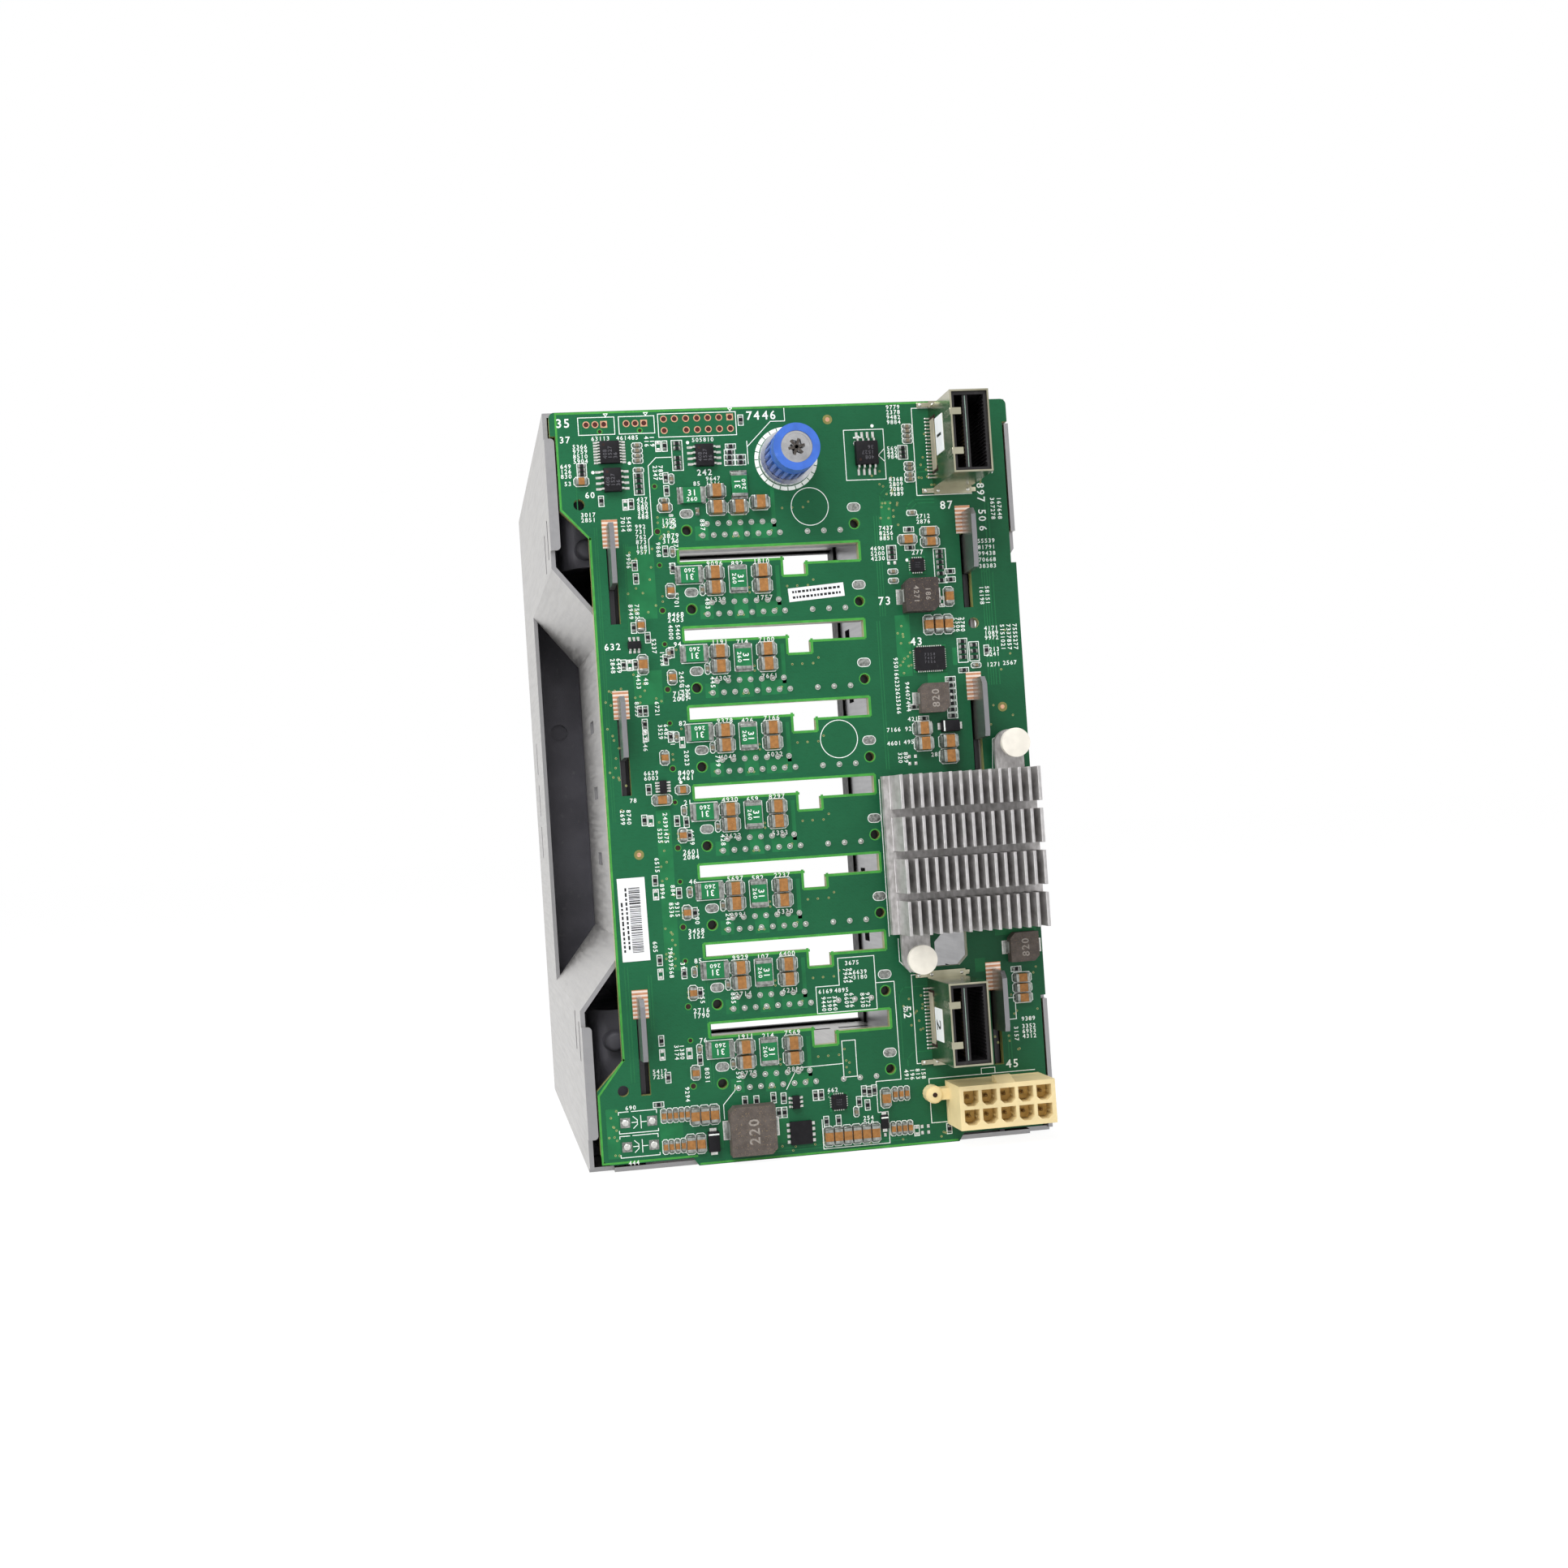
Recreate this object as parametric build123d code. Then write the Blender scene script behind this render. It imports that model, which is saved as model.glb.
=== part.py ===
from build123d import *
import os

# Drive cage with its backplane board. The board stands upright at the rear of a sheet steel
# cage, its component side looking along -Y, and the cage opens to the front along +Y.
# Places on the board are given as u to the right and v down from the board's top left corner,
# and d as depth away from the viewer, with 0 on the component side.
# The origin is the middle of the cage's underside. Lengths are millimetres.

# Drive bays
BAY_COUNT = 8
BAY_PITCH = 17.78
BAY_FIRST_V = 27.5
BAY_HOLE_U = 28.72
BAY_HOLE_SPACING = 38.55
BAY_HOLE_RADIUS = 1.1

# Small round holes, pegs and shanks are drawn with this many sides to keep the mesh light
SMALL_ROUND_SIDES = 16

# Board
BOARD_THICKNESS = 2.4
BOARD_BESIDE_DRIVES = 12.3
BOARD_BELOW_LAST_BAY = 17.74
BOARD_CORNER_RADIUS = 1.3
BOARD_FOOT_RADIUS = 2.6
BOARD_EDGE_RELIEF = 1.2
BOARD_TAB_OVERHANG = 0.6
BOARD_WAIST_U = 6.65
BOARD_WAIST_BELOW_FIRST_BAY = 0.6
BOARD_WAIST_SLANT = 6.1
BOARD_WAIST_ABOVE_LAST_BAY = 6.66
BOARD_TAB_HEIGHT = 5.3
BOARD_NOTCH_BELOW_FIRST_BAY = 10.5
BOARD_NOTCH_ABOVE_LAST_BAY = 13.96
BOARD_FOOT_STEP = 1.8
BOARD_FOOT_LEFT_U = 22.3
BOARD_FOOT_RIGHT_U = 82.2

# Windows between the bays
WINDOW_LEFT_U = 26.7
WINDOW_RIGHT_U = 67.8
WINDOW_TOP = 4.35
WINDOW_HEIGHT = 2.7
WINDOW_STEP_U = 55.3
WINDOW_STEP = 1.15
WINDOW_NOTCH_WIDTH = 5.1
WINDOW_NOTCH = 3.9

# Cut-out under the heat sink, from the sink's middle
SINK_WINDOW_LEFT = -7.2
SINK_WINDOW_RIGHT = 0.4
SINK_WINDOW_TOP = 16.5
SINK_WINDOW_BOTTOM = 26.1
SINK_WINDOW_CORNER = 2.0

# Small round holes of the board
TOOLING_HOLE_RADIUS = 1.25
TOOLING_HOLE_PLACES = [(4.95, 0, -6.7), (6.4, 7, -0.21), (93.7, 1, 6.27)]

# Cage
SHEET = 1.0
CAGE_DEPTH = 155.6
CAGE_SIDE_GAP = 0.3
CAGE_TOP_RISE = 0.4
CAGE_FLOOR_DROP = 0.1
RECESS_BELOW_FIRST_BAY = 7.0
RECESS_ABOVE_LAST_BAY = 18.46
RECESS_DEPTH = 100.6
RECESS_SLOPE = 14.5
FLANGE_WIDTH = 2.2
FLANGE_TOP_V = 5.7
FLANGE_ABOVE_LAST_BAY = 14.96
FLANGE_HEIGHT = 25.0
FLANGE_CORNER_RADIUS = 0.9
CORNER_RELIEF = 5.5
SLOT_VENT_LENGTH = 9.0
SLOT_VENT_WIDTH = 2.6
REAR_SLOTS_D = [9.0, 22.0]
REAR_SLOT_STAGGER = 1.5
FRONT_SLOTS_FROM_STEP = 30.0
SIDE_SLOT_COUNT = 3
FRONT_SLOT_PITCH = 12.0
RECESS_SLOT_PITCH = 16.8
RECESS_SLOTS_FROM_BOARD = 60.0
RECESS_SLOT_LENGTH = 12.0
RECESS_SLOT_HEIGHT = 3.2
SHELF_SLOT_COUNT = 7

# Guide walls beside the drives, with the hooks that hold the board
GUIDE_SHEET = 1.1
GUIDE_LEFT_U = 10.6
DRIVE_SPACE = 80.8
DRIVE_SPACE_ABOVE_FIRST_BAY = 14.9
DRIVE_SPACE_BELOW_LAST_BAY = 4.84
HOOK_PLACES = [(0, -1.5), (2, 1.34), (6, -2.98)]
HOOK_LENGTH = 14.0
HOOK_NOSE = 5.1
HOOK_HEIGHT = 8.4
HOOK_SLOT_WIDTH = 2.2
HOOK_SLOT_LENGTH = 17.1
HOOK_SLOT_END_GAP = 0.3
HOOK_SIDE_GAP = 0.27
HOOK_SHOULDER = 0.4
HOOK_CROWN_RADIUS = 1.6
HOOK_ROOT = 1.0
HOOK_PAD_WIDTH = 3.55
HOOK_PAD_LENGTH = 6.4
HOOK_PAD_THICKNESS = 0.12
GUIDE_HOLE_RADIUS = 2.0
GUIDE_HOLE_LENGTH = 6.5
GUIDE_HOLE_FROM_FRONT = 18.5
GUIDE_NOTCH_DEPTH = 9.0
GUIDE_NOTCH_HEIGHT = 12.5
GUIDE_SLOT_DEPTH_AT = 34.0
GUIDE_SLOT_LENGTH = 8.0
GUIDE_SLOT_HEIGHT = 4.0
GUIDE_SLOT_BELOW_HOLE = 3.0
GUIDE_HOLE_ABOVE_BAY = 4.55

# Plastic side liners
LINER_WALL = 2.0
LINER_PANEL_FROM_FRONT = 37.0
LINER_BLOCK_AT = 18.0
LINER_GAP = 0.2
LINER_RIB = 1.6
LINER_RIB_COUNT = 4
LINER_SCREW_RADIUS = 2.4
LINER_SCREW_BELOW_THIRD_BAY = 2.44
LINER_SCREW_AT = 0.42

# Front trim
TRIM_THICKNESS = 0.8
TRIM_DEPTH = 8.6

# Captive thumbscrew
SCREW_U = 52.44
SCREW_V = 12.13
FERRULE_RADIUS = 6.2
FERRULE_HEIGHT = 2.3
FERRULE_TUBE_RADIUS = 3.4
FERRULE_TUBE_HEIGHT = 6.2
FERRULE_BORE_RADIUS = 2.3
FERRULE_SHANK_RADIUS = 3.6
KNOB_RADIUS = 5.25
KNOB_HEIGHT = 12.0
KNOB_LIFT = 0.35
KNOB_CAVITY_RADIUS = 4.4
KNOB_CEILING = 3.0
KNOB_RIB_COUNT = 20
KNOB_RIB = 0.3
KNOB_SHARE_RIBBED = 0.62
SCREW_HEAD_RADIUS = 3.55
SCREW_HEAD_RECESS = 0.35
SCREW_HEAD_HEIGHT = 2.0
SCREW_RADIUS = 2.0
SOCKET_LOBES = 6
SOCKET_RADIUS = 1.9
SOCKET_LOBE = 0.6
SOCKET_DEPTH = 1.3
SCREW_CLEARANCE = 0.05
TAB_HOLE_CLEARANCE = 0.4
SCREW_TIP = 7.0
NUT_ACROSS_CORNERS = 7.2
NUT_SIDES = 6
NUT_HEIGHT = 3.0
TAB_WIDTH = 17.0
TAB_BELOW_SCREW = 8.0

# Heat sink over the expander chip
SINK_U = 86.6
SINK_BELOW_FIFTH_BAY = 4.88
SINK_WIDTH = 35.6
SINK_LENGTH = 35.8
SINK_BASE = 2.4
SINK_FIN_TOP = 15.0
SINK_FIN_COLUMNS = 15
SINK_FIN_ROWS = 4
SINK_FIN_THICKNESS = 0.65
SINK_FIN_EDGE = 1.7
SINK_ROW_GAP = 1.75
CHIP_SIZE = 27.0
CHIP_HEIGHT = 2.3
PAD_HEIGHT = 0.3
PAD_SIZE = 24.0
EAR_WIDTH = 6.6
EAR_THICKNESS = 1.5
PUSH_PIN_DU = 12.4
PUSH_PIN_DV = 23.6
PUSH_PIN_HEAD_RADIUS = 3.3
PUSH_PIN_HEAD_TOP = 10.0
PUSH_PIN_HEAD_HEIGHT = 1.4
PUSH_PIN_SHANK_RADIUS = 1.5
PUSH_PIN_CLEARANCE = 0.15
PUSH_PIN_BARB_RADIUS = 1.9
PUSH_PIN_BARB = 1.6
PUSH_PIN_BARB_TAPER = 25.0
PUSH_PIN_BARB_SIDES = 8

# Upright cable connectors
SAS_WIDTH = 8.9
SAS_LENGTH = 18.3
SAS_HEIGHT = 20.0
SAS_SHELL = 0.4
SAS_CORE_FLOOR = 6.0
SAS_CORE_WALL = 0.7
SAS_TONGUE = 1.2
SAS_TONGUE_AT = 0.38
SAS_TONGUE_BELOW_RIM = 1.0
SAS_FOOT_LENGTH = 1.6
SAS_FOOT_THICKNESS = 0.8
SAS_LATCH_WIDTH = 2.4
SAS_LATCH_LENGTH = 1.5
SAS_LATCH_SHARES = [0.26, 0.74]
SAS_OUT = (90.7, 10.9)
SAS_IN_U = 81.6
SAS_IN_BELOW_SEVENTH_BAY = 7.02

# Power header
POWER_PITCH = 4.2
POWER_COLUMNS = 5
POWER_ROWS = 2
POWER_LEFT_U = 79.7
POWER_FROM_FOOT = 14.1
POWER_WIDTH = 22.1
POWER_LENGTH = 9.8
POWER_HEIGHT = 12.8
POWER_WELL = 3.45
POWER_WELL_CORNER = 0.9
POWER_FLOOR = 2.4
POWER_PIN = 1.1
POWER_PIN_HEIGHT = 8.6
POWER_LATCH_WIDTH = 4.0
POWER_LATCH_DEPTH = 1.3
POWER_LATCH_HEIGHT = 4.0
POWER_LATCH_STEP = 1.2
POWER_LATCH_BELOW_RIM = 0.6
POWER_EAR_LENGTH = 3.4
POWER_EAR_WIDTH = 2.6
POWER_EAR_HEIGHT = 3.4
POWER_PEG_RADIUS = 2.0

# Drive connectors on the far side of the board
DRIVE_CONNECTOR_WIDTH = 42.6
DRIVE_CONNECTOR_HEIGHT = 5.6
DRIVE_CONNECTOR_DEPTH = 8.6
DRIVE_CONNECTOR_RISE = 0.9
DRIVE_WELL_WIDTH = 33.4
DRIVE_WELL_HEIGHT = 3.4
DRIVE_WELL_DEPTH = 6.0
DRIVE_TONGUE = 1.3
DRIVE_KEY_WIDTH = 3.0
DRIVE_KEY_AT = 11.2

# Chip capacitors: length, width, height
BAY_CAPACITOR = (4.1, 2.9, 2.4)
MEDIUM_CAPACITOR = (4.0, 1.9, 1.5)
SMALL_CAPACITOR = (2.8, 1.6, 1.2)
TINY_CAPACITOR = (2.7, 1.0, 0.9)
POLYFUSE = (5.4, 3.6, 0.9)

# Bay parts: offset of each part's middle from the bay's left hole
BAY_CAPACITOR_PLACES = [(5.55, -7.9), (5.55, -4.55), (16.4, -7.9), (16.4, -4.55)]
TOP_BAY_CAPACITOR_PLACES = [(35.85, 18.95), (35.85, 22.7), (40.8, 22.75), (45.75, 21.85)]
POLYFUSE_FLAT_PLACE = (-0.1, -7.7)
POLYFUSE_UPRIGHT_PLACE = (10.95, -6.35)
TOP_BAY_POLYFUSES = [(30.3, 19.65, False), (41.3, 17.65, True)]

# Coils: width, length and height, with the left and top of each
SUPPLY_COIL = (10.2, 10.9, 4.6)
SUPPLY_COIL_U = 29.4
SUPPLY_COIL_FROM_FOOT = 12.7
UPPER_COIL = (7.8, 7.6, 4.0)
UPPER_COIL_PLACE = (77.2, 1, -4.28)
COIL_PAIR_PLACES = [(79.4, 2, 1.94), (96.5, 5, 6.7)]
COIL_PAIR_SIZE = 6.7
COIL_PAIR_HEIGHT = 3.0
COIL_CHAMFER = 1.2

# Chip parts away from the bays' own: u, bay, distance below its holes
BIG_CAPACITOR_PLACES = [(80.0, 3, -5.74), (80.1, 3, -2.24), (85.9, 3, -2.44), (85.8, 3, 0.96)]
LEVEL_CAPACITOR_PLACES = [
    (19.2, 3, 6.86), (79.4, 0, 4.2), (84.7, 0, 2.6), (84.7, 0, 4.95),
    (99.4, 6, -0.58), (99.4, 6, 1.72), (99.4, 6, 4.02),
]
UPRIGHT_CAPACITOR_PLACES = [
    (83.0, 1, 6.22), (85.3, 1, 6.22), (87.6, 1, 6.22), (88.2, 1, -0.08), (16.9, 2, -5.86),
]
SMALL_UPRIGHT_PLACES = [
    (24.2, 1, -4.33), (23.3, 2, -2.66), (17.0, 1, 3.12), (20.4, 3, -2.54),
    (23.4, 4, -2.72), (23.2, 5, -3.2), (23.4, 6, -2.98), (22.8, 7, -2.96),
]
SMALL_LEVEL_PLACES = [(5.8, 0, -11.85), (24.1, 0, -5.3), (24.0, 3, 4.86)]

# Rows of capacitors along the foot: first u, height above the foot, pitch, count
MEDIUM_ROWS = [
    (22.05, 11.1, 2.17, 3), (20.75, 4.9, 2.2, 2), (52.0, 3.8, 2.15, 6), (65.7, 11.3, 2.15, 1),
]
TINY_ROWS = [
    (15.05, 11.7, 1.33, 5), (15.05, 4.8, 1.33, 4), (67.9, 12.0, 1.36, 3), (67.0, 4.2, 1.3, 4),
]

# Chips: u, bay, distance below its holes, then width, length and height
LEADED_CHIPS = [
    (12.5, 0, -18.15, 4.5, 5.2, 1.1),
    (12.75, 0, -11.9, 4.0, 5.4, 1.5),
    (33.8, 0, -16.75, 4.2, 5.1, 1.5),
    (71.0, 0, -15.9, 5.3, 5.5, 1.9),
    (15.25, 1, 7.47, 3.0, 1.7, 1.1),
    (19.65, 3, 3.96, 1.6, 3.0, 1.0),
    (45.0, 7, 5.54, 1.7, 3.0, 1.1),
]
FLAT_CHIPS = [
    (82.75, 2, -3.81, 7.0, 5.4, 0.9),
    (81.25, 1, -7.58, 3.1, 3.1, 0.9),
    (54.8, 7, 6.34, 3.4, 3.3, 0.9),
    (45.75, 7, 12.44, 6.2, 5.2, 1.0),
]
DIODES = [
    (86.4, 3, -5.94, 4.4, 2.7, 1.6),
    (25.85, 7, 12.64, 2.6, 4.6, 1.6),
    (65.0, 7, 11.74, 1.8, 3.2, 1.0),
]

# Labels: u, bay, distance below its holes, width, height and tilt
LABEL_THICKNESS = 0.1
LABELS = [(11.15, 5, -2.5, 6.2, 18.6, 0.6), (57.4, 1, -2.48, 12.9, 3.1, 4.0)]


def bay_v(index):
    """Height of a bay's connector holes below the board's top edge."""
    return BAY_FIRST_V + index * BAY_PITCH


def near_bay(u, index, below):
    """Board point at a distance below a bay's holes."""
    return u, bay_v(index) + below


# Worked out from the values above
GUIDE_INNER_LEFT_U = GUIDE_LEFT_U + GUIDE_SHEET
GUIDE_INNER_RIGHT_U = GUIDE_INNER_LEFT_U + DRIVE_SPACE
GUIDE_RIGHT_U = GUIDE_INNER_RIGHT_U + GUIDE_SHEET
BOARD_TAB_RIGHT = GUIDE_INNER_RIGHT_U + BOARD_BESIDE_DRIVES
LAST_BAY_V = bay_v(BAY_COUNT - 1)
BOARD_HEIGHT = LAST_BAY_V + BOARD_BELOW_LAST_BAY
BOARD_WAIST_TOP_V = BAY_FIRST_V + BOARD_WAIST_BELOW_FIRST_BAY
BOARD_WAIST_BOTTOM_V = LAST_BAY_V - BOARD_WAIST_ABOVE_LAST_BAY
BOARD_NOTCH_TOP_V = BAY_FIRST_V + BOARD_NOTCH_BELOW_FIRST_BAY
BOARD_NOTCH_BOTTOM_V = LAST_BAY_V - BOARD_NOTCH_ABOVE_LAST_BAY
RECESS_TOP_V = BAY_FIRST_V + RECESS_BELOW_FIRST_BAY
RECESS_BOTTOM_V = LAST_BAY_V - RECESS_ABOVE_LAST_BAY
RECESS_MIDDLE_V = (RECESS_TOP_V + RECESS_BOTTOM_V) / 2
FLANGE_BOTTOM_V = LAST_BAY_V - FLANGE_ABOVE_LAST_BAY
DRIVE_TOP_V = BAY_FIRST_V - DRIVE_SPACE_ABOVE_FIRST_BAY
DRIVE_BOTTOM_V = LAST_BAY_V + DRIVE_SPACE_BELOW_LAST_BAY
HOOK_TOPS_V = [bay_v(index) + below for index, below in HOOK_PLACES]
SINK_V = bay_v(4) + SINK_BELOW_FIFTH_BAY
LINER_SCREW_V = bay_v(2) + LINER_SCREW_BELOW_THIRD_BAY
SAS_IN = (SAS_IN_U, bay_v(6) + SAS_IN_BELOW_SEVENTH_BAY)
POWER_TOP_V = BOARD_HEIGHT - POWER_FROM_FOOT
FOOT_V = BOARD_HEIGHT - BOARD_FOOT_STEP
CAGE_LEFT_U = -BOARD_TAB_OVERHANG - CAGE_SIDE_GAP - SHEET
CAGE_RIGHT_U = BOARD_TAB_RIGHT + CAGE_SIDE_GAP
CAGE_TOP_V = -CAGE_TOP_RISE
FLOOR_V = BOARD_HEIGHT + CAGE_FLOOR_DROP
CAGE_FRONT = BOARD_THICKNESS + CAGE_DEPTH
MID_U = (CAGE_LEFT_U + CAGE_RIGHT_U) / 2
MID_D = BOARD_THICKNESS + CAGE_DEPTH / 2
RECESS_FRONT = BOARD_THICKNESS + RECESS_DEPTH
SINK_BOTTOM = CHIP_HEIGHT + PAD_HEIGHT
SINK_BASE_TOP = SINK_BOTTOM + SINK_BASE
PUSH_PINS = [
    (SINK_U + PUSH_PIN_DU, SINK_V - PUSH_PIN_DV),
    (SINK_U - PUSH_PIN_DU, SINK_V + PUSH_PIN_DV),
]
KNOB_BOTTOM = FERRULE_HEIGHT + KNOB_LIFT
KNOB_TOP = KNOB_BOTTOM + KNOB_HEIGHT
SCREW_HEAD_TOP = KNOB_TOP - SCREW_HEAD_RECESS
SCREW_HEAD_BOTTOM = SCREW_HEAD_TOP - SCREW_HEAD_HEIGHT


def place(u, v, d):
    """Location of a board point in the part's own frame."""
    return Pos(u - MID_U, d - MID_D, FLOOR_V - v)


def block(u, v, d, size_u, size_v, size_d):
    """Box with its smallest u, v and d at the given point."""
    middle = place(u + size_u / 2, v + size_v / 2, d + size_d / 2)
    return middle * Box(size_u, size_d, size_v)


def centred_block(u, v, size_u, size_v, height):
    """Box that stands on the board's component side."""
    return block(u - size_u / 2, v - size_v / 2, -height, size_u, size_v, height)


def rod(u, v, d_near, d_far, radius):
    """Round rod along the depth axis between two depths."""
    middle = place(u, v, (d_near + d_far) / 2)
    return middle * Rot(90, 0, 0) * Cylinder(radius, d_far - d_near)


def small_rod(u, v, d_near, d_far, radius):
    """Small or hidden round rod with few sides."""
    face = Pos(u - MID_U, FLOOR_V - v) * RegularPolygon(radius, SMALL_ROUND_SIDES)
    return slab(face, d_near, d_far)


def outline(points):
    """Closed outline through board points, as a flat face."""
    corners = [(u - MID_U, FLOOR_V - v) for u, v in points]
    return make_face(Polyline(*corners, close=True))


def slab(sketch, d_near, d_far):
    """Outline drawn out from one depth to another."""
    far_plane = Plane.XZ.offset(MID_D - d_far)
    return extrude(far_plane * sketch, amount=d_far - d_near)


def side_slab(points, u_left, u_right):
    """Outline in depth and v drawn out across the board's width."""
    corners = [(d - MID_D, FLOOR_V - v) for d, v in points]
    sketch = make_face(Polyline(*corners, close=True))
    return extrude(Plane.YZ.offset(u_left - MID_U) * sketch, amount=u_right - u_left)


def board_outline():
    """Board edge with side waist, relieved corners and a foot between the cage flanges."""
    relief_left = -BOARD_TAB_OVERHANG + BOARD_EDGE_RELIEF
    relief_right = BOARD_TAB_RIGHT - BOARD_EDGE_RELIEF
    waist_foot_v = BOARD_WAIST_BOTTOM_V + BOARD_WAIST_SLANT
    points = [
        (-BOARD_TAB_OVERHANG, 0),
        (BOARD_TAB_RIGHT, 0),
        (BOARD_TAB_RIGHT, BOARD_TAB_HEIGHT),
        (relief_right, BOARD_TAB_HEIGHT),
        (relief_right, BOARD_NOTCH_TOP_V),
        (BOARD_TAB_RIGHT, BOARD_NOTCH_TOP_V),
        (BOARD_TAB_RIGHT, BOARD_NOTCH_BOTTOM_V),
        (relief_right, BOARD_NOTCH_BOTTOM_V),
        (relief_right, FOOT_V),
        (BOARD_FOOT_RIGHT_U + BOARD_EDGE_RELIEF, FOOT_V),
        (BOARD_FOOT_RIGHT_U, BOARD_HEIGHT),
        (BOARD_FOOT_LEFT_U, BOARD_HEIGHT),
        (BOARD_FOOT_LEFT_U - BOARD_EDGE_RELIEF, FOOT_V),
        (relief_left, FOOT_V),
        (relief_left, waist_foot_v),
        (BOARD_WAIST_U, BOARD_WAIST_BOTTOM_V),
        (BOARD_WAIST_U, BOARD_WAIST_TOP_V),
        (relief_left, BOARD_WAIST_TOP_V - BOARD_WAIST_SLANT),
        (relief_left, BOARD_TAB_HEIGHT),
        (-BOARD_TAB_OVERHANG, BOARD_TAB_HEIGHT),
    ]
    sketch = outline(points)
    top_z = FLOOR_V
    upper = [p for p in sketch.vertices() if abs(p.Y - top_z) < 0.01]
    sketch = fillet(upper, BOARD_CORNER_RADIUS)
    foot_z = FLOOR_V - FOOT_V
    edges = (relief_left - MID_U, relief_right - MID_U)
    lower = [
        p for p in sketch.vertices()
        if abs(p.Y - foot_z) < 0.01 and min(abs(p.X - x) for x in edges) < 0.01
    ]
    return fillet(lower, BOARD_FOOT_RADIUS)


def window_outline(index):
    """Opening below one bay, with a step to the right and a notch for a drive light."""
    top = bay_v(index) + WINDOW_TOP
    bottom = top + WINDOW_HEIGHT
    notch_left = WINDOW_STEP_U - WINDOW_NOTCH_WIDTH
    points = [
        (WINDOW_LEFT_U, top),
        (WINDOW_RIGHT_U, top),
        (WINDOW_RIGHT_U, bottom + WINDOW_STEP),
        (WINDOW_STEP_U, bottom + WINDOW_STEP),
        (WINDOW_STEP_U, bottom + WINDOW_NOTCH),
        (notch_left, bottom + WINDOW_NOTCH),
        (notch_left, bottom),
        (WINDOW_LEFT_U, bottom),
    ]
    return outline(points)


def round_holes():
    """Places and radii of the board's round holes."""
    holes = [(*near_bay(*spot), TOOLING_HOLE_RADIUS) for spot in TOOLING_HOLE_PLACES]
    for index in range(BAY_COUNT):
        v = bay_v(index)
        holes.append((BAY_HOLE_U, v, BAY_HOLE_RADIUS))
        holes.append((BAY_HOLE_U + BAY_HOLE_SPACING, v, BAY_HOLE_RADIUS))
    for u, v in PUSH_PINS:
        holes.append((u, v, PUSH_PIN_SHANK_RADIUS + PUSH_PIN_CLEARANCE))
    holes.append((SCREW_U, SCREW_V, FERRULE_SHANK_RADIUS))
    return holes


def hook_sides():
    """Left edge of the hook slot and of the guide wall on each side."""
    left_slot = GUIDE_LEFT_U - HOOK_SIDE_GAP
    right_slot = GUIDE_INNER_RIGHT_U - (HOOK_SLOT_WIDTH - GUIDE_SHEET - HOOK_SIDE_GAP)
    return [(left_slot, GUIDE_LEFT_U), (right_slot, GUIDE_INNER_RIGHT_U)]


def circuit_board():
    """Board with its windows, hook slots, round holes and the cut-out under the heat sink."""
    cuts = [window_outline(index) for index in range(BAY_COUNT - 1)]
    for slot_left, _ in hook_sides():
        for top in HOOK_TOPS_V:
            slot_top = top + HOOK_NOSE - HOOK_SLOT_END_GAP
            slot_bottom = slot_top + HOOK_SLOT_LENGTH
            slot_right = slot_left + HOOK_SLOT_WIDTH
            cuts.append(outline([
                (slot_left, slot_top),
                (slot_right, slot_top),
                (slot_right, slot_bottom),
                (slot_left, slot_bottom),
            ]))
    cuts.append(sink_window())
    face = board_outline()
    for cut in cuts:
        face -= cut
    for u, v, radius in round_holes():
        hole = RegularPolygon(radius, SMALL_ROUND_SIDES)
        face -= Pos(u - MID_U, FLOOR_V - v) * hole
    return slab(face, 0, BOARD_THICKNESS)


def sink_window():
    """Opening in the board below the heat sink, with two corners cut off."""
    left = SINK_U + SINK_WINDOW_LEFT
    right = SINK_U + SINK_WINDOW_RIGHT
    top = SINK_V + SINK_WINDOW_TOP
    bottom = SINK_V + SINK_WINDOW_BOTTOM
    corner = SINK_WINDOW_CORNER
    return outline([
        (left + corner, top),
        (right, top),
        (right, bottom - corner),
        (right - corner, bottom),
        (left, bottom),
        (left, top + 2 * corner),
        (left + corner, top + corner),
    ])


def hook_pads():
    """Tinned copper pads that the hooks press on."""
    pads = []
    for slot_left, _ in hook_sides():
        u = slot_left - (HOOK_PAD_WIDTH - HOOK_SLOT_WIDTH) / 2
        for top in HOOK_TOPS_V:
            v = top + HOOK_NOSE - HOOK_SLOT_END_GAP - HOOK_PAD_LENGTH
            pads.append(block(
                u, v, -HOOK_PAD_THICKNESS,
                HOOK_PAD_WIDTH, HOOK_PAD_LENGTH, HOOK_PAD_THICKNESS,
            ))
    return pads


def cage_profile():
    """Cage walls seen from the rear, with both side walls pressed inward at mid height."""
    recess_u = GUIDE_LEFT_U - SHEET
    left = [
        (CAGE_LEFT_U, FLOOR_V),
        (CAGE_LEFT_U, RECESS_BOTTOM_V),
        (recess_u, RECESS_BOTTOM_V - RECESS_SLOPE),
        (recess_u, RECESS_TOP_V + RECESS_SLOPE),
        (CAGE_LEFT_U, RECESS_TOP_V),
        (CAGE_LEFT_U, CAGE_TOP_V),
    ]
    recess_right = GUIDE_RIGHT_U + SHEET
    right = [
        (CAGE_RIGHT_U, CAGE_TOP_V),
        (CAGE_RIGHT_U, RECESS_TOP_V),
        (recess_right, RECESS_TOP_V + RECESS_SLOPE),
        (recess_right, RECESS_BOTTOM_V - RECESS_SLOPE),
        (CAGE_RIGHT_U, RECESS_BOTTOM_V),
        (CAGE_RIGHT_U, FLOOR_V),
    ]
    outer = outline(left + right)
    return outer - offset(outer, amount=-SHEET, kind=Kind.INTERSECTION)


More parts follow.
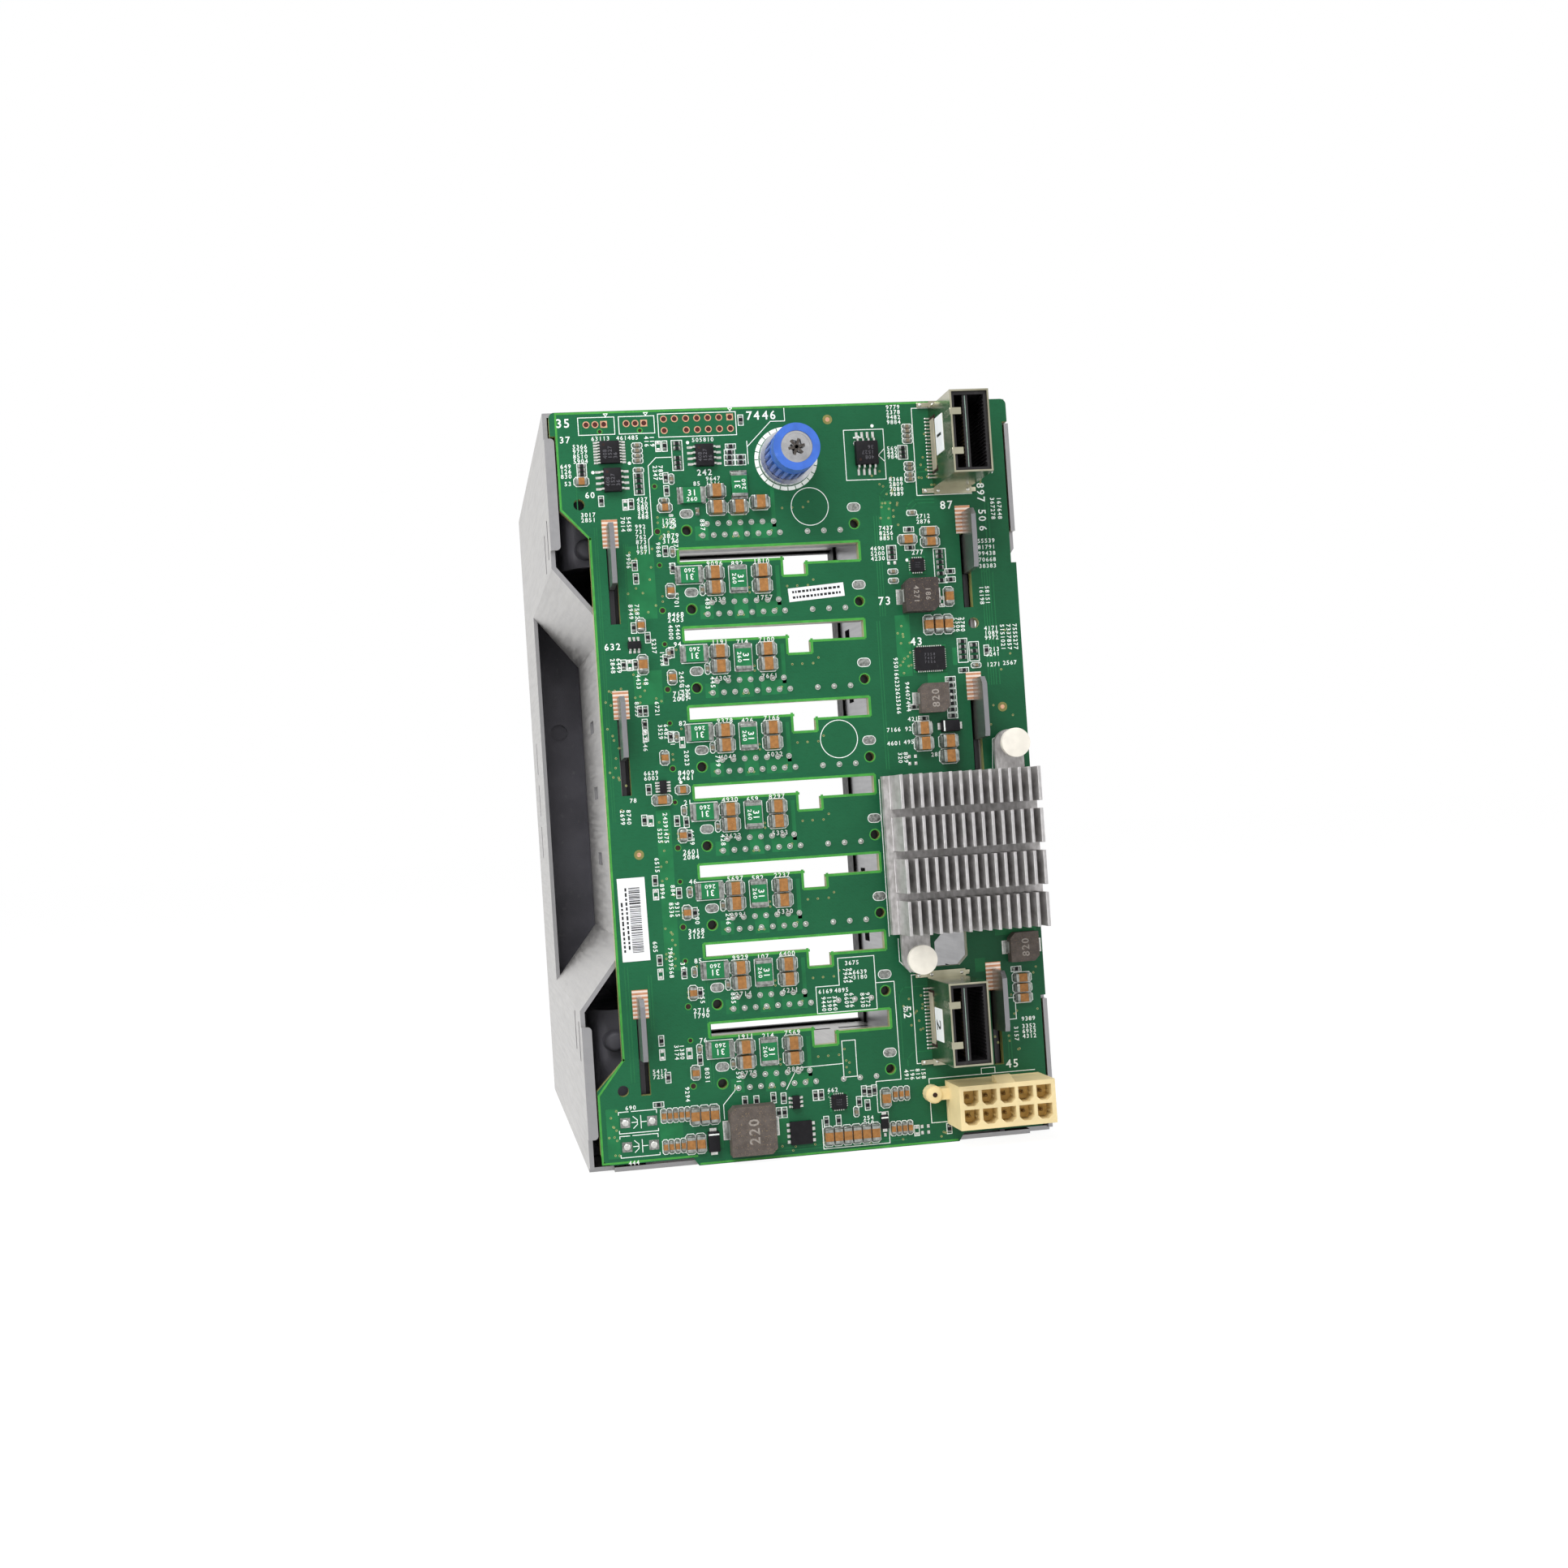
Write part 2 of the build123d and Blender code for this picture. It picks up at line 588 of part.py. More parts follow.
def cage_front_profile():
    """Plain rectangular wall of the cage's front third."""
    outer = outline([
        (CAGE_LEFT_U, CAGE_TOP_V),
        (CAGE_RIGHT_U, CAGE_TOP_V),
        (CAGE_RIGHT_U, FLOOR_V),
        (CAGE_LEFT_U, FLOOR_V),
    ])
    return outer - offset(outer, amount=-SHEET, kind=Kind.INTERSECTION)


def rounded_lip(u_left, u_right, top, near):
    """Narrow flange with both ends rounded on the board's side."""
    sketch = outline([
        (u_left, top),
        (u_right, top),
        (u_right, top + FLANGE_HEIGHT),
        (u_left, top + FLANGE_HEIGHT),
    ])
    inner = [p for p in sketch.vertices() if p.X > u_left - MID_U + SHEET]
    return slab(fillet(inner, FLANGE_CORNER_RADIUS), near, near + SHEET)


def side_flanges():
    """Rear edges of the side walls, turned in beside the board."""
    lip_near = BOARD_THICKNESS / 2 - SHEET
    depth = BOARD_THICKNESS - lip_near + SHEET
    left_tops = (FLANGE_TOP_V, FLANGE_BOTTOM_V)
    right_tops = (FLANGE_TOP_V, BOARD_NOTCH_BOTTOM_V + FLANGE_CORNER_RADIUS)
    pieces = []
    for top in left_tops:
        lip = rounded_lip(CAGE_LEFT_U, CAGE_LEFT_U + FLANGE_WIDTH, top, lip_near)
        pieces.append(lip)
        pieces.append(block(CAGE_LEFT_U, top, lip_near, SHEET, FLANGE_HEIGHT, depth))
    for top in right_tops:
        wall_u = CAGE_RIGHT_U - SHEET
        pieces.append(block(wall_u, top, lip_near, SHEET, FLANGE_HEIGHT, depth))
    return pieces


def retention_tab():
    """Tab bent down from the top wall behind the board, which carries the screw's nut."""
    bottom = SCREW_V + TAB_BELOW_SCREW
    tab = block(
        SCREW_U - TAB_WIDTH / 2, CAGE_TOP_V, BOARD_THICKNESS,
        TAB_WIDTH, bottom - CAGE_TOP_V, SHEET,
    )
    hole_radius = SCREW_RADIUS + TAB_HOLE_CLEARANCE
    hole = small_rod(SCREW_U, SCREW_V, 0, BOARD_THICKNESS + 2 * SHEET, hole_radius)
    return tab - hole


def cage_shell():
    """Outer sheet of the cage: top, floor, pressed side walls, flanges and screw tab."""
    shell = slab(cage_profile(), BOARD_THICKNESS, RECESS_FRONT)
    shell += slab(cage_front_profile(), RECESS_FRONT, CAGE_FRONT)
    for piece in side_flanges():
        shell += piece
    shell += retention_tab()
    for u in (CAGE_LEFT_U, CAGE_RIGHT_U - CORNER_RELIEF):
        shell -= block(
            u, FLOOR_V - SHEET, BOARD_THICKNESS - 1,
            CORNER_RELIEF, SHEET + 1, CORNER_RELIEF / 2 + 1,
        )
    for u in (CAGE_LEFT_U - SHEET, CAGE_RIGHT_U - 2 * SHEET):
        for v, depth in wall_slots():
            shell -= block(
                u, v, depth, 3 * SHEET, SLOT_VENT_LENGTH, SLOT_VENT_WIDTH,
            )
    for u in (GUIDE_LEFT_U - 2 * SHEET, GUIDE_RIGHT_U - SHEET / 2):
        for v in side_slot_rows(RECESS_SLOT_PITCH):
            shell -= block(
                u, v - RECESS_SLOT_HEIGHT / 2, BOARD_THICKNESS + RECESS_SLOTS_FROM_BOARD,
                2.5 * SHEET, RECESS_SLOT_HEIGHT, RECESS_SLOT_LENGTH,
            )
    return shell


def side_slot_rows(pitch):
    """Heights of a side wall's slots, spread evenly about the recess's middle."""
    first = RECESS_MIDDLE_V - (SIDE_SLOT_COUNT - 1) * pitch / 2
    return [first + index * pitch for index in range(SIDE_SLOT_COUNT)]


def wall_slots():
    """Upper end and depth of the slots pierced through the outer side walls."""
    slots = []
    for index, depth in enumerate(REAR_SLOTS_D):
        away = (len(REAR_SLOTS_D) - index) * REAR_SLOT_STAGGER
        slots.append((RECESS_TOP_V - SLOT_VENT_LENGTH - away, depth))
        slots.append((RECESS_BOTTOM_V + away, depth))
    for v in side_slot_rows(FRONT_SLOT_PITCH):
        slots.append((v - SLOT_VENT_LENGTH / 2, RECESS_FRONT + FRONT_SLOTS_FROM_STEP))
    return slots


def shelf(v_top):
    """Sheet across the drive space, with vent slots near the front."""
    depth = CAGE_DEPTH - LINER_BLOCK_AT
    back = BOARD_THICKNESS + LINER_BLOCK_AT
    sheet = block(GUIDE_INNER_LEFT_U, v_top, back, DRIVE_SPACE, SHEET, depth)
    pitch = DRIVE_SPACE / SHELF_SLOT_COUNT
    for index in range(SHELF_SLOT_COUNT):
        u = GUIDE_INNER_LEFT_U + (index + 0.5) * pitch - SLOT_VENT_LENGTH / 2
        sheet -= block(
            u, v_top - 1, CAGE_FRONT - GUIDE_HOLE_FROM_FRONT,
            SLOT_VENT_LENGTH, SHEET + 2, SLOT_VENT_WIDTH,
        )
    return sheet


def hook_points(top):
    """Hook outline in depth and v: neck through the board, nose up over the pad."""
    nose_under = -HOOK_PAD_THICKNESS
    neck_top = top + HOOK_NOSE
    bottom = top + HOOK_LENGTH
    root = BOARD_THICKNESS + HOOK_ROOT
    crown = -HOOK_HEIGHT
    return [
        (root, neck_top),
        (nose_under, neck_top),
        (nose_under, top + HOOK_SHOULDER),
        (nose_under - HOOK_SHOULDER, top),
        (crown + HOOK_CROWN_RADIUS, top),
        (crown, top + HOOK_CROWN_RADIUS),
        (crown, bottom - HOOK_CROWN_RADIUS),
        (crown + HOOK_SHOULDER, bottom - HOOK_SHOULDER),
        (nose_under, bottom),
        (root, bottom),
    ]


def guide_wall(u_left):
    """Sheet beside the drives, with three hooks and pierced openings for each bay."""
    top = CAGE_TOP_V + SHEET
    height = FLOOR_V - SHEET - top
    wall = block(u_left, top, BOARD_THICKNESS, GUIDE_SHEET, height, CAGE_DEPTH)
    for hook_top in HOOK_TOPS_V:
        wall += side_slab(hook_points(hook_top), u_left, u_left + GUIDE_SHEET)
    notch_back = CAGE_FRONT - GUIDE_NOTCH_DEPTH
    for index in range(BAY_COUNT):
        middle = bay_v(index) - GUIDE_HOLE_ABOVE_BAY
        wall -= block(
            u_left - 1, middle - GUIDE_NOTCH_HEIGHT / 2, notch_back,
            GUIDE_SHEET + 2, GUIDE_NOTCH_HEIGHT, GUIDE_NOTCH_DEPTH + 1,
        )
        oblong = place(
            u_left + GUIDE_SHEET / 2, middle, CAGE_FRONT - GUIDE_HOLE_FROM_FRONT,
        )
        wall -= oblong * Box(GUIDE_SHEET + 2, GUIDE_HOLE_LENGTH, 2 * GUIDE_HOLE_RADIUS)
        wall -= block(
            u_left - 1, middle + GUIDE_SLOT_BELOW_HOLE, BOARD_THICKNESS + GUIDE_SLOT_DEPTH_AT,
            GUIDE_SHEET + 2, GUIDE_SLOT_HEIGHT, GUIDE_SLOT_LENGTH,
        )
    return wall


def side_liner(u_left, u_right):
    """Moulded liner in a side channel: a front box with ribbed blocks above and below."""
    width = u_right - u_left
    top = CAGE_TOP_V + SHEET + LINER_GAP
    bottom = FLOOR_V - SHEET - LINER_GAP
    panel = CAGE_FRONT - LINER_PANEL_FROM_FRONT
    hollow_u = u_left + LINER_WALL
    hollow_width = width - 2 * LINER_WALL
    body = block(u_left, top, panel, width, bottom - top, LINER_PANEL_FROM_FRONT)
    body -= block(
        hollow_u, top + LINER_WALL, panel + LINER_WALL,
        hollow_width, bottom - top - 2 * LINER_WALL, LINER_PANEL_FROM_FRONT,
    )
    back = BOARD_THICKNESS + LINER_BLOCK_AT
    upper_end = RECESS_TOP_V - LINER_WALL
    lower_start = RECESS_BOTTOM_V + LINER_WALL
    for v0, v1 in ((top, upper_end), (lower_start, bottom)):
        body += block(u_left, v0, back, width, v1 - v0, panel - back)
        inner_height = v1 - v0 - 2 * LINER_WALL
        body -= block(
            hollow_u, v0 + LINER_WALL, back - 1,
            hollow_width, inner_height, panel - back - LINER_WALL,
        )
        pitch = inner_height / (LINER_RIB_COUNT + 1)
        for index in range(1, LINER_RIB_COUNT + 1):
            v = v0 + LINER_WALL + index * pitch - LINER_RIB / 2
            rib_back = back + LINER_WALL
            body += block(hollow_u, v, rib_back, hollow_width, LINER_RIB, panel - rib_back)
    screw_u = u_left + LINER_SCREW_AT * width
    body -= small_rod(screw_u, LINER_SCREW_V, panel - 1, panel + LINER_WALL / 2, LINER_SCREW_RADIUS)
    return body


def front_trim():
    """Dark edging round the mouth of the drive space."""
    near = CAGE_FRONT - TRIM_DEPTH
    lip = TRIM_DEPTH / 3
    height = DRIVE_BOTTOM_V - DRIVE_TOP_V
    left = block(GUIDE_INNER_LEFT_U, DRIVE_TOP_V, near, TRIM_THICKNESS, height, TRIM_DEPTH)
    right = block(
        GUIDE_INNER_RIGHT_U - TRIM_THICKNESS, DRIVE_TOP_V, near,
        TRIM_THICKNESS, height, TRIM_DEPTH,
    )
    top = block(
        GUIDE_INNER_LEFT_U, DRIVE_TOP_V, CAGE_FRONT - lip,
        DRIVE_SPACE, TRIM_THICKNESS, lip,
    )
    bottom = block(
        GUIDE_INNER_LEFT_U, DRIVE_BOTTOM_V - TRIM_THICKNESS, CAGE_FRONT - lip,
        DRIVE_SPACE, TRIM_THICKNESS, lip,
    )
    return left + right + top + bottom


def screw_ferrule():
    """Flanged sleeve pressed into the board, which keeps the thumbscrew captive."""
    body = rod(SCREW_U, SCREW_V, -FERRULE_HEIGHT, 0, FERRULE_RADIUS)
    tube_top = FERRULE_HEIGHT + FERRULE_TUBE_HEIGHT
    body += small_rod(SCREW_U, SCREW_V, -tube_top, 0, FERRULE_TUBE_RADIUS)
    body += small_rod(SCREW_U, SCREW_V, 0, BOARD_THICKNESS, FERRULE_SHANK_RADIUS)
    return body - small_rod(
        SCREW_U, SCREW_V, -tube_top - 1, BOARD_THICKNESS + 1, FERRULE_BORE_RADIUS,
    )


def knob_ribs():
    """Ribbed outline of the knob's grip, its ridges level with the smooth rim."""
    points = []
    for index in range(2 * KNOB_RIB_COUNT):
        radius = KNOB_RADIUS if index % 2 == 0 else KNOB_RADIUS - KNOB_RIB
        angle = 180.0 * index / KNOB_RIB_COUNT
        ridge = Vector(radius, 0).rotate(Axis.Z, angle)
        points.append((SCREW_U + ridge.X, SCREW_V + ridge.Y))
    return outline(points)


def thumbscrew_knob():
    """Plastic knob, ribbed for the fingers, hollow below, with a seat for the screw head."""
    ribbed_top = KNOB_BOTTOM + KNOB_SHARE_RIBBED * KNOB_HEIGHT
    body = rod(SCREW_U, SCREW_V, -KNOB_TOP, -ribbed_top, KNOB_RADIUS)
    body += slab(knob_ribs(), -ribbed_top, -KNOB_BOTTOM)
    cavity_top = KNOB_TOP - KNOB_CEILING
    body -= small_rod(SCREW_U, SCREW_V, -cavity_top, -KNOB_BOTTOM + 1, KNOB_CAVITY_RADIUS)
    body -= rod(SCREW_U, SCREW_V, -KNOB_TOP - 1, -SCREW_HEAD_BOTTOM, SCREW_HEAD_RADIUS)
    body -= small_rod(SCREW_U, SCREW_V, -KNOB_TOP, -KNOB_BOTTOM, SCREW_RADIUS)
    return body


def socket_star():
    """Six lobed outline of the screw's drive socket."""
    points = []
    for index in range(2 * SOCKET_LOBES):
        radius = SOCKET_RADIUS if index % 2 == 0 else SOCKET_RADIUS - SOCKET_LOBE
        lobe = Vector(radius, 0).rotate(Axis.Z, 180.0 * index / SOCKET_LOBES)
        points.append((SCREW_U + lobe.X, SCREW_V + lobe.Y))
    return outline(points)


def thumbscrew_shaft():
    """Steel screw with a low round head and a six lobed drive socket."""
    body = rod(SCREW_U, SCREW_V, -SCREW_HEAD_TOP, -SCREW_HEAD_BOTTOM, SCREW_HEAD_RADIUS)
    body += small_rod(SCREW_U, SCREW_V, -SCREW_HEAD_BOTTOM, SCREW_TIP, SCREW_RADIUS)
    return body - slab(socket_star(), -SCREW_HEAD_TOP, SOCKET_DEPTH - SCREW_HEAD_TOP)


def tab_nut():
    """Six sided press nut behind the cage's screw tab."""
    near = BOARD_THICKNESS + SHEET
    hexagon = RegularPolygon(NUT_ACROSS_CORNERS / 2, NUT_SIDES)
    body = slab(Pos(SCREW_U - MID_U, FLOOR_V - SCREW_V) * hexagon, near, near + NUT_HEIGHT)
    return body - small_rod(
        SCREW_U, SCREW_V, near - 1, near + NUT_HEIGHT + 1, SCREW_RADIUS + SCREW_CLEARANCE,
    )


def expander_chip():
    """Large square chip in the middle of the heat sink's place."""
    return centred_block(SINK_U, SINK_V, CHIP_SIZE, CHIP_SIZE, CHIP_HEIGHT)


def thermal_pad():
    """Soft pad between the chip and the heat sink."""
    return block(
        SINK_U - PAD_SIZE / 2, SINK_V - PAD_SIZE / 2, -SINK_BOTTOM,
        PAD_SIZE, PAD_SIZE, PAD_HEIGHT,
    )


def sink_ear(u, v):
    """Flat arm from the heat sink's base out to a push pin."""
    near = -SINK_BOTTOM - EAR_THICKNESS
    reach = SINK_V - v
    arm = block(
        u - EAR_WIDTH / 2, min(v, SINK_V), near, EAR_WIDTH, abs(reach), EAR_THICKNESS,
    )
    arm += rod(u, v, near, -SINK_BOTTOM, EAR_WIDTH / 2)
    return arm


def heat_sink():
    """Base plate with rows of upright fins and two ears."""
    left = SINK_U - SINK_WIDTH / 2
    top = SINK_V - SINK_LENGTH / 2
    body = block(left, top, -SINK_BASE_TOP, SINK_WIDTH, SINK_LENGTH, SINK_BASE)
    pin_radius = PUSH_PIN_SHANK_RADIUS + PUSH_PIN_CLEARANCE
    for u, v in PUSH_PINS:
        body += sink_ear(u, v)
        body -= small_rod(u, v, -SINK_FIN_TOP, 0, pin_radius)
    row_length = (SINK_LENGTH - (SINK_FIN_ROWS - 1) * SINK_ROW_GAP) / SINK_FIN_ROWS
    span = SINK_WIDTH - 2 * SINK_FIN_EDGE - SINK_FIN_THICKNESS
    pitch = span / (SINK_FIN_COLUMNS - 1)
    fins = []
    for column in range(SINK_FIN_COLUMNS):
        for row in range(SINK_FIN_ROWS):
            fins.append(block(
                left + SINK_FIN_EDGE + column * pitch,
                top + row * (row_length + SINK_ROW_GAP),
                -SINK_FIN_TOP,
                SINK_FIN_THICKNESS, row_length, SINK_FIN_TOP - SINK_BASE_TOP,
            ))
    return body.fuse(*fins)


def push_pin(u, v):
    """Plastic push pin through a heat sink ear and the board, barbed behind."""
    head = -PUSH_PIN_HEAD_TOP
    pin = rod(u, v, head, head + PUSH_PIN_HEAD_HEIGHT, PUSH_PIN_HEAD_RADIUS)
    pin += small_rod(u, v, head, BOARD_THICKNESS, PUSH_PIN_SHANK_RADIUS)
    seat = Plane(
        origin=(u - MID_U, BOARD_THICKNESS - MID_D, FLOOR_V - v),
        x_dir=(1, 0, 0), z_dir=(0, 1, 0),
    )
    rim = seat * RegularPolygon(PUSH_PIN_BARB_RADIUS, PUSH_PIN_BARB_SIDES)
    return pin + extrude(rim, PUSH_PIN_BARB, taper=PUSH_PIN_BARB_TAPER)


def sas_shell(u, v):
    """Folded metal shell of an upright cable connector, with feet on the board."""
    outer = centred_block(u, v, SAS_WIDTH, SAS_LENGTH, SAS_HEIGHT)
    inner_width = SAS_WIDTH - 2 * SAS_SHELL
    inner_length = SAS_LENGTH - 2 * SAS_SHELL
    shell = outer - centred_block(u, v, inner_width, inner_length, SAS_HEIGHT + 1)
    for foot_v in (v - SAS_LENGTH / 2 - SAS_FOOT_LENGTH, v + SAS_LENGTH / 2):
        shell += block(
            u - SAS_WIDTH / 2, foot_v, -SAS_FOOT_THICKNESS,
            SAS_WIDTH, SAS_FOOT_LENGTH, SAS_FOOT_THICKNESS,
        )
    for share in SAS_LATCH_SHARES:
        shell += block(
            u - SAS_WIDTH / 2, v + (share - 0.5) * SAS_LENGTH - SAS_LATCH_LENGTH / 2,
            -SAS_HEIGHT, SAS_LATCH_WIDTH, SAS_LATCH_LENGTH, SAS_SHELL,
        )
    return shell


def sas_core(u, v):
    """Black insert with two wells and a contact tongue between them."""
    width = SAS_WIDTH - 2 * SAS_SHELL
    length = SAS_LENGTH - 2 * SAS_SHELL
    core = centred_block(u, v, width, length, SAS_HEIGHT - SAS_CORE_WALL)
    well_width = width - 2 * SAS_CORE_WALL
    well_length = length - 2 * SAS_CORE_WALL
    well_left = u - well_width / 2
    well_top = v - well_length / 2
    depth = SAS_HEIGHT - SAS_CORE_FLOOR
    core -= block(well_left, well_top, -SAS_HEIGHT, well_width, well_length, depth)
    tongue_u = well_left + SAS_TONGUE_AT * well_width - SAS_TONGUE / 2
    tongue_top = SAS_HEIGHT - SAS_TONGUE_BELOW_RIM
    core += block(
        tongue_u, well_top, -tongue_top, SAS_TONGUE, well_length,
        tongue_top - SAS_CORE_FLOOR,
    )
    return core


def power_wells():
    """Left, top corner of each terminal well of the power header."""
    span_u = (POWER_COLUMNS - 1) * POWER_PITCH + POWER_WELL
    span_v = (POWER_ROWS - 1) * POWER_PITCH + POWER_WELL
    left = POWER_LEFT_U + (POWER_WIDTH - span_u) / 2
    top = POWER_TOP_V + (POWER_LENGTH - span_v) / 2
    return [
        (left + column * POWER_PITCH, top + row * POWER_PITCH)
        for row in range(POWER_ROWS) for column in range(POWER_COLUMNS)
    ]


def well_outline(u, v):
    """Square terminal well with its two lower corners cut off."""
    cut = POWER_WELL_CORNER
    return outline([
        (u, v),
        (u + POWER_WELL, v),
        (u + POWER_WELL, v + POWER_WELL - cut),
        (u + POWER_WELL - cut, v + POWER_WELL),
        (u + cut, v + POWER_WELL),
        (u, v + POWER_WELL - cut),
    ])


def power_housing():
    """Cream header with ten wells, a latch ramp and a peg ear."""
    body = block(
        POWER_LEFT_U, POWER_TOP_V, -POWER_HEIGHT, POWER_WIDTH, POWER_LENGTH, POWER_HEIGHT,
    )
    latch_foot = POWER_HEIGHT - POWER_LATCH_HEIGHT - POWER_LATCH_STEP
    latch_u = POWER_LEFT_U + (POWER_WIDTH - POWER_LATCH_WIDTH) / 2
    ramp = side_slab(
        [
            (-POWER_HEIGHT + POWER_LATCH_BELOW_RIM, POWER_TOP_V),
            (-POWER_HEIGHT + POWER_LATCH_HEIGHT, POWER_TOP_V - POWER_LATCH_DEPTH),
            (-latch_foot, POWER_TOP_V - POWER_LATCH_DEPTH),
            (-latch_foot, POWER_TOP_V),
        ],
        latch_u, latch_u + POWER_LATCH_WIDTH,
    )
    body += ramp
    for u, v in power_wells():
        body -= slab(well_outline(u, v), -POWER_HEIGHT, -POWER_FLOOR)
    ear_v = POWER_TOP_V + POWER_EAR_WIDTH / 2
    body += block(
        POWER_LEFT_U - POWER_EAR_LENGTH, ear_v, -POWER_EAR_HEIGHT,
        POWER_EAR_LENGTH, POWER_EAR_WIDTH, POWER_EAR_HEIGHT,
    )
    body += small_rod(
        POWER_LEFT_U - POWER_EAR_LENGTH, ear_v + POWER_EAR_WIDTH / 2,
        -POWER_EAR_HEIGHT, 0, POWER_PEG_RADIUS,
    )
    return body


def power_pins():
    """Square terminals standing in the header's wells."""
    inset = (POWER_WELL - POWER_PIN) / 2
    return [
        block(
            u + inset, v + inset, -POWER_PIN_HEIGHT,
            POWER_PIN, POWER_PIN, POWER_PIN_HEIGHT - POWER_FLOOR,
        )
        for u, v in power_wells()
    ]


def drive_connector(index):
    """Receptacle on the board's far side, its slot open towards the drive."""
    v = bay_v(index) + DRIVE_CONNECTOR_RISE
    u = BAY_HOLE_U + BAY_HOLE_SPACING / 2
    left = u - DRIVE_CONNECTOR_WIDTH / 2
    body = block(
        left, v - DRIVE_CONNECTOR_HEIGHT / 2, BOARD_THICKNESS,
        DRIVE_CONNECTOR_WIDTH, DRIVE_CONNECTOR_HEIGHT, DRIVE_CONNECTOR_DEPTH,
    )
    mouth = BOARD_THICKNESS + DRIVE_CONNECTOR_DEPTH - DRIVE_WELL_DEPTH
    body -= block(
        u - DRIVE_WELL_WIDTH / 2, v - DRIVE_WELL_HEIGHT / 2, mouth,
        DRIVE_WELL_WIDTH, DRIVE_WELL_HEIGHT, DRIVE_WELL_DEPTH,
    )
    body += block(
        u - DRIVE_WELL_WIDTH / 2, v - DRIVE_TONGUE / 2, mouth - DRIVE_TONGUE,
        DRIVE_WELL_WIDTH, DRIVE_TONGUE, DRIVE_WELL_DEPTH,
    )
    body += block(
        u + DRIVE_KEY_AT, v - DRIVE_WELL_HEIGHT / 2, mouth,
        DRIVE_KEY_WIDTH, DRIVE_WELL_HEIGHT, DRIVE_WELL_DEPTH / 2,
    )
    return body


def coil(left, top, width, length, height):
    """Moulded power inductor with two cut corners."""
    cut = COIL_CHAMFER
    points = [
        (left + cut, top),
        (left + width, top),
        (left + width, top + length - cut),
        (left + width - cut, top + length),
        (left, top + length),
        (left, top + cut),
    ]
    return slab(outline(points), -height, 0)


def laid(part, u, v, upright):
    """Chip part on the board, its long side level or upright."""
    length, width, height = part
    if upright:
        return centred_block(u, v, width, length, height)
    return centred_block(u, v, length, width, height)


def bay_capacitors():
    """Four large ceramic capacitors in each bay."""
    parts = [
        laid(BAY_CAPACITOR, u, v, False) for u, v in TOP_BAY_CAPACITOR_PLACES
    ]
    for index in range(1, BAY_COUNT):
        for du, dv in BAY_CAPACITOR_PLACES:
            parts.append(laid(BAY_CAPACITOR, BAY_HOLE_U + du, bay_v(index) + dv, False))
    return parts


def bay_polyfuses():
    """Two resettable fuses in each bay, one level and one upright."""
    parts = [laid(POLYFUSE, u, v, upright) for u, v, upright in TOP_BAY_POLYFUSES]
    for index in range(1, BAY_COUNT):
        for place_of_fuse, upright in (
            (POLYFUSE_FLAT_PLACE, False), (POLYFUSE_UPRIGHT_PLACE, True),
        ):
            u = BAY_HOLE_U + place_of_fuse[0]
            v = bay_v(index) + place_of_fuse[1]
            parts.append(laid(POLYFUSE, u, v, upright))
    return parts


def spread(part, places, upright):
    """Equal chip parts at places given from the bays."""
    return [laid(part, *near_bay(*spot), upright) for spot in places]


def foot_rows(part, rows):
    """Close rows of upright chip parts above the board's foot."""
    parts = []
    for first_u, above_foot, pitch, count in rows:
        v = BOARD_HEIGHT - above_foot
        parts += [laid(part, first_u + index * pitch, v, True) for index in range(count)]
    return parts


def supply_capacitors():
    """Rows of capacitors along the board's foot and beside the regulators."""
    parts = foot_rows(MEDIUM_CAPACITOR, MEDIUM_ROWS)
    parts += spread(MEDIUM_CAPACITOR, UPRIGHT_CAPACITOR_PLACES, True)
    parts += spread(MEDIUM_CAPACITOR, LEVEL_CAPACITOR_PLACES, False)
    parts += spread(BAY_CAPACITOR, BIG_CAPACITOR_PLACES, False)
    return parts


def tiny_capacitors():
    """Narrow capacitors in close rows along the foot."""
    return foot_rows(TINY_CAPACITOR, TINY_ROWS)


def signal_capacitors():
    """Single small capacitors beside the bays."""
    parts = spread(SMALL_CAPACITOR, SMALL_UPRIGHT_PLACES, True)
    return parts + spread(SMALL_CAPACITOR, SMALL_LEVEL_PLACES, False)


def chip_group(chips):
    """Moulded chip bodies at places given from the bays."""
    return [centred_block(*near_bay(*chip[:3]), *chip[3:]) for chip in chips]


def labels():
    """Two thin paper labels."""
    sheets = []
    for u, bay, below, width, height, tilt in LABELS:
        middle = place(*near_bay(u, bay, below), -LABEL_THICKNESS / 2) * Rot(0, tilt, 0)
        sheets.append(middle * Box(width, LABEL_THICKNESS, height))
    return sheets


def save(name, shape):
    """Write one sub-part, or a group of equal ones, to its own file."""
    if isinstance(shape, list):
        shape = Compound(children=shape)
    export_step(shape, f"parts/{name}.step")


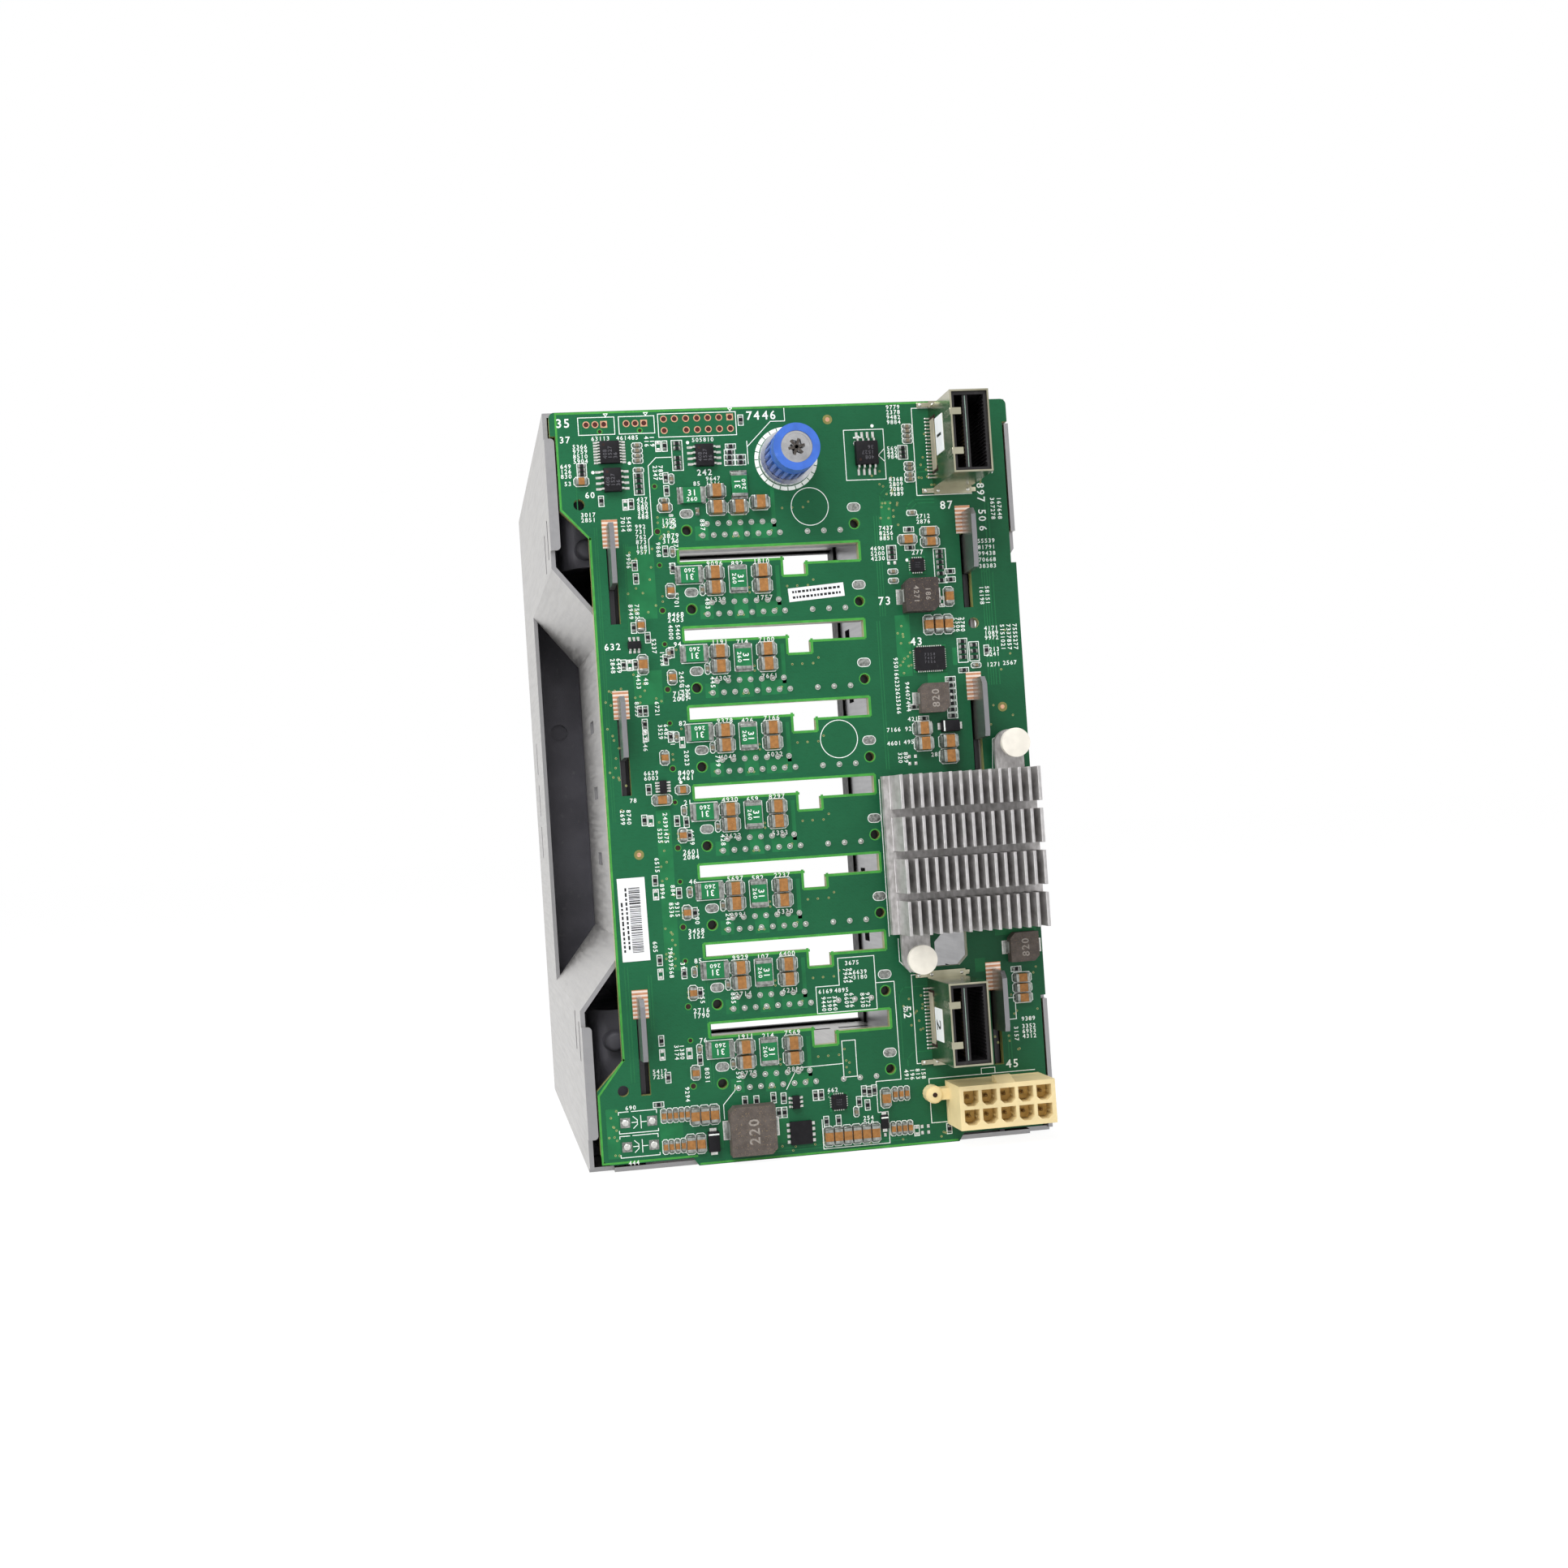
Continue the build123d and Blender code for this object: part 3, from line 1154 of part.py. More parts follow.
def main():
    """Build every sub-part and write it out."""
    os.makedirs("parts", exist_ok=True)
    save("circuit_board", circuit_board())
    save("hook_pads", hook_pads())
    save("cage_shell", cage_shell())
    save("drive_space_top", shelf(DRIVE_TOP_V - SHEET))
    save("drive_space_bottom", shelf(DRIVE_BOTTOM_V))
    save("guide_wall_left", guide_wall(GUIDE_LEFT_U))
    save("guide_wall_right", guide_wall(GUIDE_INNER_RIGHT_U))
    left_channel = CAGE_LEFT_U + SHEET + LINER_GAP
    right_channel = CAGE_RIGHT_U - SHEET - LINER_GAP
    save("side_liner_left", side_liner(left_channel, GUIDE_LEFT_U))
    save("side_liner_right", side_liner(GUIDE_RIGHT_U, right_channel))
    save("front_trim", front_trim())
    save("screw_ferrule", screw_ferrule())
    save("thumbscrew_knob", thumbscrew_knob())
    save("thumbscrew_shaft", thumbscrew_shaft())
    save("tab_nut", tab_nut())
    save("expander_chip", expander_chip())
    save("thermal_pad", thermal_pad())
    save("heat_sink", heat_sink())
    save("heat_sink_pins", [push_pin(u, v) for u, v in PUSH_PINS])
    for name, (u, v) in (("out", SAS_OUT), ("in", SAS_IN)):
        save(f"cable_connector_{name}_shell", sas_shell(u, v))
        save(f"cable_connector_{name}_core", sas_core(u, v))
    save("power_header", power_housing())
    save("power_header_pins", power_pins())
    for index in range(BAY_COUNT):
        save(f"drive_connector_{index + 1}", drive_connector(index))
    save("inductor_supply", coil(SUPPLY_COIL_U, BOARD_HEIGHT - SUPPLY_COIL_FROM_FOOT, *SUPPLY_COIL))
    save("inductor_upper", coil(*near_bay(*UPPER_COIL_PLACE), *UPPER_COIL))
    pair_size = (COIL_PAIR_SIZE, COIL_PAIR_SIZE, COIL_PAIR_HEIGHT)
    save("inductor_pair", [coil(*near_bay(*spot), *pair_size) for spot in COIL_PAIR_PLACES])
    save("bay_capacitors", bay_capacitors())
    save("bay_polyfuses", bay_polyfuses())
    save("supply_capacitors", supply_capacitors())
    save("signal_capacitors", signal_capacitors())
    save("tiny_capacitors", tiny_capacitors())
    save("control_chips", chip_group(LEADED_CHIPS))
    save("flat_chips", chip_group(FLAT_CHIPS))
    save("diodes", chip_group(DIODES))
    save("labels", labels())


if __name__ == "__main__":
    main()
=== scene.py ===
"""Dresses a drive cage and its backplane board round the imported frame.

The board stands upright at the rear of the cage, its component side looking
along -Y.  Places on it are written as a drawing of the board gives them: u in
millimetres from the left, v down from the top edge, and h out from the
component face towards the viewer.
"""

from __future__ import annotations

import logging
import math
import random
from dataclasses import dataclass
from enum import Enum
from functools import cached_property
from typing import Iterable, Sequence, Union

import bmesh
import bpy
from mathutils import Matrix, Vector


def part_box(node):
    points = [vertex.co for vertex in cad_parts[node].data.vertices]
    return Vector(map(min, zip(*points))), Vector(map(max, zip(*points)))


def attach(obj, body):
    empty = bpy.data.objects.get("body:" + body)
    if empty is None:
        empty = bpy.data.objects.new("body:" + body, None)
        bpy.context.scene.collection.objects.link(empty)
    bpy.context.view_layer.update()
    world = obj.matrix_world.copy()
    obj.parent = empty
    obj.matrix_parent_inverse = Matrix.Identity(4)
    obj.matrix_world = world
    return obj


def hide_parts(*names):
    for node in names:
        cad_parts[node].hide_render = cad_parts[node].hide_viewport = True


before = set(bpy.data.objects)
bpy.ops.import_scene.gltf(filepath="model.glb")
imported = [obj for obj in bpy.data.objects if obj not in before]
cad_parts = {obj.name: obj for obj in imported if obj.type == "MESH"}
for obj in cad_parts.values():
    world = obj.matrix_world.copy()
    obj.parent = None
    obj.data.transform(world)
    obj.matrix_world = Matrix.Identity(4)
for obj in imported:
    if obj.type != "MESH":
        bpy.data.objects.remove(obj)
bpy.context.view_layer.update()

LOG = logging.getLogger("backplane")
MM = 0.001
CAGE = "cage"
SCREW = "thumbscrew"

BOARD_OVERHANG = 0.6
BAY_COUNT = 8
BAY_PITCH = 17.78
FIRST_BAY_V = 27.5
BOARD_HEIGHT = 169.7
STRIP_FOOT = 0.02


def bay_v(index: int) -> float:
    """Returns the height of a bay's connector holes below the board's top edge."""
    return FIRST_BAY_V + index * BAY_PITCH


def hue(code: str) -> tuple[float, float, float, float]:
    """Turns a six digit screen colour into linear light.

    Args:
        code: red, green and blue as pairs of hexadecimal digits.

    Returns:
        The colour with an alpha of 1.
    """
    parts = [int(code[at:at + 2], 16) / 255 for at in (0, 2, 4)]
    linear = [((part + 0.055) / 1.055) ** 2.4 if part > 0.04 else part / 12.92 for part in parts]
    return (*linear, 1.0)


@dataclass(frozen=True)
class Drawing:
    """The board drawing's place in the frame.

    Attributes:
        left: where u is 0, in metres.
        top: where v is 0, in metres.
        face: the component face, in metres.
    """

    left: float
    top: float
    face: float

    @classmethod
    def of_board(cls) -> "Drawing":
        """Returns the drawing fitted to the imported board."""
        low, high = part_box("circuit_board")
        return cls(low.x + BOARD_OVERHANG * MM, high.z, low.y)

    def axes(self) -> Matrix:
        """Returns the matrix from (u, -v, h) in millimetres to the frame."""
        return Matrix((
            (MM, 0, 0, self.left),
            (0, 0, -MM, self.face),
            (0, MM, 0, self.top),
            (0, 0, 0, 1),
        ))


DRAWING = Drawing.of_board()

Value = Union["Channel", float, tuple]
Spots = Sequence[tuple[float, float]]
Rows = Sequence[tuple[float, ...]]


class Channel:
    """A node's output that takes part in Python expressions."""

    def __init__(self, graph: "Graph", socket: bpy.types.NodeSocket) -> None:
        """Keeps the socket and the graph that its Math nodes go into."""
        self.graph = graph
        self.socket = socket

    def _math(self, operation: str, first: Value, second: Value) -> "Channel":
        """Returns the result of a Math node on two values."""
        return self.graph.node("ShaderNodeMath", {"operation": operation}, {0: first, 1: second})

    def __add__(self, other: Value) -> "Channel":
        """Returns the sum."""
        return self._math("ADD", self, other)

    def __radd__(self, other: Value) -> "Channel":
        """Returns the sum, with this channel second."""
        return self._math("ADD", other, self)

    def __sub__(self, other: Value) -> "Channel":
        """Returns the difference."""
        return self._math("SUBTRACT", self, other)

    def __rsub__(self, other: Value) -> "Channel":
        """Returns the difference, with this channel second."""
        return self._math("SUBTRACT", other, self)

    def __mul__(self, other: Value) -> "Channel":
        """Returns the product."""
        return self._math("MULTIPLY", self, other)

    def __rmul__(self, other: Value) -> "Channel":
        """Returns the product, with this channel second."""
        return self._math("MULTIPLY", other, self)

    def __lt__(self, other: Value) -> "Channel":
        """Returns 1 where this channel is the smaller and 0 elsewhere."""
        return self._math("LESS_THAN", self, other)

    def most(self, other: Value) -> "Channel":
        """Returns the greater of the two."""
        return self._math("MAXIMUM", self, other)

    def size(self) -> "Channel":
        """Returns the value without its sign."""
        return self._math("ABSOLUTE", self, 0.0)

    def wave(self) -> "Channel":
        """Returns the sine."""
        return self._math("SINE", self, 0.0)

    def eased(self, start: float, end: float) -> "Channel":
        """Returns a smooth step from 0 at start to 1 at end.

        Args:
            start: the value that gives 0.
            end: the value that gives 1.

        Returns:
            The eased channel.
        """
        return self.graph.node(
            "ShaderNodeMapRange", {"interpolation_type": "SMOOTHSTEP"},
            {0: self, 1: start, 2: end, 3: 0.0, 4: 1.0},
        )


class Graph:
    """The node tree of one material or of the world."""

    def __init__(self, owner: bpy.types.ID) -> None:
        """Empties the owner's node tree.

        Args:
            owner: the material or the world.
        """
        self.owner = owner
        owner.use_nodes = True
        self.tree = owner.node_tree
        self.tree.nodes.clear()

    @cached_property
    def place(self) -> Channel:
        """The object coordinates in millimetres."""
        return self.vector("SCALE", self.node("ShaderNodeTexCoord", output="Object"), scale=1 / MM)

    def node(
        self,
        kind: str,
        settings: dict[str, object] | None = None,
        sockets: dict[int | str, Value] | None = None,
        output: int | str = 0,
    ) -> Channel:
        """Adds a node.

        Args:
            kind: the node's type.
            settings: its settings, such as a Math node's operation.
            sockets: the value or link of each input.
            output: which output comes back.

        Returns:
            The chosen output, empty for a node that has none.
        """
        made = self.tree.nodes.new(kind)
        for name, value in (settings or {}).items():
            setattr(made, name, value)
        for key, value in (sockets or {}).items():
            if isinstance(value, Channel):
                self.tree.links.new(value.socket, made.inputs[key])
            else:
                made.inputs[key].default_value = value
        return Channel(self, made.outputs[output] if len(made.outputs) else None)

    def vector(
        self, operation: str, first: Value, second: Value = (0, 0, 0), scale: float = 1,
    ) -> Channel:
        """Returns the result of a Vector Math node.

        Args:
            operation: the Vector Math node's operation.
            first: its first vector.
            second: its second vector.
            scale: its scale.

        Returns:
            The result.
        """
        sockets: dict[int | str, Value] = {0: first, 1: second}
        if operation == "SCALE":
            sockets = {0: first, "Scale": scale}
        return self.node("ShaderNodeVectorMath", {"operation": operation}, sockets)

    def part(self, vector: Channel, axis: str) -> Channel:
        """Returns one axis of a vector."""
        return self.node("ShaderNodeSeparateXYZ", sockets={0: vector}, output=axis)

    def stretched(self, x: float, y: float, z: float) -> Channel:
        """Returns the place in millimetres, scaled along each axis."""
        return self.vector("MULTIPLY", self.place, (x, y, z))

    def noise(self, size: float, detail: float = 2.0, place: Channel | None = None) -> Channel:
        """Returns noise from 0 to 1 whose blots are about size millimetres.

        Args:
            size: the pattern's size, in millimetres.
            detail: how many finer layers it has.
            place: the coordinates, if not the object's.

        Returns:
            The pattern, from 0 to 1.
        """
        return self.node(
            "ShaderNodeTexNoise", sockets={
                "Vector": place or self.place, "Scale": 1 / size, "Detail": detail,
            },
        )

    def mix(self, share: Value, first: Value, second: Value) -> Channel:
        """Returns a colour between two, the second at a share of 1."""
        return self.node(
            "ShaderNodeMix", {"data_type": "RGBA"}, {0: share, 6: first, 7: second}, output=2,
        )

    def facing(self, axis: str) -> Channel:
        """Returns how far the surface faces along an axis of the frame, from -1 to 1."""
        return self.part(self.node("ShaderNodeNewGeometry", output="Normal"), axis)

    def blend(self, share: Value, first: Channel, second: Channel) -> Channel:
        """Returns a shader between two, the second at a share of 1."""
        return self.node("ShaderNodeMixShader", sockets={0: share, 1: first, 2: second})

    def end(self, shader: Channel, kind: str = "Material") -> bpy.types.ID:
        """Ends the tree in a shader and returns its owner."""
        self.node("ShaderNodeOutput" + kind, sockets={"Surface": shader})
        return self.owner


@dataclass(frozen=True)
class Finish:
    """A surface finish with drifting colour, uneven gloss and fine relief.

    Attributes:
        name: the material's name.
        colour: its screen colour.
        roughness: its mean roughness.
        metallic: 1 for bare metal.
        coat: share of a clear coat.
        drift: how far the colour drifts, as a share.
        drift_size: how large the drift's blots are, in millimetres.
        grain: height of the fine relief, in millimetres.
        grain_size: how large the relief's grains are, in millimetres.
        shine: the specular level, 0.5 for an ordinary plastic.
    """

    name: str
    colour: str
    roughness: float
    metallic: float = 0.0
    coat: float = 0.0
    drift: float = 0.12
    drift_size: float = 3.0
    grain: float = 0.01
    grain_size: float = 0.15
    shine: float = 0.3

    def material(self) -> bpy.types.Material:
        """Returns the material, made at its first use."""
        found = bpy.data.materials.get(self.name)
        return found or self.build(Graph(bpy.data.materials.new(self.name)))

    def tint(self, graph: Graph) -> Channel:
        """Returns the colour with its drift.

        Args:
            graph: the material's graph.

        Returns:
            The colour.
        """
        base = hue(self.colour)
        dark = tuple(part * (1 - self.drift) for part in base[:3]) + (1.0,)
        light = tuple(min(1.0, part * (1 + self.drift)) for part in base[:3]) + (1.0,)
        return graph.mix(graph.noise(self.drift_size, 3.0).eased(0.3, 0.7), dark, light)

    def gloss(self, graph: Graph) -> Channel:
        """Returns the roughness with its drift."""
        spread = graph.noise(self.drift_size * 0.6, 3.0).eased(0.25, 0.75)
        return spread * (0.3 * self.roughness) + 0.85 * self.roughness

    def metal(self, graph: Graph) -> Value:
        """Returns how metallic it is."""
        return self.metallic

    def relief(self, graph: Graph) -> Channel:
        """Returns the height of the fine relief."""
        return graph.noise(self.grain_size, 2.0)

    def build(self, graph: Graph) -> bpy.types.Material:
        """Builds the material's nodes.

        Args:
            graph: the empty graph.

        Returns:
            The finished material.
        """
        bump = {"Strength": 1.0, "Distance": self.grain * MM, "Height": self.relief(graph)}
        return graph.end(graph.node("ShaderNodeBsdfPrincipled", sockets={
            "Base Color": self.tint(graph),
            "Roughness": self.gloss(graph),
            "Metallic": self.metal(graph),
            "Coat Weight": self.coat,
            "Coat Roughness": 0.12,
            "Specular IOR Level": self.shine,
            "Normal": graph.node("ShaderNodeBump", sockets=bump),
        }))


@dataclass(frozen=True)
class SolderMask(Finish):
    """Green lacquer over laminate: weave under it, tan edges, and painted shade that darkens it towards
    the right.

    Attributes:
        shade: the colour of the painted shade at the board's right side.
        laminate: the colour of the sawn edges.
    """

    shade: str = "175033"
    laminate: str = "A8A468"

    def tint(self, graph: Graph) -> Channel:
        """Returns lacquer on the faces, with painted shade towards the right, and laminate on the edges.

        Args:
            graph: the material's graph.

        Returns:
            The colour.
        """
        # Painted shade: the lacquer darkens towards the board's right side.
        across = graph.part(graph.place, "X").eased(-30.0, 60.0)
        lacquer = graph.mix(across * 0.75, hue(self.colour), hue(self.shade))
        blots = graph.noise(9.0, 3.0).eased(0.35, 0.7)
        lacquer = graph.mix(blots * 0.2, lacquer, hue("246B45"))
        weave = graph.noise(0.35, 1.0, graph.stretched(0.25, 1, 1)).eased(0.45, 0.75)
        lacquer = graph.mix(weave * 0.16, lacquer, hue("123C24"))
        edge = graph.facing("Y").size() < 0.5
        plies = graph.noise(0.12, 1.0, graph.stretched(0.02, 1, 0.02)).eased(0.4, 0.6)
        sawn = graph.mix(plies * 0.5, hue(self.laminate), hue("6F8A4A"))
        return graph.mix(edge, lacquer, sawn)

    def relief(self, graph: Graph) -> Channel:
        """Returns the glass weave that shows through the lacquer."""
        rows = (graph.part(graph.place, "Z") * 7.0).wave() * 0.5
        columns = (graph.part(graph.place, "X") * 7.0).wave() * 0.5
        return rows * columns + graph.noise(0.3, 2.0)


@dataclass(frozen=True)
class Galvanised(Finish):
    """Zinc coated sheet steel: faint spangles and rolling lines, with painted shade on the faces that
    look along Y and on the roof.

    Attributes:
        dull: the colour of its clouds, and of the painted shade on the faces that look along Y, such as
            the flanges along the board, and on the roof.
    """

    dull: str = "8D8D91"

    def tint(self, graph: Graph) -> Channel:
        """Returns the zinc's grey with faint spangles under soft clouds, darkened as painted shade on the
        faces that look along Y and on the roof.

        Args:
            graph: the material's graph.

        Returns:
            The colour.
        """
        spangle = graph.node(
            "ShaderNodeTexVoronoi", {"feature": "F1"},
            {"Vector": graph.place, "Scale": 0.5, "Randomness": 1.0}, output="Color",
        )
        clouds = graph.noise(30.0, 2.0, graph.stretched(1, 0.4, 1)).eased(0.2, 0.8)
        streaks = graph.noise(0.6, 3.0, graph.stretched(0.5, 0.012, 0.5)).eased(0.3, 0.7)
        level = graph.part(spangle, "X") * 0.12 + clouds * 0.06 + streaks * 0.16
        zinc = graph.mix(level, hue(self.colour), hue(self.dull))
        # Painted shade: faces that look along Y, and the roof, are mixed towards the dull colour.
        facing_shade = graph.facing("Y").size().eased(0.4, 0.95) * 0.7
        return graph.mix(facing_shade + self.roof(graph) * 0.8, zinc, hue(self.dull))

    def roof(self, graph: Graph) -> Channel:
        """Returns 1 on the cage's roof, where the colour is darkened as painted shade, and 0 elsewhere.
        """
        return graph.facing("Z").eased(0.4, 0.95) * graph.part(graph.place, "Z").eased(150.0, 165.0)

    def metal(self, graph: Graph) -> Channel:
        """Returns how metallic it is, less on the roof."""
        return self.metallic * (1 - 0.8 * self.roof(graph))

    def gloss(self, graph: Graph) -> Channel:
        """Returns roughness that follows the rolling lines."""
        lines = graph.noise(0.5, 3.0, graph.stretched(0.6, 0.03, 0.6))
        return lines.eased(0.3, 0.75) * 0.08 + (self.roughness - 0.04)

    def relief(self, graph: Graph) -> Channel:
        """Returns rolling lines with a few dents."""
        lines = graph.noise(0.3, 3.0, graph.stretched(0.8, 0.04, 0.8))
        return lines * 0.25 + graph.noise(9.0, 1.0) * 0.75


@dataclass(frozen=True)
class OiledGalvanised(Galvanised):
    """Zinc coated sheet with painted shade that darkens it just behind the board.

    Attributes:
        oiled: the colour of the painted shade.
        reach: how far behind the board's face it goes, in millimetres.
    """

    oiled: str = "3E3D40"
    reach: float = 14.0

    def tint(self, graph: Graph) -> Channel:
        """Returns the zinc, darkened behind the board as painted shade."""
        behind = graph.part(graph.place, "Y") - DRAWING.face / MM
        share = behind.eased(1.0, 2.0) * (1 - behind.eased(self.reach / 2, self.reach))
        return graph.mix(share, super().tint(graph), hue(self.oiled))


@dataclass(frozen=True)
class SawnMetal(Finish):
    """Bare metal with saw or draw marks that run one way.

    Attributes:
        along: share of the grain's stretch on X, Y and Z, small along the marks.
        dull: the colour between the bright marks.
    """

    metallic: float = 0.9
    grain: float = 0.02
    along: tuple[float, float, float] = (1.0, 0.06, 0.06)
    dull: str = "8A8B8E"

    def tint(self, graph: Graph) -> Channel:
        """Returns bright marks over the dull ground."""
        marks = graph.noise(0.35, 4.0, graph.stretched(*self.along)).eased(0.3, 0.7)
        stains = graph.noise(self.drift_size, 3.0).eased(0.3, 0.8)
        return graph.mix(marks * 0.55 + stains * 0.45, hue(self.dull), hue(self.colour))

    def relief(self, graph: Graph) -> Channel:
        """Returns the marks' relief."""
        return graph.noise(0.25, 3.0, graph.stretched(*self.along))


@dataclass(frozen=True)
class Moulded(Finish):
    """Moulded plastic: fine spark texture, faint flow marks and light rubs.

    Attributes:
        scuff: the colour of light rubs.
        scuffs: how much of the surface is rubbed.
    """

    scuff: str = "8C8C8C"
    scuffs: float = 0.08

    def tint(self, graph: Graph) -> Channel:
        """Returns the plastic's colour with flow marks and rubs."""
        flow = super().tint(graph)
        rubs = graph.noise(1.6, 5.0, graph.stretched(1, 0.3, 1)).eased(0.62, 0.8)
        return graph.mix(rubs * self.scuffs, flow, hue(self.scuff))


@dataclass(frozen=True)
class CutCeramic(Finish):
    """Fired ceramic or ferrite, speckled, slightly chalky."""

    def tint(self, graph: Graph) -> Channel:
        """Returns the speckled body colour."""
        body = super().tint(graph)
        specks = graph.noise(0.22, 2.0).eased(0.6, 0.75)
        return graph.mix(specks * 0.35, body, hue("C9A878"))


@dataclass(frozen=True)
class HookPad(Finish):
    """Tinned stripes across bare copper."""

    def tint(self, graph: Graph) -> Channel:
        """Returns stripes of tin and copper.

        Args:
            graph: the material's graph.

        Returns:
            The colour.
        """
        height = graph.part(graph.place, "Z")
        stripe = (height * (2 * math.pi / 0.92)).wave().eased(-0.2, 0.25)
        worn = graph.noise(0.6, 3.0).eased(0.35, 0.75)
        return graph.mix(stripe * 0.85 + worn * 0.1, hue("C98D68"), hue("F0E4D8"))


MASK = SolderMask("SolderMask", "195E3C", 0.34, coat=0.04, grain=0.012, shine=0.16)
MASK_POUR = Finish("MaskOverCopper", "206E42", 0.36, coat=0.04, drift=0.1, grain=0.008, shine=0.16)
MASK_RIM = Finish("MaskRim", "43963F", 0.4, coat=0.04, drift_size=1.5, shine=0.2)
MASK_TRACE = Finish("MaskOverTrace", "1E693F", 0.34, coat=0.04, drift=0.08, grain=0.006, shine=0.2)
INK = Finish("LegendInk", "EDF2EE", 0.6, drift=0.05, drift_size=0.6, grain_size=0.08)
TIN = SawnMetal("TinnedMetal", "E2E2DF", 0.3, dull="B9B8B3", along=(0.6, 0.6, 0.6), drift_size=0.6)
TERMINATION = SawnMetal(
    "TinTermination", "B4B7B3", 0.32, dull="70746F", along=(0.5, 0.5, 0.3), drift_size=0.8,
)
SOLDER = SawnMetal("SolderFillet", "B4B6B2", 0.3, dull="5C605B", along=(0.6, 0.6, 0.6), drift_size=0.5)
COPPER = Finish("BareCopper", "D3A183", 0.35, metallic=0.5, drift=0.15, drift_size=0.6)
HALO = Finish("DotHalo", "7C7A45", 0.4, drift=0.15, drift_size=0.8, grain=0.005)
VIA_RING = Finish("ViaRing", "9AA069", 0.4, drift=0.2, drift_size=0.8, grain=0.005)
# HEAD_SLOT is painted shade: the gap round the screw head and its drive recess are dark raised strips.
HEAD_SLOT = Finish("HeadSlot", "4B4642", 0.45, metallic=0.4, drift=0.3, drift_size=0.8)
# BORE and HEADER_BORE are painted shade where they fill open holes and slots: flat dark discs and blocks
# stand for the dark inside them. BORE also colours the chips' first-lead marks.
BORE = Finish("HoleBore", "2A130E", 0.6, drift=0.3, drift_size=0.5, grain=0.02)
HEADER_BORE = Finish("HeaderBore", "43170F", 0.6, drift=0.3, drift_size=0.5, grain=0.02)
STEEL = Galvanised("GalvanisedSteel", "BBB9B6", 0.36, metallic=0.88, grain=0.012)
# The guide walls' zinc is set darker than the cage's as painted shade inside the cage, and is darkened
# further behind the board.
GUIDE_STEEL = OiledGalvanised("GuideSteel", "A2A2A4", 0.34, metallic=0.9, grain=0.012, dull="7E7E82")
# The lips behind the hooks' slots are coloured dark as painted shade, standing for the shade behind the
# slots.
GUIDE_LIP_SHADE = Galvanised(
    "GuideLip", "3A393C", 0.55, metallic=0.2, grain=0.012, dull="2E2E31", shine=0.1,
)
FERRULE = SawnMetal(
    "FerruleSteel", "D8DADC", 0.26, metallic=1.0, dull="B4B5B8", along=(0.1, 0.1, 0.1), grain=0.004,
)
SCREW_STEEL = SawnMetal(
    "ScrewSteel", "C4C4C5", 0.22, metallic=1.0, dull="9A9B9E", along=(0.1, 0.05, 0.1), grain=0.004,
)
LINER = Moulded(
    "LinerPlastic", "55545B", 0.5, drift=0.18, drift_size=12.0, grain=0.03, grain_size=0.3, scuffs=0.2,
)
TRIM = Moulded("TrimPlastic", "1B1B1D", 0.5, drift=0.15, grain=0.02)
# KNOB_GROOVE is painted shade: the knob's ribs are coloured a darker blue standing for the shade in its
# grooves.
KNOB_GROOVE = Moulded("KnobGroove", "23407F", 0.45, drift=0.1, grain=0.012)
KNOB = Moulded(
    "KnobPlastic", "3A66BE", 0.38, coat=0.2, drift=0.1, grain=0.012, scuff="A9C0EE", scuffs=0.1,
)
CHIP = Moulded(
    "ChipPlastic", "1C1B1E", 0.52, drift=0.16, drift_size=1.5, grain=0.02, grain_size=0.08,
    scuffs=0.05, shine=0.14,
)
CHIP_PRINT = Finish("ChipPrint", "57565B", 0.6, drift=0.2, drift_size=0.5, grain=0.004, shine=0.1)
PAD_GREY = Finish("ThermalPad", "8F8F8B", 0.7, drift=0.1, grain=0.03)
SINK = SawnMetal(
    "HeatSinkAluminium", "D0CDCD", 0.42, metallic=0.35, dull="9B9896", along=(0.4, 0.05, 0.2),
    drift_size=4.0, grain=0.03,
)
SINK_BRIGHT = SawnMetal(
    "HeatSinkSawn", "C2C0C0", 0.4, metallic=0.6, dull="A9A7A7", along=(0.4, 0.2, 0.3), drift_size=2.0,
)
PIN_NYLON = Moulded("PinNylon", "E6E1D6", 0.42, drift=0.05, scuff="B9B2A2")
COVER = SawnMetal(
    "CoverNickel", "BDBAA4", 0.2, metallic=1.0, dull="96937E", along=(0.06, 0.03, 0.02),
    drift_size=5.0, grain=0.002, grain_size=3.0,
)
COVER_EDGE = SawnMetal(
    "CoverEdge", "B9B5A1", 0.28, dull="A29E8B", along=(0.5, 0.5, 0.5), drift_size=1.0, grain=0.01,
)
JACK_BLACK = Moulded("ConnectorBlack", "1D1B1D", 0.36, coat=0.15, drift=0.15)
# A painted highlight: the black tongue's top edge is coloured pale green-grey.
TONGUE_HIGHLIGHT = Finish("TongueEdge", "8FA79B", 0.4, drift=0.1, drift_size=0.6)
CONTACT = SawnMetal("ContactGold", "6B5A3C", 0.35, metallic=0.8, dull="2E2720", grain=0.01)
INSERT_GREY = Moulded("InsertGrey", "A79F8C", 0.5, grain=0.02, scuff="D6D0BE", scuffs=0.2)
POWER = Moulded(
    "PowerNylon", "E8D4A2", 0.45, drift=0.06, drift_size=6.0, grain=0.015, scuff="C9B98A", scuffs=0.12,
)
POWER_SEAT = Moulded(
    "PowerSeat", "E9C67C", 0.45, drift=0.06, grain=0.015, scuff="C9B98A", scuffs=0.12,
)
BRASS = Finish("TerminalBrass", "7D6238", 0.35, metallic=0.8, drift=0.2, drift_size=0.6)
COIL = CutCeramic(
    "CoilFerrite", "574F4A", 0.62, drift=0.16, drift_size=1.2, grain=0.05, grain_size=0.2,
)
COIL_DARK = CutCeramic(
    "CoilDark", "3B3432", 0.6, drift=0.16, drift_size=1.2, grain=0.05, grain_size=0.2,
)
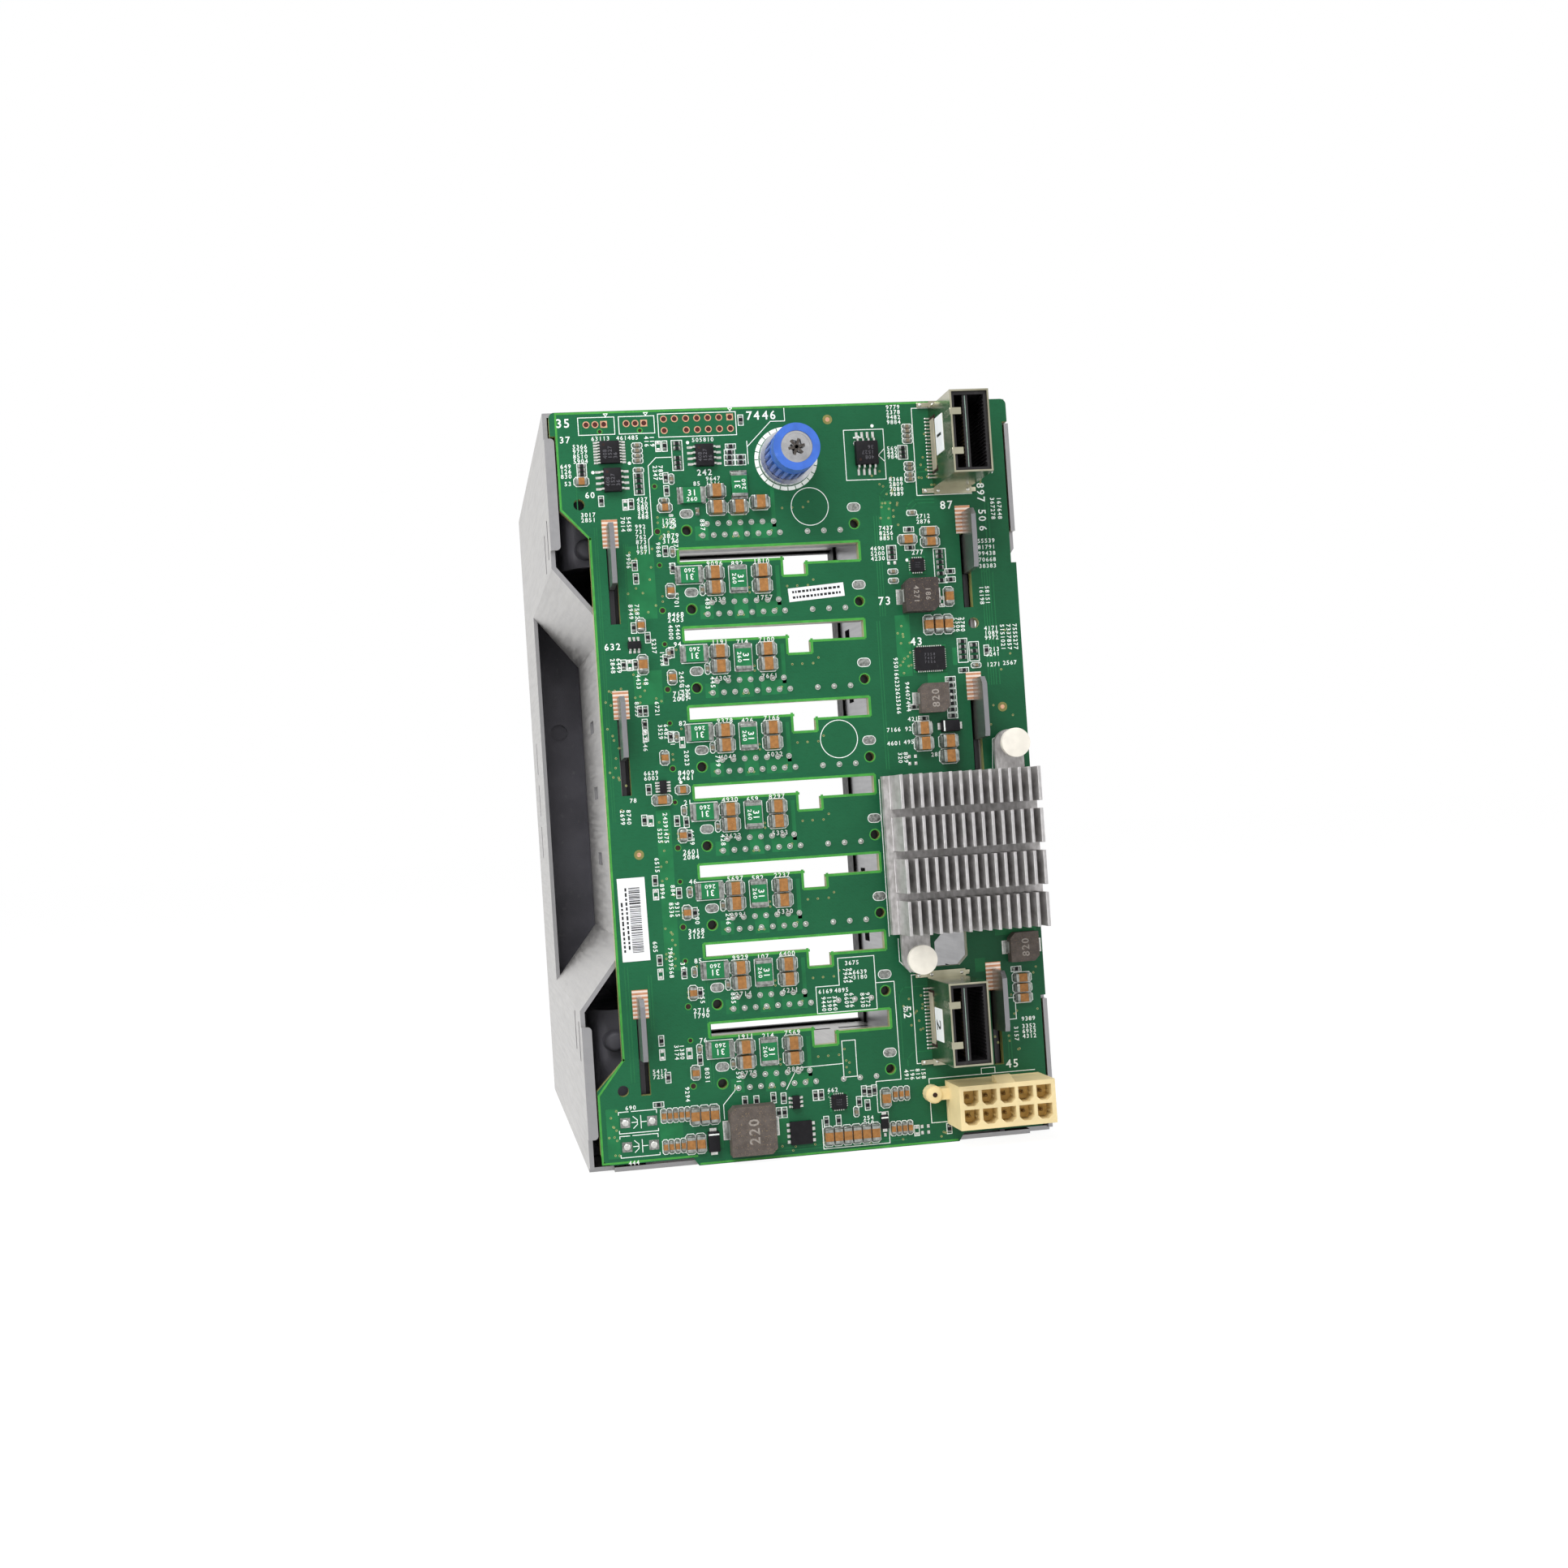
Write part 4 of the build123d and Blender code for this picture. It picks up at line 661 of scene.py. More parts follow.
COIL_PRINT = Finish("CoilPrint", "938C85", 0.6, drift=0.2, drift_size=0.5, grain=0.004)
CAPACITOR = CutCeramic(
    "CapacitorTan", "9B6C3D", 0.42, drift=0.16, drift_size=0.8, grain=0.02, shine=0.2,
)
MICRO_BODY = CutCeramic(
    "CapacitorGrey", "7B715E", 0.42, drift=0.16, drift_size=0.8, grain=0.02, shine=0.2,
)
FUSE = Moulded("FuseGreen", "147241", 0.45, grain=0.02, scuff="BBD8C4")
PAPER = Finish("LabelPaper", "E9EAEC", 0.62, drift=0.03, grain=0.008)
PRINT = Finish("LabelPrint", "1E1E20", 0.55, drift=0.2, drift_size=0.5, grain=0.004)
PAD_COPPER = HookPad("PadCopper", "D8B49A", 0.34, metallic=0.75, grain=0.03, grain_size=0.3)

NODE_FINISHES = {
    node: finish
    for finish, nodes in (
        (MASK, "circuit_board"),
        (PAD_COPPER, "hook_pads"),
        (STEEL, "cage_shell drive_space_top drive_space_bottom"),
        (GUIDE_STEEL, "guide_wall_left guide_wall_right"),
        (LINER, "side_liner_left side_liner_right"),
        (TRIM, "front_trim"),
        (FERRULE, "screw_ferrule"),
        (KNOB, "thumbscrew_knob"),
        (SCREW_STEEL, "thumbscrew_shaft tab_nut"),
        (CHIP, "expander_chip control_chips flat_chips diodes"),
        (PAD_GREY, "thermal_pad"),
        (SINK, "heat_sink"),
        (PIN_NYLON, "heat_sink_pins"),
        (COVER, "cable_connector_out_shell cable_connector_in_shell"),
        (POWER, "power_header"),
        (BRASS, "power_header_pins"),
        (COIL, "inductor_supply inductor_pair"),
        (COIL_DARK, "inductor_upper"),
        (CAPACITOR, "bay_capacitors supply_capacitors signal_capacitors tiny_capacitors"),
        (FUSE, "bay_polyfuses"),
        (PAPER, "labels"),
    )
    for node in nodes.split()
}


def dress_frame() -> None:
    """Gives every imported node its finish, the black of the connectors where none is named."""
    for name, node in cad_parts.items():
        finish = NODE_FINISHES.get(name, JACK_BLACK)
        if not node.data.materials:
            node.data.materials.append(finish.material())
        for slot in node.material_slots:
            slot.material = finish.material()
        LOG.info("%s dressed in %s", name, finish.name)


def cut_edges(
    piece: bmesh.types.BMesh, edges: list[bmesh.types.BMEdge], width: float, segments: int,
) -> None:
    """Bevels some of a mesh's edges.

    Args:
        piece: the mesh.
        edges: which edges are cut.
        width: the cut's width.
        segments: how many faces the cut has.
    """
    bmesh.ops.bevel(
        piece, geom=edges, offset=width, offset_type="OFFSET", segments=segments,
        profile=0.5, affect="EDGES", material=-1,
    )


class Mould:
    """A mesh under construction, in the drawing's millimetres (u, -v, h)."""

    def __init__(self) -> None:
        """Starts an empty mesh."""
        self.mesh = bmesh.new()

    def block(
        self,
        centre: Sequence[float],
        size: Sequence[float],
        slot: int = 0,
        bevel: float = 0.0,
        segments: int = 1,
        taper: Sequence[float] = (1.0, 1.0),
        turn: float = 0.0,
    ) -> None:
        """Adds a box.

        Args:
            centre: its middle.
            size: its three sides.
            slot: its material slot.
            bevel: width of the cut along its edges.
            segments: how many faces that cut has.
            taper: size of its upper face as a share of the lower one's.
            turn: how far it is turned to the left, in degrees.
        """
        piece = bmesh.new()
        verts = bmesh.ops.create_cube(piece, size=1.0)["verts"]
        for vert in verts:
            if vert.co.z > 0:
                vert.co.x *= taper[0]
                vert.co.y *= taper[1]
        bmesh.ops.scale(piece, vec=size, verts=verts)
        if bevel:
            cut_edges(piece, piece.edges[:], bevel, segments)
        piece.transform(Matrix.Translation(centre) @ Matrix.Rotation(math.radians(turn), 4, "Z"))
        self.take(piece, slot)

    def rod(
        self,
        centre: Sequence[float],
        radius: float,
        low: float,
        high: float,
        slot: int = 0,
        sides: int = 16,
        upper: float | None = None,
        bevel: float = 0.0,
    ) -> None:
        """Adds an upright round rod or cone.

        Args:
            centre: u and -v of its axis.
            radius: its radius.
            low: height of its foot.
            high: height of its head.
            slot: its material slot.
            sides: how many sides it has.
            upper: radius of its head, if another.
            bevel: width of the cut round its head.
        """
        piece = bmesh.new()
        bmesh.ops.create_cone(
            piece, cap_ends=True, segments=sides, radius1=radius,
            radius2=radius if upper is None else upper, depth=high - low,
        )
        if bevel:
            rim = [edge for edge in piece.edges if min(vert.co.z for vert in edge.verts) > 0]
            cut_edges(piece, rim, bevel, 2)
        bmesh.ops.translate(piece, vec=(*centre[:2], (low + high) / 2), verts=piece.verts[:])
        self.take(piece, slot)

    def ring(
        self,
        centre: Sequence[float],
        inner: float,
        outer: float,
        low: float,
        high: float,
        slot: int = 0,
        sides: int = 24,
    ) -> None:
        """Adds a flat ring by spinning its section.

        Args:
            centre: u and -v of its axis.
            inner: inner radius.
            outer: outer radius.
            low: height of its underside.
            high: height of its top.
            slot: its material slot.
            sides: how many steps the spin takes.
        """
        piece = bmesh.new()
        corners = [(inner, low), (outer, low), (outer, high), (inner, high)]
        verts = [piece.verts.new((radius, 0, height)) for radius, height in corners]
        edges = [piece.edges.new((verts[at - 1], verts[at])) for at in range(4)]
        bmesh.ops.spin(
            piece, geom=verts + edges, cent=(0, 0, 0), axis=(0, 0, 1),
            angle=2 * math.pi, steps=sides, use_merge=True, use_duplicate=False,
        )
        bmesh.ops.translate(piece, vec=(*centre[:2], 0), verts=piece.verts[:])
        self.take(piece, slot)

    def dome(
        self, centre: Sequence[float], radius: float, height: float, slot: int = 0,
    ) -> None:
        """Adds a low round bead, its lower half sunk in what carries it.

        Args:
            centre: its middle.
            radius: its radius.
            height: its height over the middle.
            slot: its material slot.
        """
        piece = bmesh.new()
        bmesh.ops.create_uvsphere(piece, u_segments=12, v_segments=8, radius=1.0)
        bmesh.ops.scale(piece, vec=(radius, radius, height), verts=piece.verts[:])
        bmesh.ops.translate(piece, vec=centre, verts=piece.verts[:])
        self.take(piece, slot)

    def prism(
        self, corners: Iterable[Sequence[float]], way: Sequence[float], slot: int = 0,
    ) -> None:
        """Adds a flat face pushed along one way into a solid.

        Args:
            corners: the face's corners.
            way: how far and which way it is pushed.
            slot: its material slot.
        """
        piece = bmesh.new()
        face = piece.faces.new([piece.verts.new(corner) for corner in corners])
        raised = bmesh.ops.extrude_face_region(piece, geom=[face])["geom"]
        pushed = [item for item in raised if isinstance(item, bmesh.types.BMVert)]
        bmesh.ops.translate(piece, vec=way, verts=pushed)
        self.take(piece, slot)

    def slab(self, corners: Spots, low: float, high: float, slot: int = 0) -> None:
        """Adds a flat plate with the given corners in u and -v."""
        self.prism([(u, up, low) for u, up in corners], (0, 0, high - low), slot)

    def profile(self, section: Spots, start: float, end: float, slot: int = 0) -> None:
        """Adds a bar along the board's height, from one -v to another, its section in u and h."""
        self.prism([(u, start, h) for u, h in section], (0, end - start, 0), slot)

    def strip(
        self, start: Sequence[float], end: Sequence[float], width: float, top: float,
        extra: float = 0.0,
    ) -> None:
        """Adds a low strip between two board points, its foot just under the face.

        Args:
            start: u and v of one end.
            end: u and v of the other end.
            width: its width.
            top: its height over the face.
            extra: length added over both ends together.
        """
        run, drop = end[0] - start[0], end[1] - start[1]
        self.block(
            ((start[0] + end[0]) / 2, -(start[1] + end[1]) / 2, (top - STRIP_FOOT) / 2),
            (math.hypot(run, drop) + extra, width, top + STRIP_FOOT),
            turn=math.degrees(math.atan2(-drop, run)),
        )

    def take(self, piece: bmesh.types.BMesh, slot: int) -> None:
        """Adds another mesh to this one, in one slot and facing outwards, and frees it.

        Args:
            piece: the mesh.
            slot: its material slot.
        """
        for face in piece.faces:
            face.material_index = slot
        bmesh.ops.recalc_face_normals(piece, faces=piece.faces[:])
        held = bpy.data.meshes.new("held")
        piece.to_mesh(held)
        piece.free()
        self.mesh.from_mesh(held)
        bpy.data.meshes.remove(held)

    def pattern(self) -> bpy.types.Mesh:
        """Returns the finished pattern, to be stamped."""
        held = bpy.data.meshes.new("pattern")
        self.mesh.to_mesh(held)
        self.mesh.free()
        return held

    def stamp(
        self,
        pattern: bpy.types.Mesh,
        u: float,
        v: float,
        turn: float = 0.0,
        size: Sequence[float] = (1.0, 1.0, 1.0),
        lift: float = 0.0,
    ) -> None:
        """Copies a pattern onto the board.

        Args:
            pattern: the mesh to copy.
            u: its place from the left.
            v: its place down from the top edge.
            turn: how far it is turned to the left, in degrees.
            size: how far it is stretched along each side.
            lift: its height over the board's face.
        """
        seat = Matrix.Translation((u, -v, lift)) @ Matrix.Rotation(math.radians(turn), 4, "Z")
        copy = pattern.copy()
        copy.transform(seat @ Matrix.Diagonal((*size, 1.0)))
        self.mesh.from_mesh(copy)
        bpy.data.meshes.remove(copy)

    def lay(self, pattern: bpy.types.Mesh, spots: Spots, turn: float = 0.0) -> None:
        """Stamps a pattern at several board places."""
        for u, v in spots:
            self.stamp(pattern, u, v, turn)

    def finish(
        self,
        name: str,
        finishes: Sequence[Finish],
        body: str = CAGE,
        slot: str | None = None,
        replaces: Sequence[str] = (),
        crease: float = 32.0,
    ) -> None:
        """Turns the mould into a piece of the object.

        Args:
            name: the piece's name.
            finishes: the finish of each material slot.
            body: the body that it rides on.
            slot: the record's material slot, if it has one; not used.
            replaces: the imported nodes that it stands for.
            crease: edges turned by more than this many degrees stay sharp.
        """
        self.mesh.transform(DRAWING.axes())
        data = bpy.data.meshes.new(name)
        self.mesh.to_mesh(data)
        self.mesh.free()
        data.shade_smooth()
        data.set_sharp_from_angle(angle=math.radians(crease))
        for finish in finishes:
            data.materials.append(finish.material())
        piece = bpy.data.objects.new(name, data)
        bpy.context.scene.collection.objects.link(piece)
        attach(piece, body)
        if replaces:
            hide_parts(*replaces)
        LOG.info("%s: %d faces", name, len(data.polygons))


@dataclass
class Studio:
    """Camera, lamps, world and floor.

    Attributes:
        eye: the camera's place, in metres.
        ahead: the way it looks.
        up: its upright.
        lens: focal length for a 36 mm sensor.
        ambient: strength of the world's light on the object.
        aim: the place that the lamps look at, in metres.
        floor_reach: half the floor's side, in metres.
        floor_tone: how pale its paper is.
        floor_glow: strength of its own light.
        floor_share: how much of it that light covers.
    """

    eye: tuple[float, float, float] = (-0.0793, -0.5274, 0.0763)
    ahead: tuple[float, float, float] = (0.1649, 0.9862, 0.0169)
    up: tuple[float, float, float] = (0.062, -0.0275, 0.9977)
    lens: float = 46.06
    ambient: float = 0.5
    aim: tuple[float, float, float] = (0.0, -0.08, 0.085)
    floor_reach: float = 6.0
    floor_tone: float = 0.9
    floor_glow: float = 1.08
    floor_share: float = 0.87

    def build(self) -> None:
        """Makes the whole studio."""
        self.camera()
        self.lamps()
        self.world()
        self.floor()

    def camera(self) -> None:
        """Sets the camera as the photograph was taken."""
        data = bpy.data.cameras.new("Camera")
        data.lens = self.lens
        data.sensor_width = 36.0
        data.clip_start = 0.01
        data.clip_end = 20.0
        camera = bpy.data.objects.new("Camera", data)
        ahead = Vector(self.ahead).normalized()
        right = ahead.cross(Vector(self.up)).normalized()
        up = right.cross(ahead)
        turn = Matrix((right, up, -ahead)).transposed().to_4x4()
        camera.matrix_world = Matrix.Translation(self.eye) @ turn
        bpy.context.scene.collection.objects.link(camera)
        bpy.context.scene.camera = camera

    def lamp(self, name: str, place: Sequence[float], side: float, power: float) -> None:
        """Hangs a square soft light that looks at the board's middle.

        Args:
            name: its name.
            place: where it hangs, in metres.
            side: its width, in metres.
            power: its power, in watts.
        """
        data = bpy.data.lights.new(name, "AREA")
        data.shape = "SQUARE"
        data.size = side
        data.energy = power
        lamp = bpy.data.objects.new(name, data)
        lamp.location = place
        way = Vector(self.aim) - Vector(place)
        lamp.rotation_mode = "QUATERNION"
        lamp.rotation_quaternion = way.to_track_quat("-Z", "Y")
        bpy.context.scene.collection.objects.link(lamp)

    def lamps(self) -> None:
        """Hangs a key light above and two weak fills."""
        self.lamp("KeyLight", (-0.28, -0.62, 0.78), 0.5, 6.2)
        self.lamp("LeftFill", (-0.85, -0.35, 0.2), 0.6, 3.6)
        self.lamp("RightFill", (0.8, -0.6, 0.25), 0.6, 1.4)

    @staticmethod
    def seen_plainly(graph: Graph) -> Channel:
        """Returns 1 on camera, mirror and glass rays, and 0 on rays that light the object.

        Args:
            graph: the graph that asks.

        Returns:
            The channel.
        """
        seen, mirrored, refracted = (
            graph.node("ShaderNodeLightPath", output=f"Is {ray} Ray")
            for ray in ("Camera", "Glossy", "Transmission")
        )
        return seen.most(mirrored).most(refracted)

    def world(self) -> None:
        """Makes a white surround whose light on the object is softer."""
        world = bpy.data.worlds.new("Studio")
        bpy.context.scene.world = world
        graph = Graph(world)
        soft, white = (
            graph.node("ShaderNodeBackground", sockets={"Color": (1, 1, 1, 1), "Strength": strength})
            for strength in (self.ambient, 1.0)
        )
        graph.end(graph.blend(self.seen_plainly(graph), soft, white), "World")

    def floor(self) -> None:
        """Lays a pale floor that keeps a faint shadow."""
        data = bpy.data.meshes.new("Floor")
        plate = bmesh.new()
        bmesh.ops.create_grid(plate, x_segments=1, y_segments=1, size=self.floor_reach)
        plate.to_mesh(data)
        plate.free()
        floor = bpy.data.objects.new("Floor", data)
        bpy.context.scene.collection.objects.link(floor)
        graph = Graph(bpy.data.materials.new("FloorPaper"))
        tone = (self.floor_tone, self.floor_tone, self.floor_tone, 1)
        paper = graph.node("ShaderNodeBsdfDiffuse", sockets={"Color": tone})
        glow = graph.node("ShaderNodeEmission", sockets={"Strength": self.floor_glow})
        share = self.seen_plainly(graph) * self.floor_share
        data.materials.append(graph.end(graph.blend(share, paper, glow)))


class Figures:
    """The ten figures of the board's plain numbering, cut from the built in font."""

    height = 1.1
    weight = 0.02
    cap_share = 0.72
    slot = 3

    def __init__(self) -> None:
        """Starts with no figure cut."""
        self.made: dict[int, bpy.types.Mesh] = {}

    def figure(self, value: int) -> bpy.types.Mesh:
        """Returns one figure as a thin closed plate, cut at its first use.

        Args:
            value: which figure, from 0 to 9.

        Returns:
            Its mesh.
        """
        if value not in self.made:
            text = bpy.data.curves.new("figure", "FONT")
            text.body = str(value)
            text.size = self.height / self.cap_share
            text.offset = self.weight
            text.extrude = 0.012
            text.resolution_u = 2
            holder = bpy.data.objects.new("figure", text)
            bpy.context.scene.collection.objects.link(holder)
            bpy.context.view_layer.update()
            seen = holder.evaluated_get(bpy.context.evaluated_depsgraph_get())
            mesh = bpy.data.meshes.new_from_object(seen)
            mesh.materials.clear()
            bpy.data.objects.remove(holder)
            cut = bmesh.new()
            cut.from_mesh(mesh)
            bmesh.ops.remove_doubles(cut, verts=cut.verts[:], dist=1e-5)
            bmesh.ops.recalc_face_normals(cut, faces=cut.faces[:])
            for face in cut.faces:
                face.material_index = self.slot
            cut.to_mesh(mesh)
            cut.free()
            self.made[value] = mesh
        return self.made[value]


FIGURES = Figures()


@dataclass(frozen=True)
class EndedChip:
    """One kind of chip part with a tinned end at each side.

    Attributes:
        length: over its ends.
        width: across.
        height: over the board.
        end: length of each tinned end.
        spill: how far the solder runs out.
        border: length, width and corner cut of the frame printed round it.
    """

    length: float
    width: float
    height: float
    end: float
    spill: float
    border: tuple[float, float, float]

    def pattern(self) -> bpy.types.Mesh:
        """Returns body, ends and solder in slots 0, 1 and 2."""
        mould = Mould()
        middle = self.height / 2
        core = self.length - 2 * self.spill
        waist = core - 2 * self.end + 0.1
        mould.block((0, 0, middle), (waist, self.width - 0.08, self.height - 0.07), 0, bevel=0.04)
        rounding = min(0.2, self.end / 2.6)
        for side in (-1, 1):
            mould.block(
                (side * (core - self.end) / 2, 0, middle + 0.01),
                (self.end, self.width, self.height), 1, bevel=rounding, segments=2,
            )
            mould.block(
                (side * (self.length - self.spill - 0.2) / 2, 0, 0.26 * self.height),
                (self.spill + 0.2, self.width - 0.1, 0.52 * self.height), 2,
                bevel=0.04, taper=(0.35, 0.84),
            )
            mould.block(
                (side * (self.length - self.end - self.spill) / 2, 0, 0.02),
                (self.end + self.spill + 0.06, self.width + 0.12, 0.06), 2, bevel=0.02,
            )
        return mould.pattern()


BAY_CAP = EndedChip(4.1, 2.9, 2.4, 0.78, 0.34, (4.62, 3.4, 0.7))
MEDIUM_CAP = EndedChip(4.0, 1.9, 1.5, 0.74, 0.32, (4.55, 2.42, 0.55))
SMALL_CAP = EndedChip(2.8, 1.6, 1.2, 0.52, 0.26, (3.35, 2.1, 0.5))
TINY_CAP = EndedChip(2.7, 1.0, 0.9, 0.5, 0.26, (3.25, 1.34, 0.35))
MICRO_CAP = EndedChip(1.7, 0.8, 0.7, 0.34, 0.16, (2.35, 1.2, 0.3))
RESISTOR = EndedChip(1.7, 0.8, 0.45, 0.26, 0.2, (2.35, 1.15, 0.0))


class Lie(Enum):
    """Which way a part lies on the board, as its turn in degrees."""

    LEVEL = 0.0
    UPRIGHT = 90.0


ChipRow = tuple[EndedChip, Lie, Spots]


@dataclass
class ChipField:
    """A group of chip parts laid on the board.

    Attributes:
        name: the piece's name.
        body: the finish of the parts' bodies.
        rows: kind, lie and places of the parts.
        node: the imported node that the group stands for, if there is one.
        slot: the record's material slot, if it has one.
    """

    name: str
    body: Finish
    rows: Sequence[ChipRow]
    node: str | None = None
    slot: str | None = None

    def build(self) -> None:
        """Lays the group as one piece."""
        mould = Mould()
        for kind, lie, spots in self.rows:
            mould.lay(kind.pattern(), spots, lie.value)
        replaces = (self.node,) if self.node else ()
        mould.finish(self.name, (self.body, TERMINATION, SOLDER), slot=self.slot, replaces=replaces)


@dataclass
class Capacitors:
    """Every ceramic capacitor on the board, by size.

    Attributes:
        bay_offsets: places in each bay but the top one, from that bay's holes.
        medium_rows: first u, height over the board's foot, pitch and count.
        tiny_rows: the same for the tiny ones.
    """

    bay_offsets: Spots = ((34.27, -7.9), (34.27, -4.55), (45.12, -7.9), (45.12, -4.55))
    top_bay: Spots = ((35.85, 18.95), (35.85, 22.7), (40.8, 22.75), (45.75, 21.85))
    big: Spots = (
        (80, 75.1), (80.1, 78.6), (85.9, 78.4), (85.8, 81.8),
    )
    medium_level: Spots = (
        (19.2, 87.7), (79.4, 31.7), (84.7, 30.1), (84.7, 32.45), (99.4, 133.6), (99.4, 135.9),
        (99.4, 138.2),
    )
    medium_upright: Spots = (
        (83, 51.5), (85.3, 51.5), (87.6, 51.5), (88.2, 45.2), (16.9, 57.2),
    )
    small_upright: Spots = (
        (24.2, 40.95), (23.3, 60.4), (17, 48.4), (20.4, 78.3), (23.4, 95.9), (23.2, 113.2),
        (23.4, 131.2), (22.8, 149),
    )
    small_level: Spots = (
        (5.8, 15.65), (24.1, 22.2), (24, 85.7),
    )
    medium_rows: Rows = (
        (22.05, 11.1, 2.17, 3), (20.75, 4.9, 2.2, 2), (52, 3.8, 2.15, 6), (65.7, 11.3, 2.15, 1),
    )
    tiny_rows: Rows = (
        (15.05, 11.7, 1.33, 5), (15.05, 4.8, 1.33, 4), (67.9, 12, 1.36, 3), (67, 4.2, 1.3, 4),
    )

    @staticmethod
    def foot_rows(rows: Rows) -> list[tuple[float, float]]:
        """Returns places for rows of first u, height over the foot, pitch and count.

        Args:
            rows: the rows.

        Returns:
            The places, in u and v.
        """
        return [
            (first + pitch * at, BOARD_HEIGHT - rise)
            for first, rise, pitch, count in rows for at in range(count)
        ]

    def bay_spots(self) -> list[tuple[float, float]]:
        """Returns the places of the large ones in the bays."""
        return [*self.top_bay] + [
            (u, bay_v(bay) + below) for bay in range(1, BAY_COUNT) for u, below in self.bay_offsets
        ]

    def groups(self) -> dict[str, Sequence[ChipRow]]:
        """Returns the rows of each packed group, by the first word of its name."""
        return {
            "bay": ((BAY_CAP, Lie.LEVEL, self.bay_spots()),),
            "supply": (
                (BAY_CAP, Lie.LEVEL, self.big),
                (MEDIUM_CAP, Lie.LEVEL, self.medium_level),
                (MEDIUM_CAP, Lie.UPRIGHT, (*self.medium_upright, *self.foot_rows(self.medium_rows))),
            ),
            "signal": (
                (SMALL_CAP, Lie.LEVEL, self.small_level),
                (SMALL_CAP, Lie.UPRIGHT, self.small_upright),
            ),
            "tiny": ((TINY_CAP, Lie.UPRIGHT, self.foot_rows(self.tiny_rows)),),
        }

    def build(self) -> None:
        """Lays the four packed groups again with their ends and solder."""
        for size, rows in self.groups().items():
            name = f"{size.title()}Capacitors"
            ChipField(name, CAPACITOR, rows, f"{size}_capacitors", "capacitor_tan").build()


@dataclass
class Polyfuses:
    """Resettable fuses beside the bays' capacitors, with a plain printed number.

    Attributes:
        flat: place of the flat one in a bay, from that bay's holes.
        upright: place of the upright one in a bay, from that bay's holes.
    """

    length: float = 5.4
    width: float = 3.6
    height: float = 0.9
    end: float = 0.72
    flat: tuple[float, float] = (28.62, -7.7)
    upright: tuple[float, float] = (39.67, -6.35)
    top_flat: tuple[float, float] = (30.3, 19.65)
    top_upright: tuple[float, float] = (41.3, 17.65)

    def pattern(self) -> bpy.types.Mesh:
        """Returns one fuse: body, ends, solder and print in slots 0 to 3."""
        mould = Mould()
        waist = self.length - 2 * self.end
        mould.block((0, 0, self.height / 2), (waist + 0.1, self.width, self.height - 0.1), bevel=0.04)
        for side in (-1, 1):
            middle = side * (self.length - self.end) / 2
            mould.block(
                (middle, 0, self.height / 2), (self.end, self.width, self.height), 1,
                bevel=0.09, segments=2,
            )
            for across in (-1.15, 0.0, 1.15):
                mould.block(
                    (side * (self.length / 2 - 0.12), across, self.height * 0.45),
                    (0.5, 0.7, self.height), 2, bevel=0.08, taper=(0.5, 0.8),
                )
            fillet = (side * (self.length / 2 + 0.1), 0, 0.03)
            mould.block(fillet, (0.9, self.width + 0.2, 0.07), 2, bevel=0.02)
        top = self.height - 0.05
        for value, at in ((3, -0.95), (1, 0.15)):
            mould.stamp(FIGURES.figure(value), at, 0.15, size=(1.25, 1.25, 1.0), lift=top)
        for value, at in ((2, -1.25), (6, -0.4), (0, 0.45)):
            mould.stamp(FIGURES.figure(value), at, 1.4, size=(0.95, 0.85, 1.0), lift=top)
        return mould.pattern()

    def build(self) -> None:
        """Lays all the fuses as one piece."""
        pattern = self.pattern()
        mould = Mould()
        mould.stamp(pattern, *self.top_flat)
        mould.stamp(pattern, *self.top_upright, Lie.UPRIGHT.value)
        for bay in range(1, BAY_COUNT):
            mould.stamp(pattern, self.flat[0], bay_v(bay) + self.flat[1], 180)
            mould.stamp(pattern, self.upright[0], bay_v(bay) + self.upright[1], -90)
        finishes = (FUSE, TERMINATION, SOLDER, INK)
        mould.finish("Polyfuses", finishes, slot="fuse_green", replaces=("bay_polyfuses",))


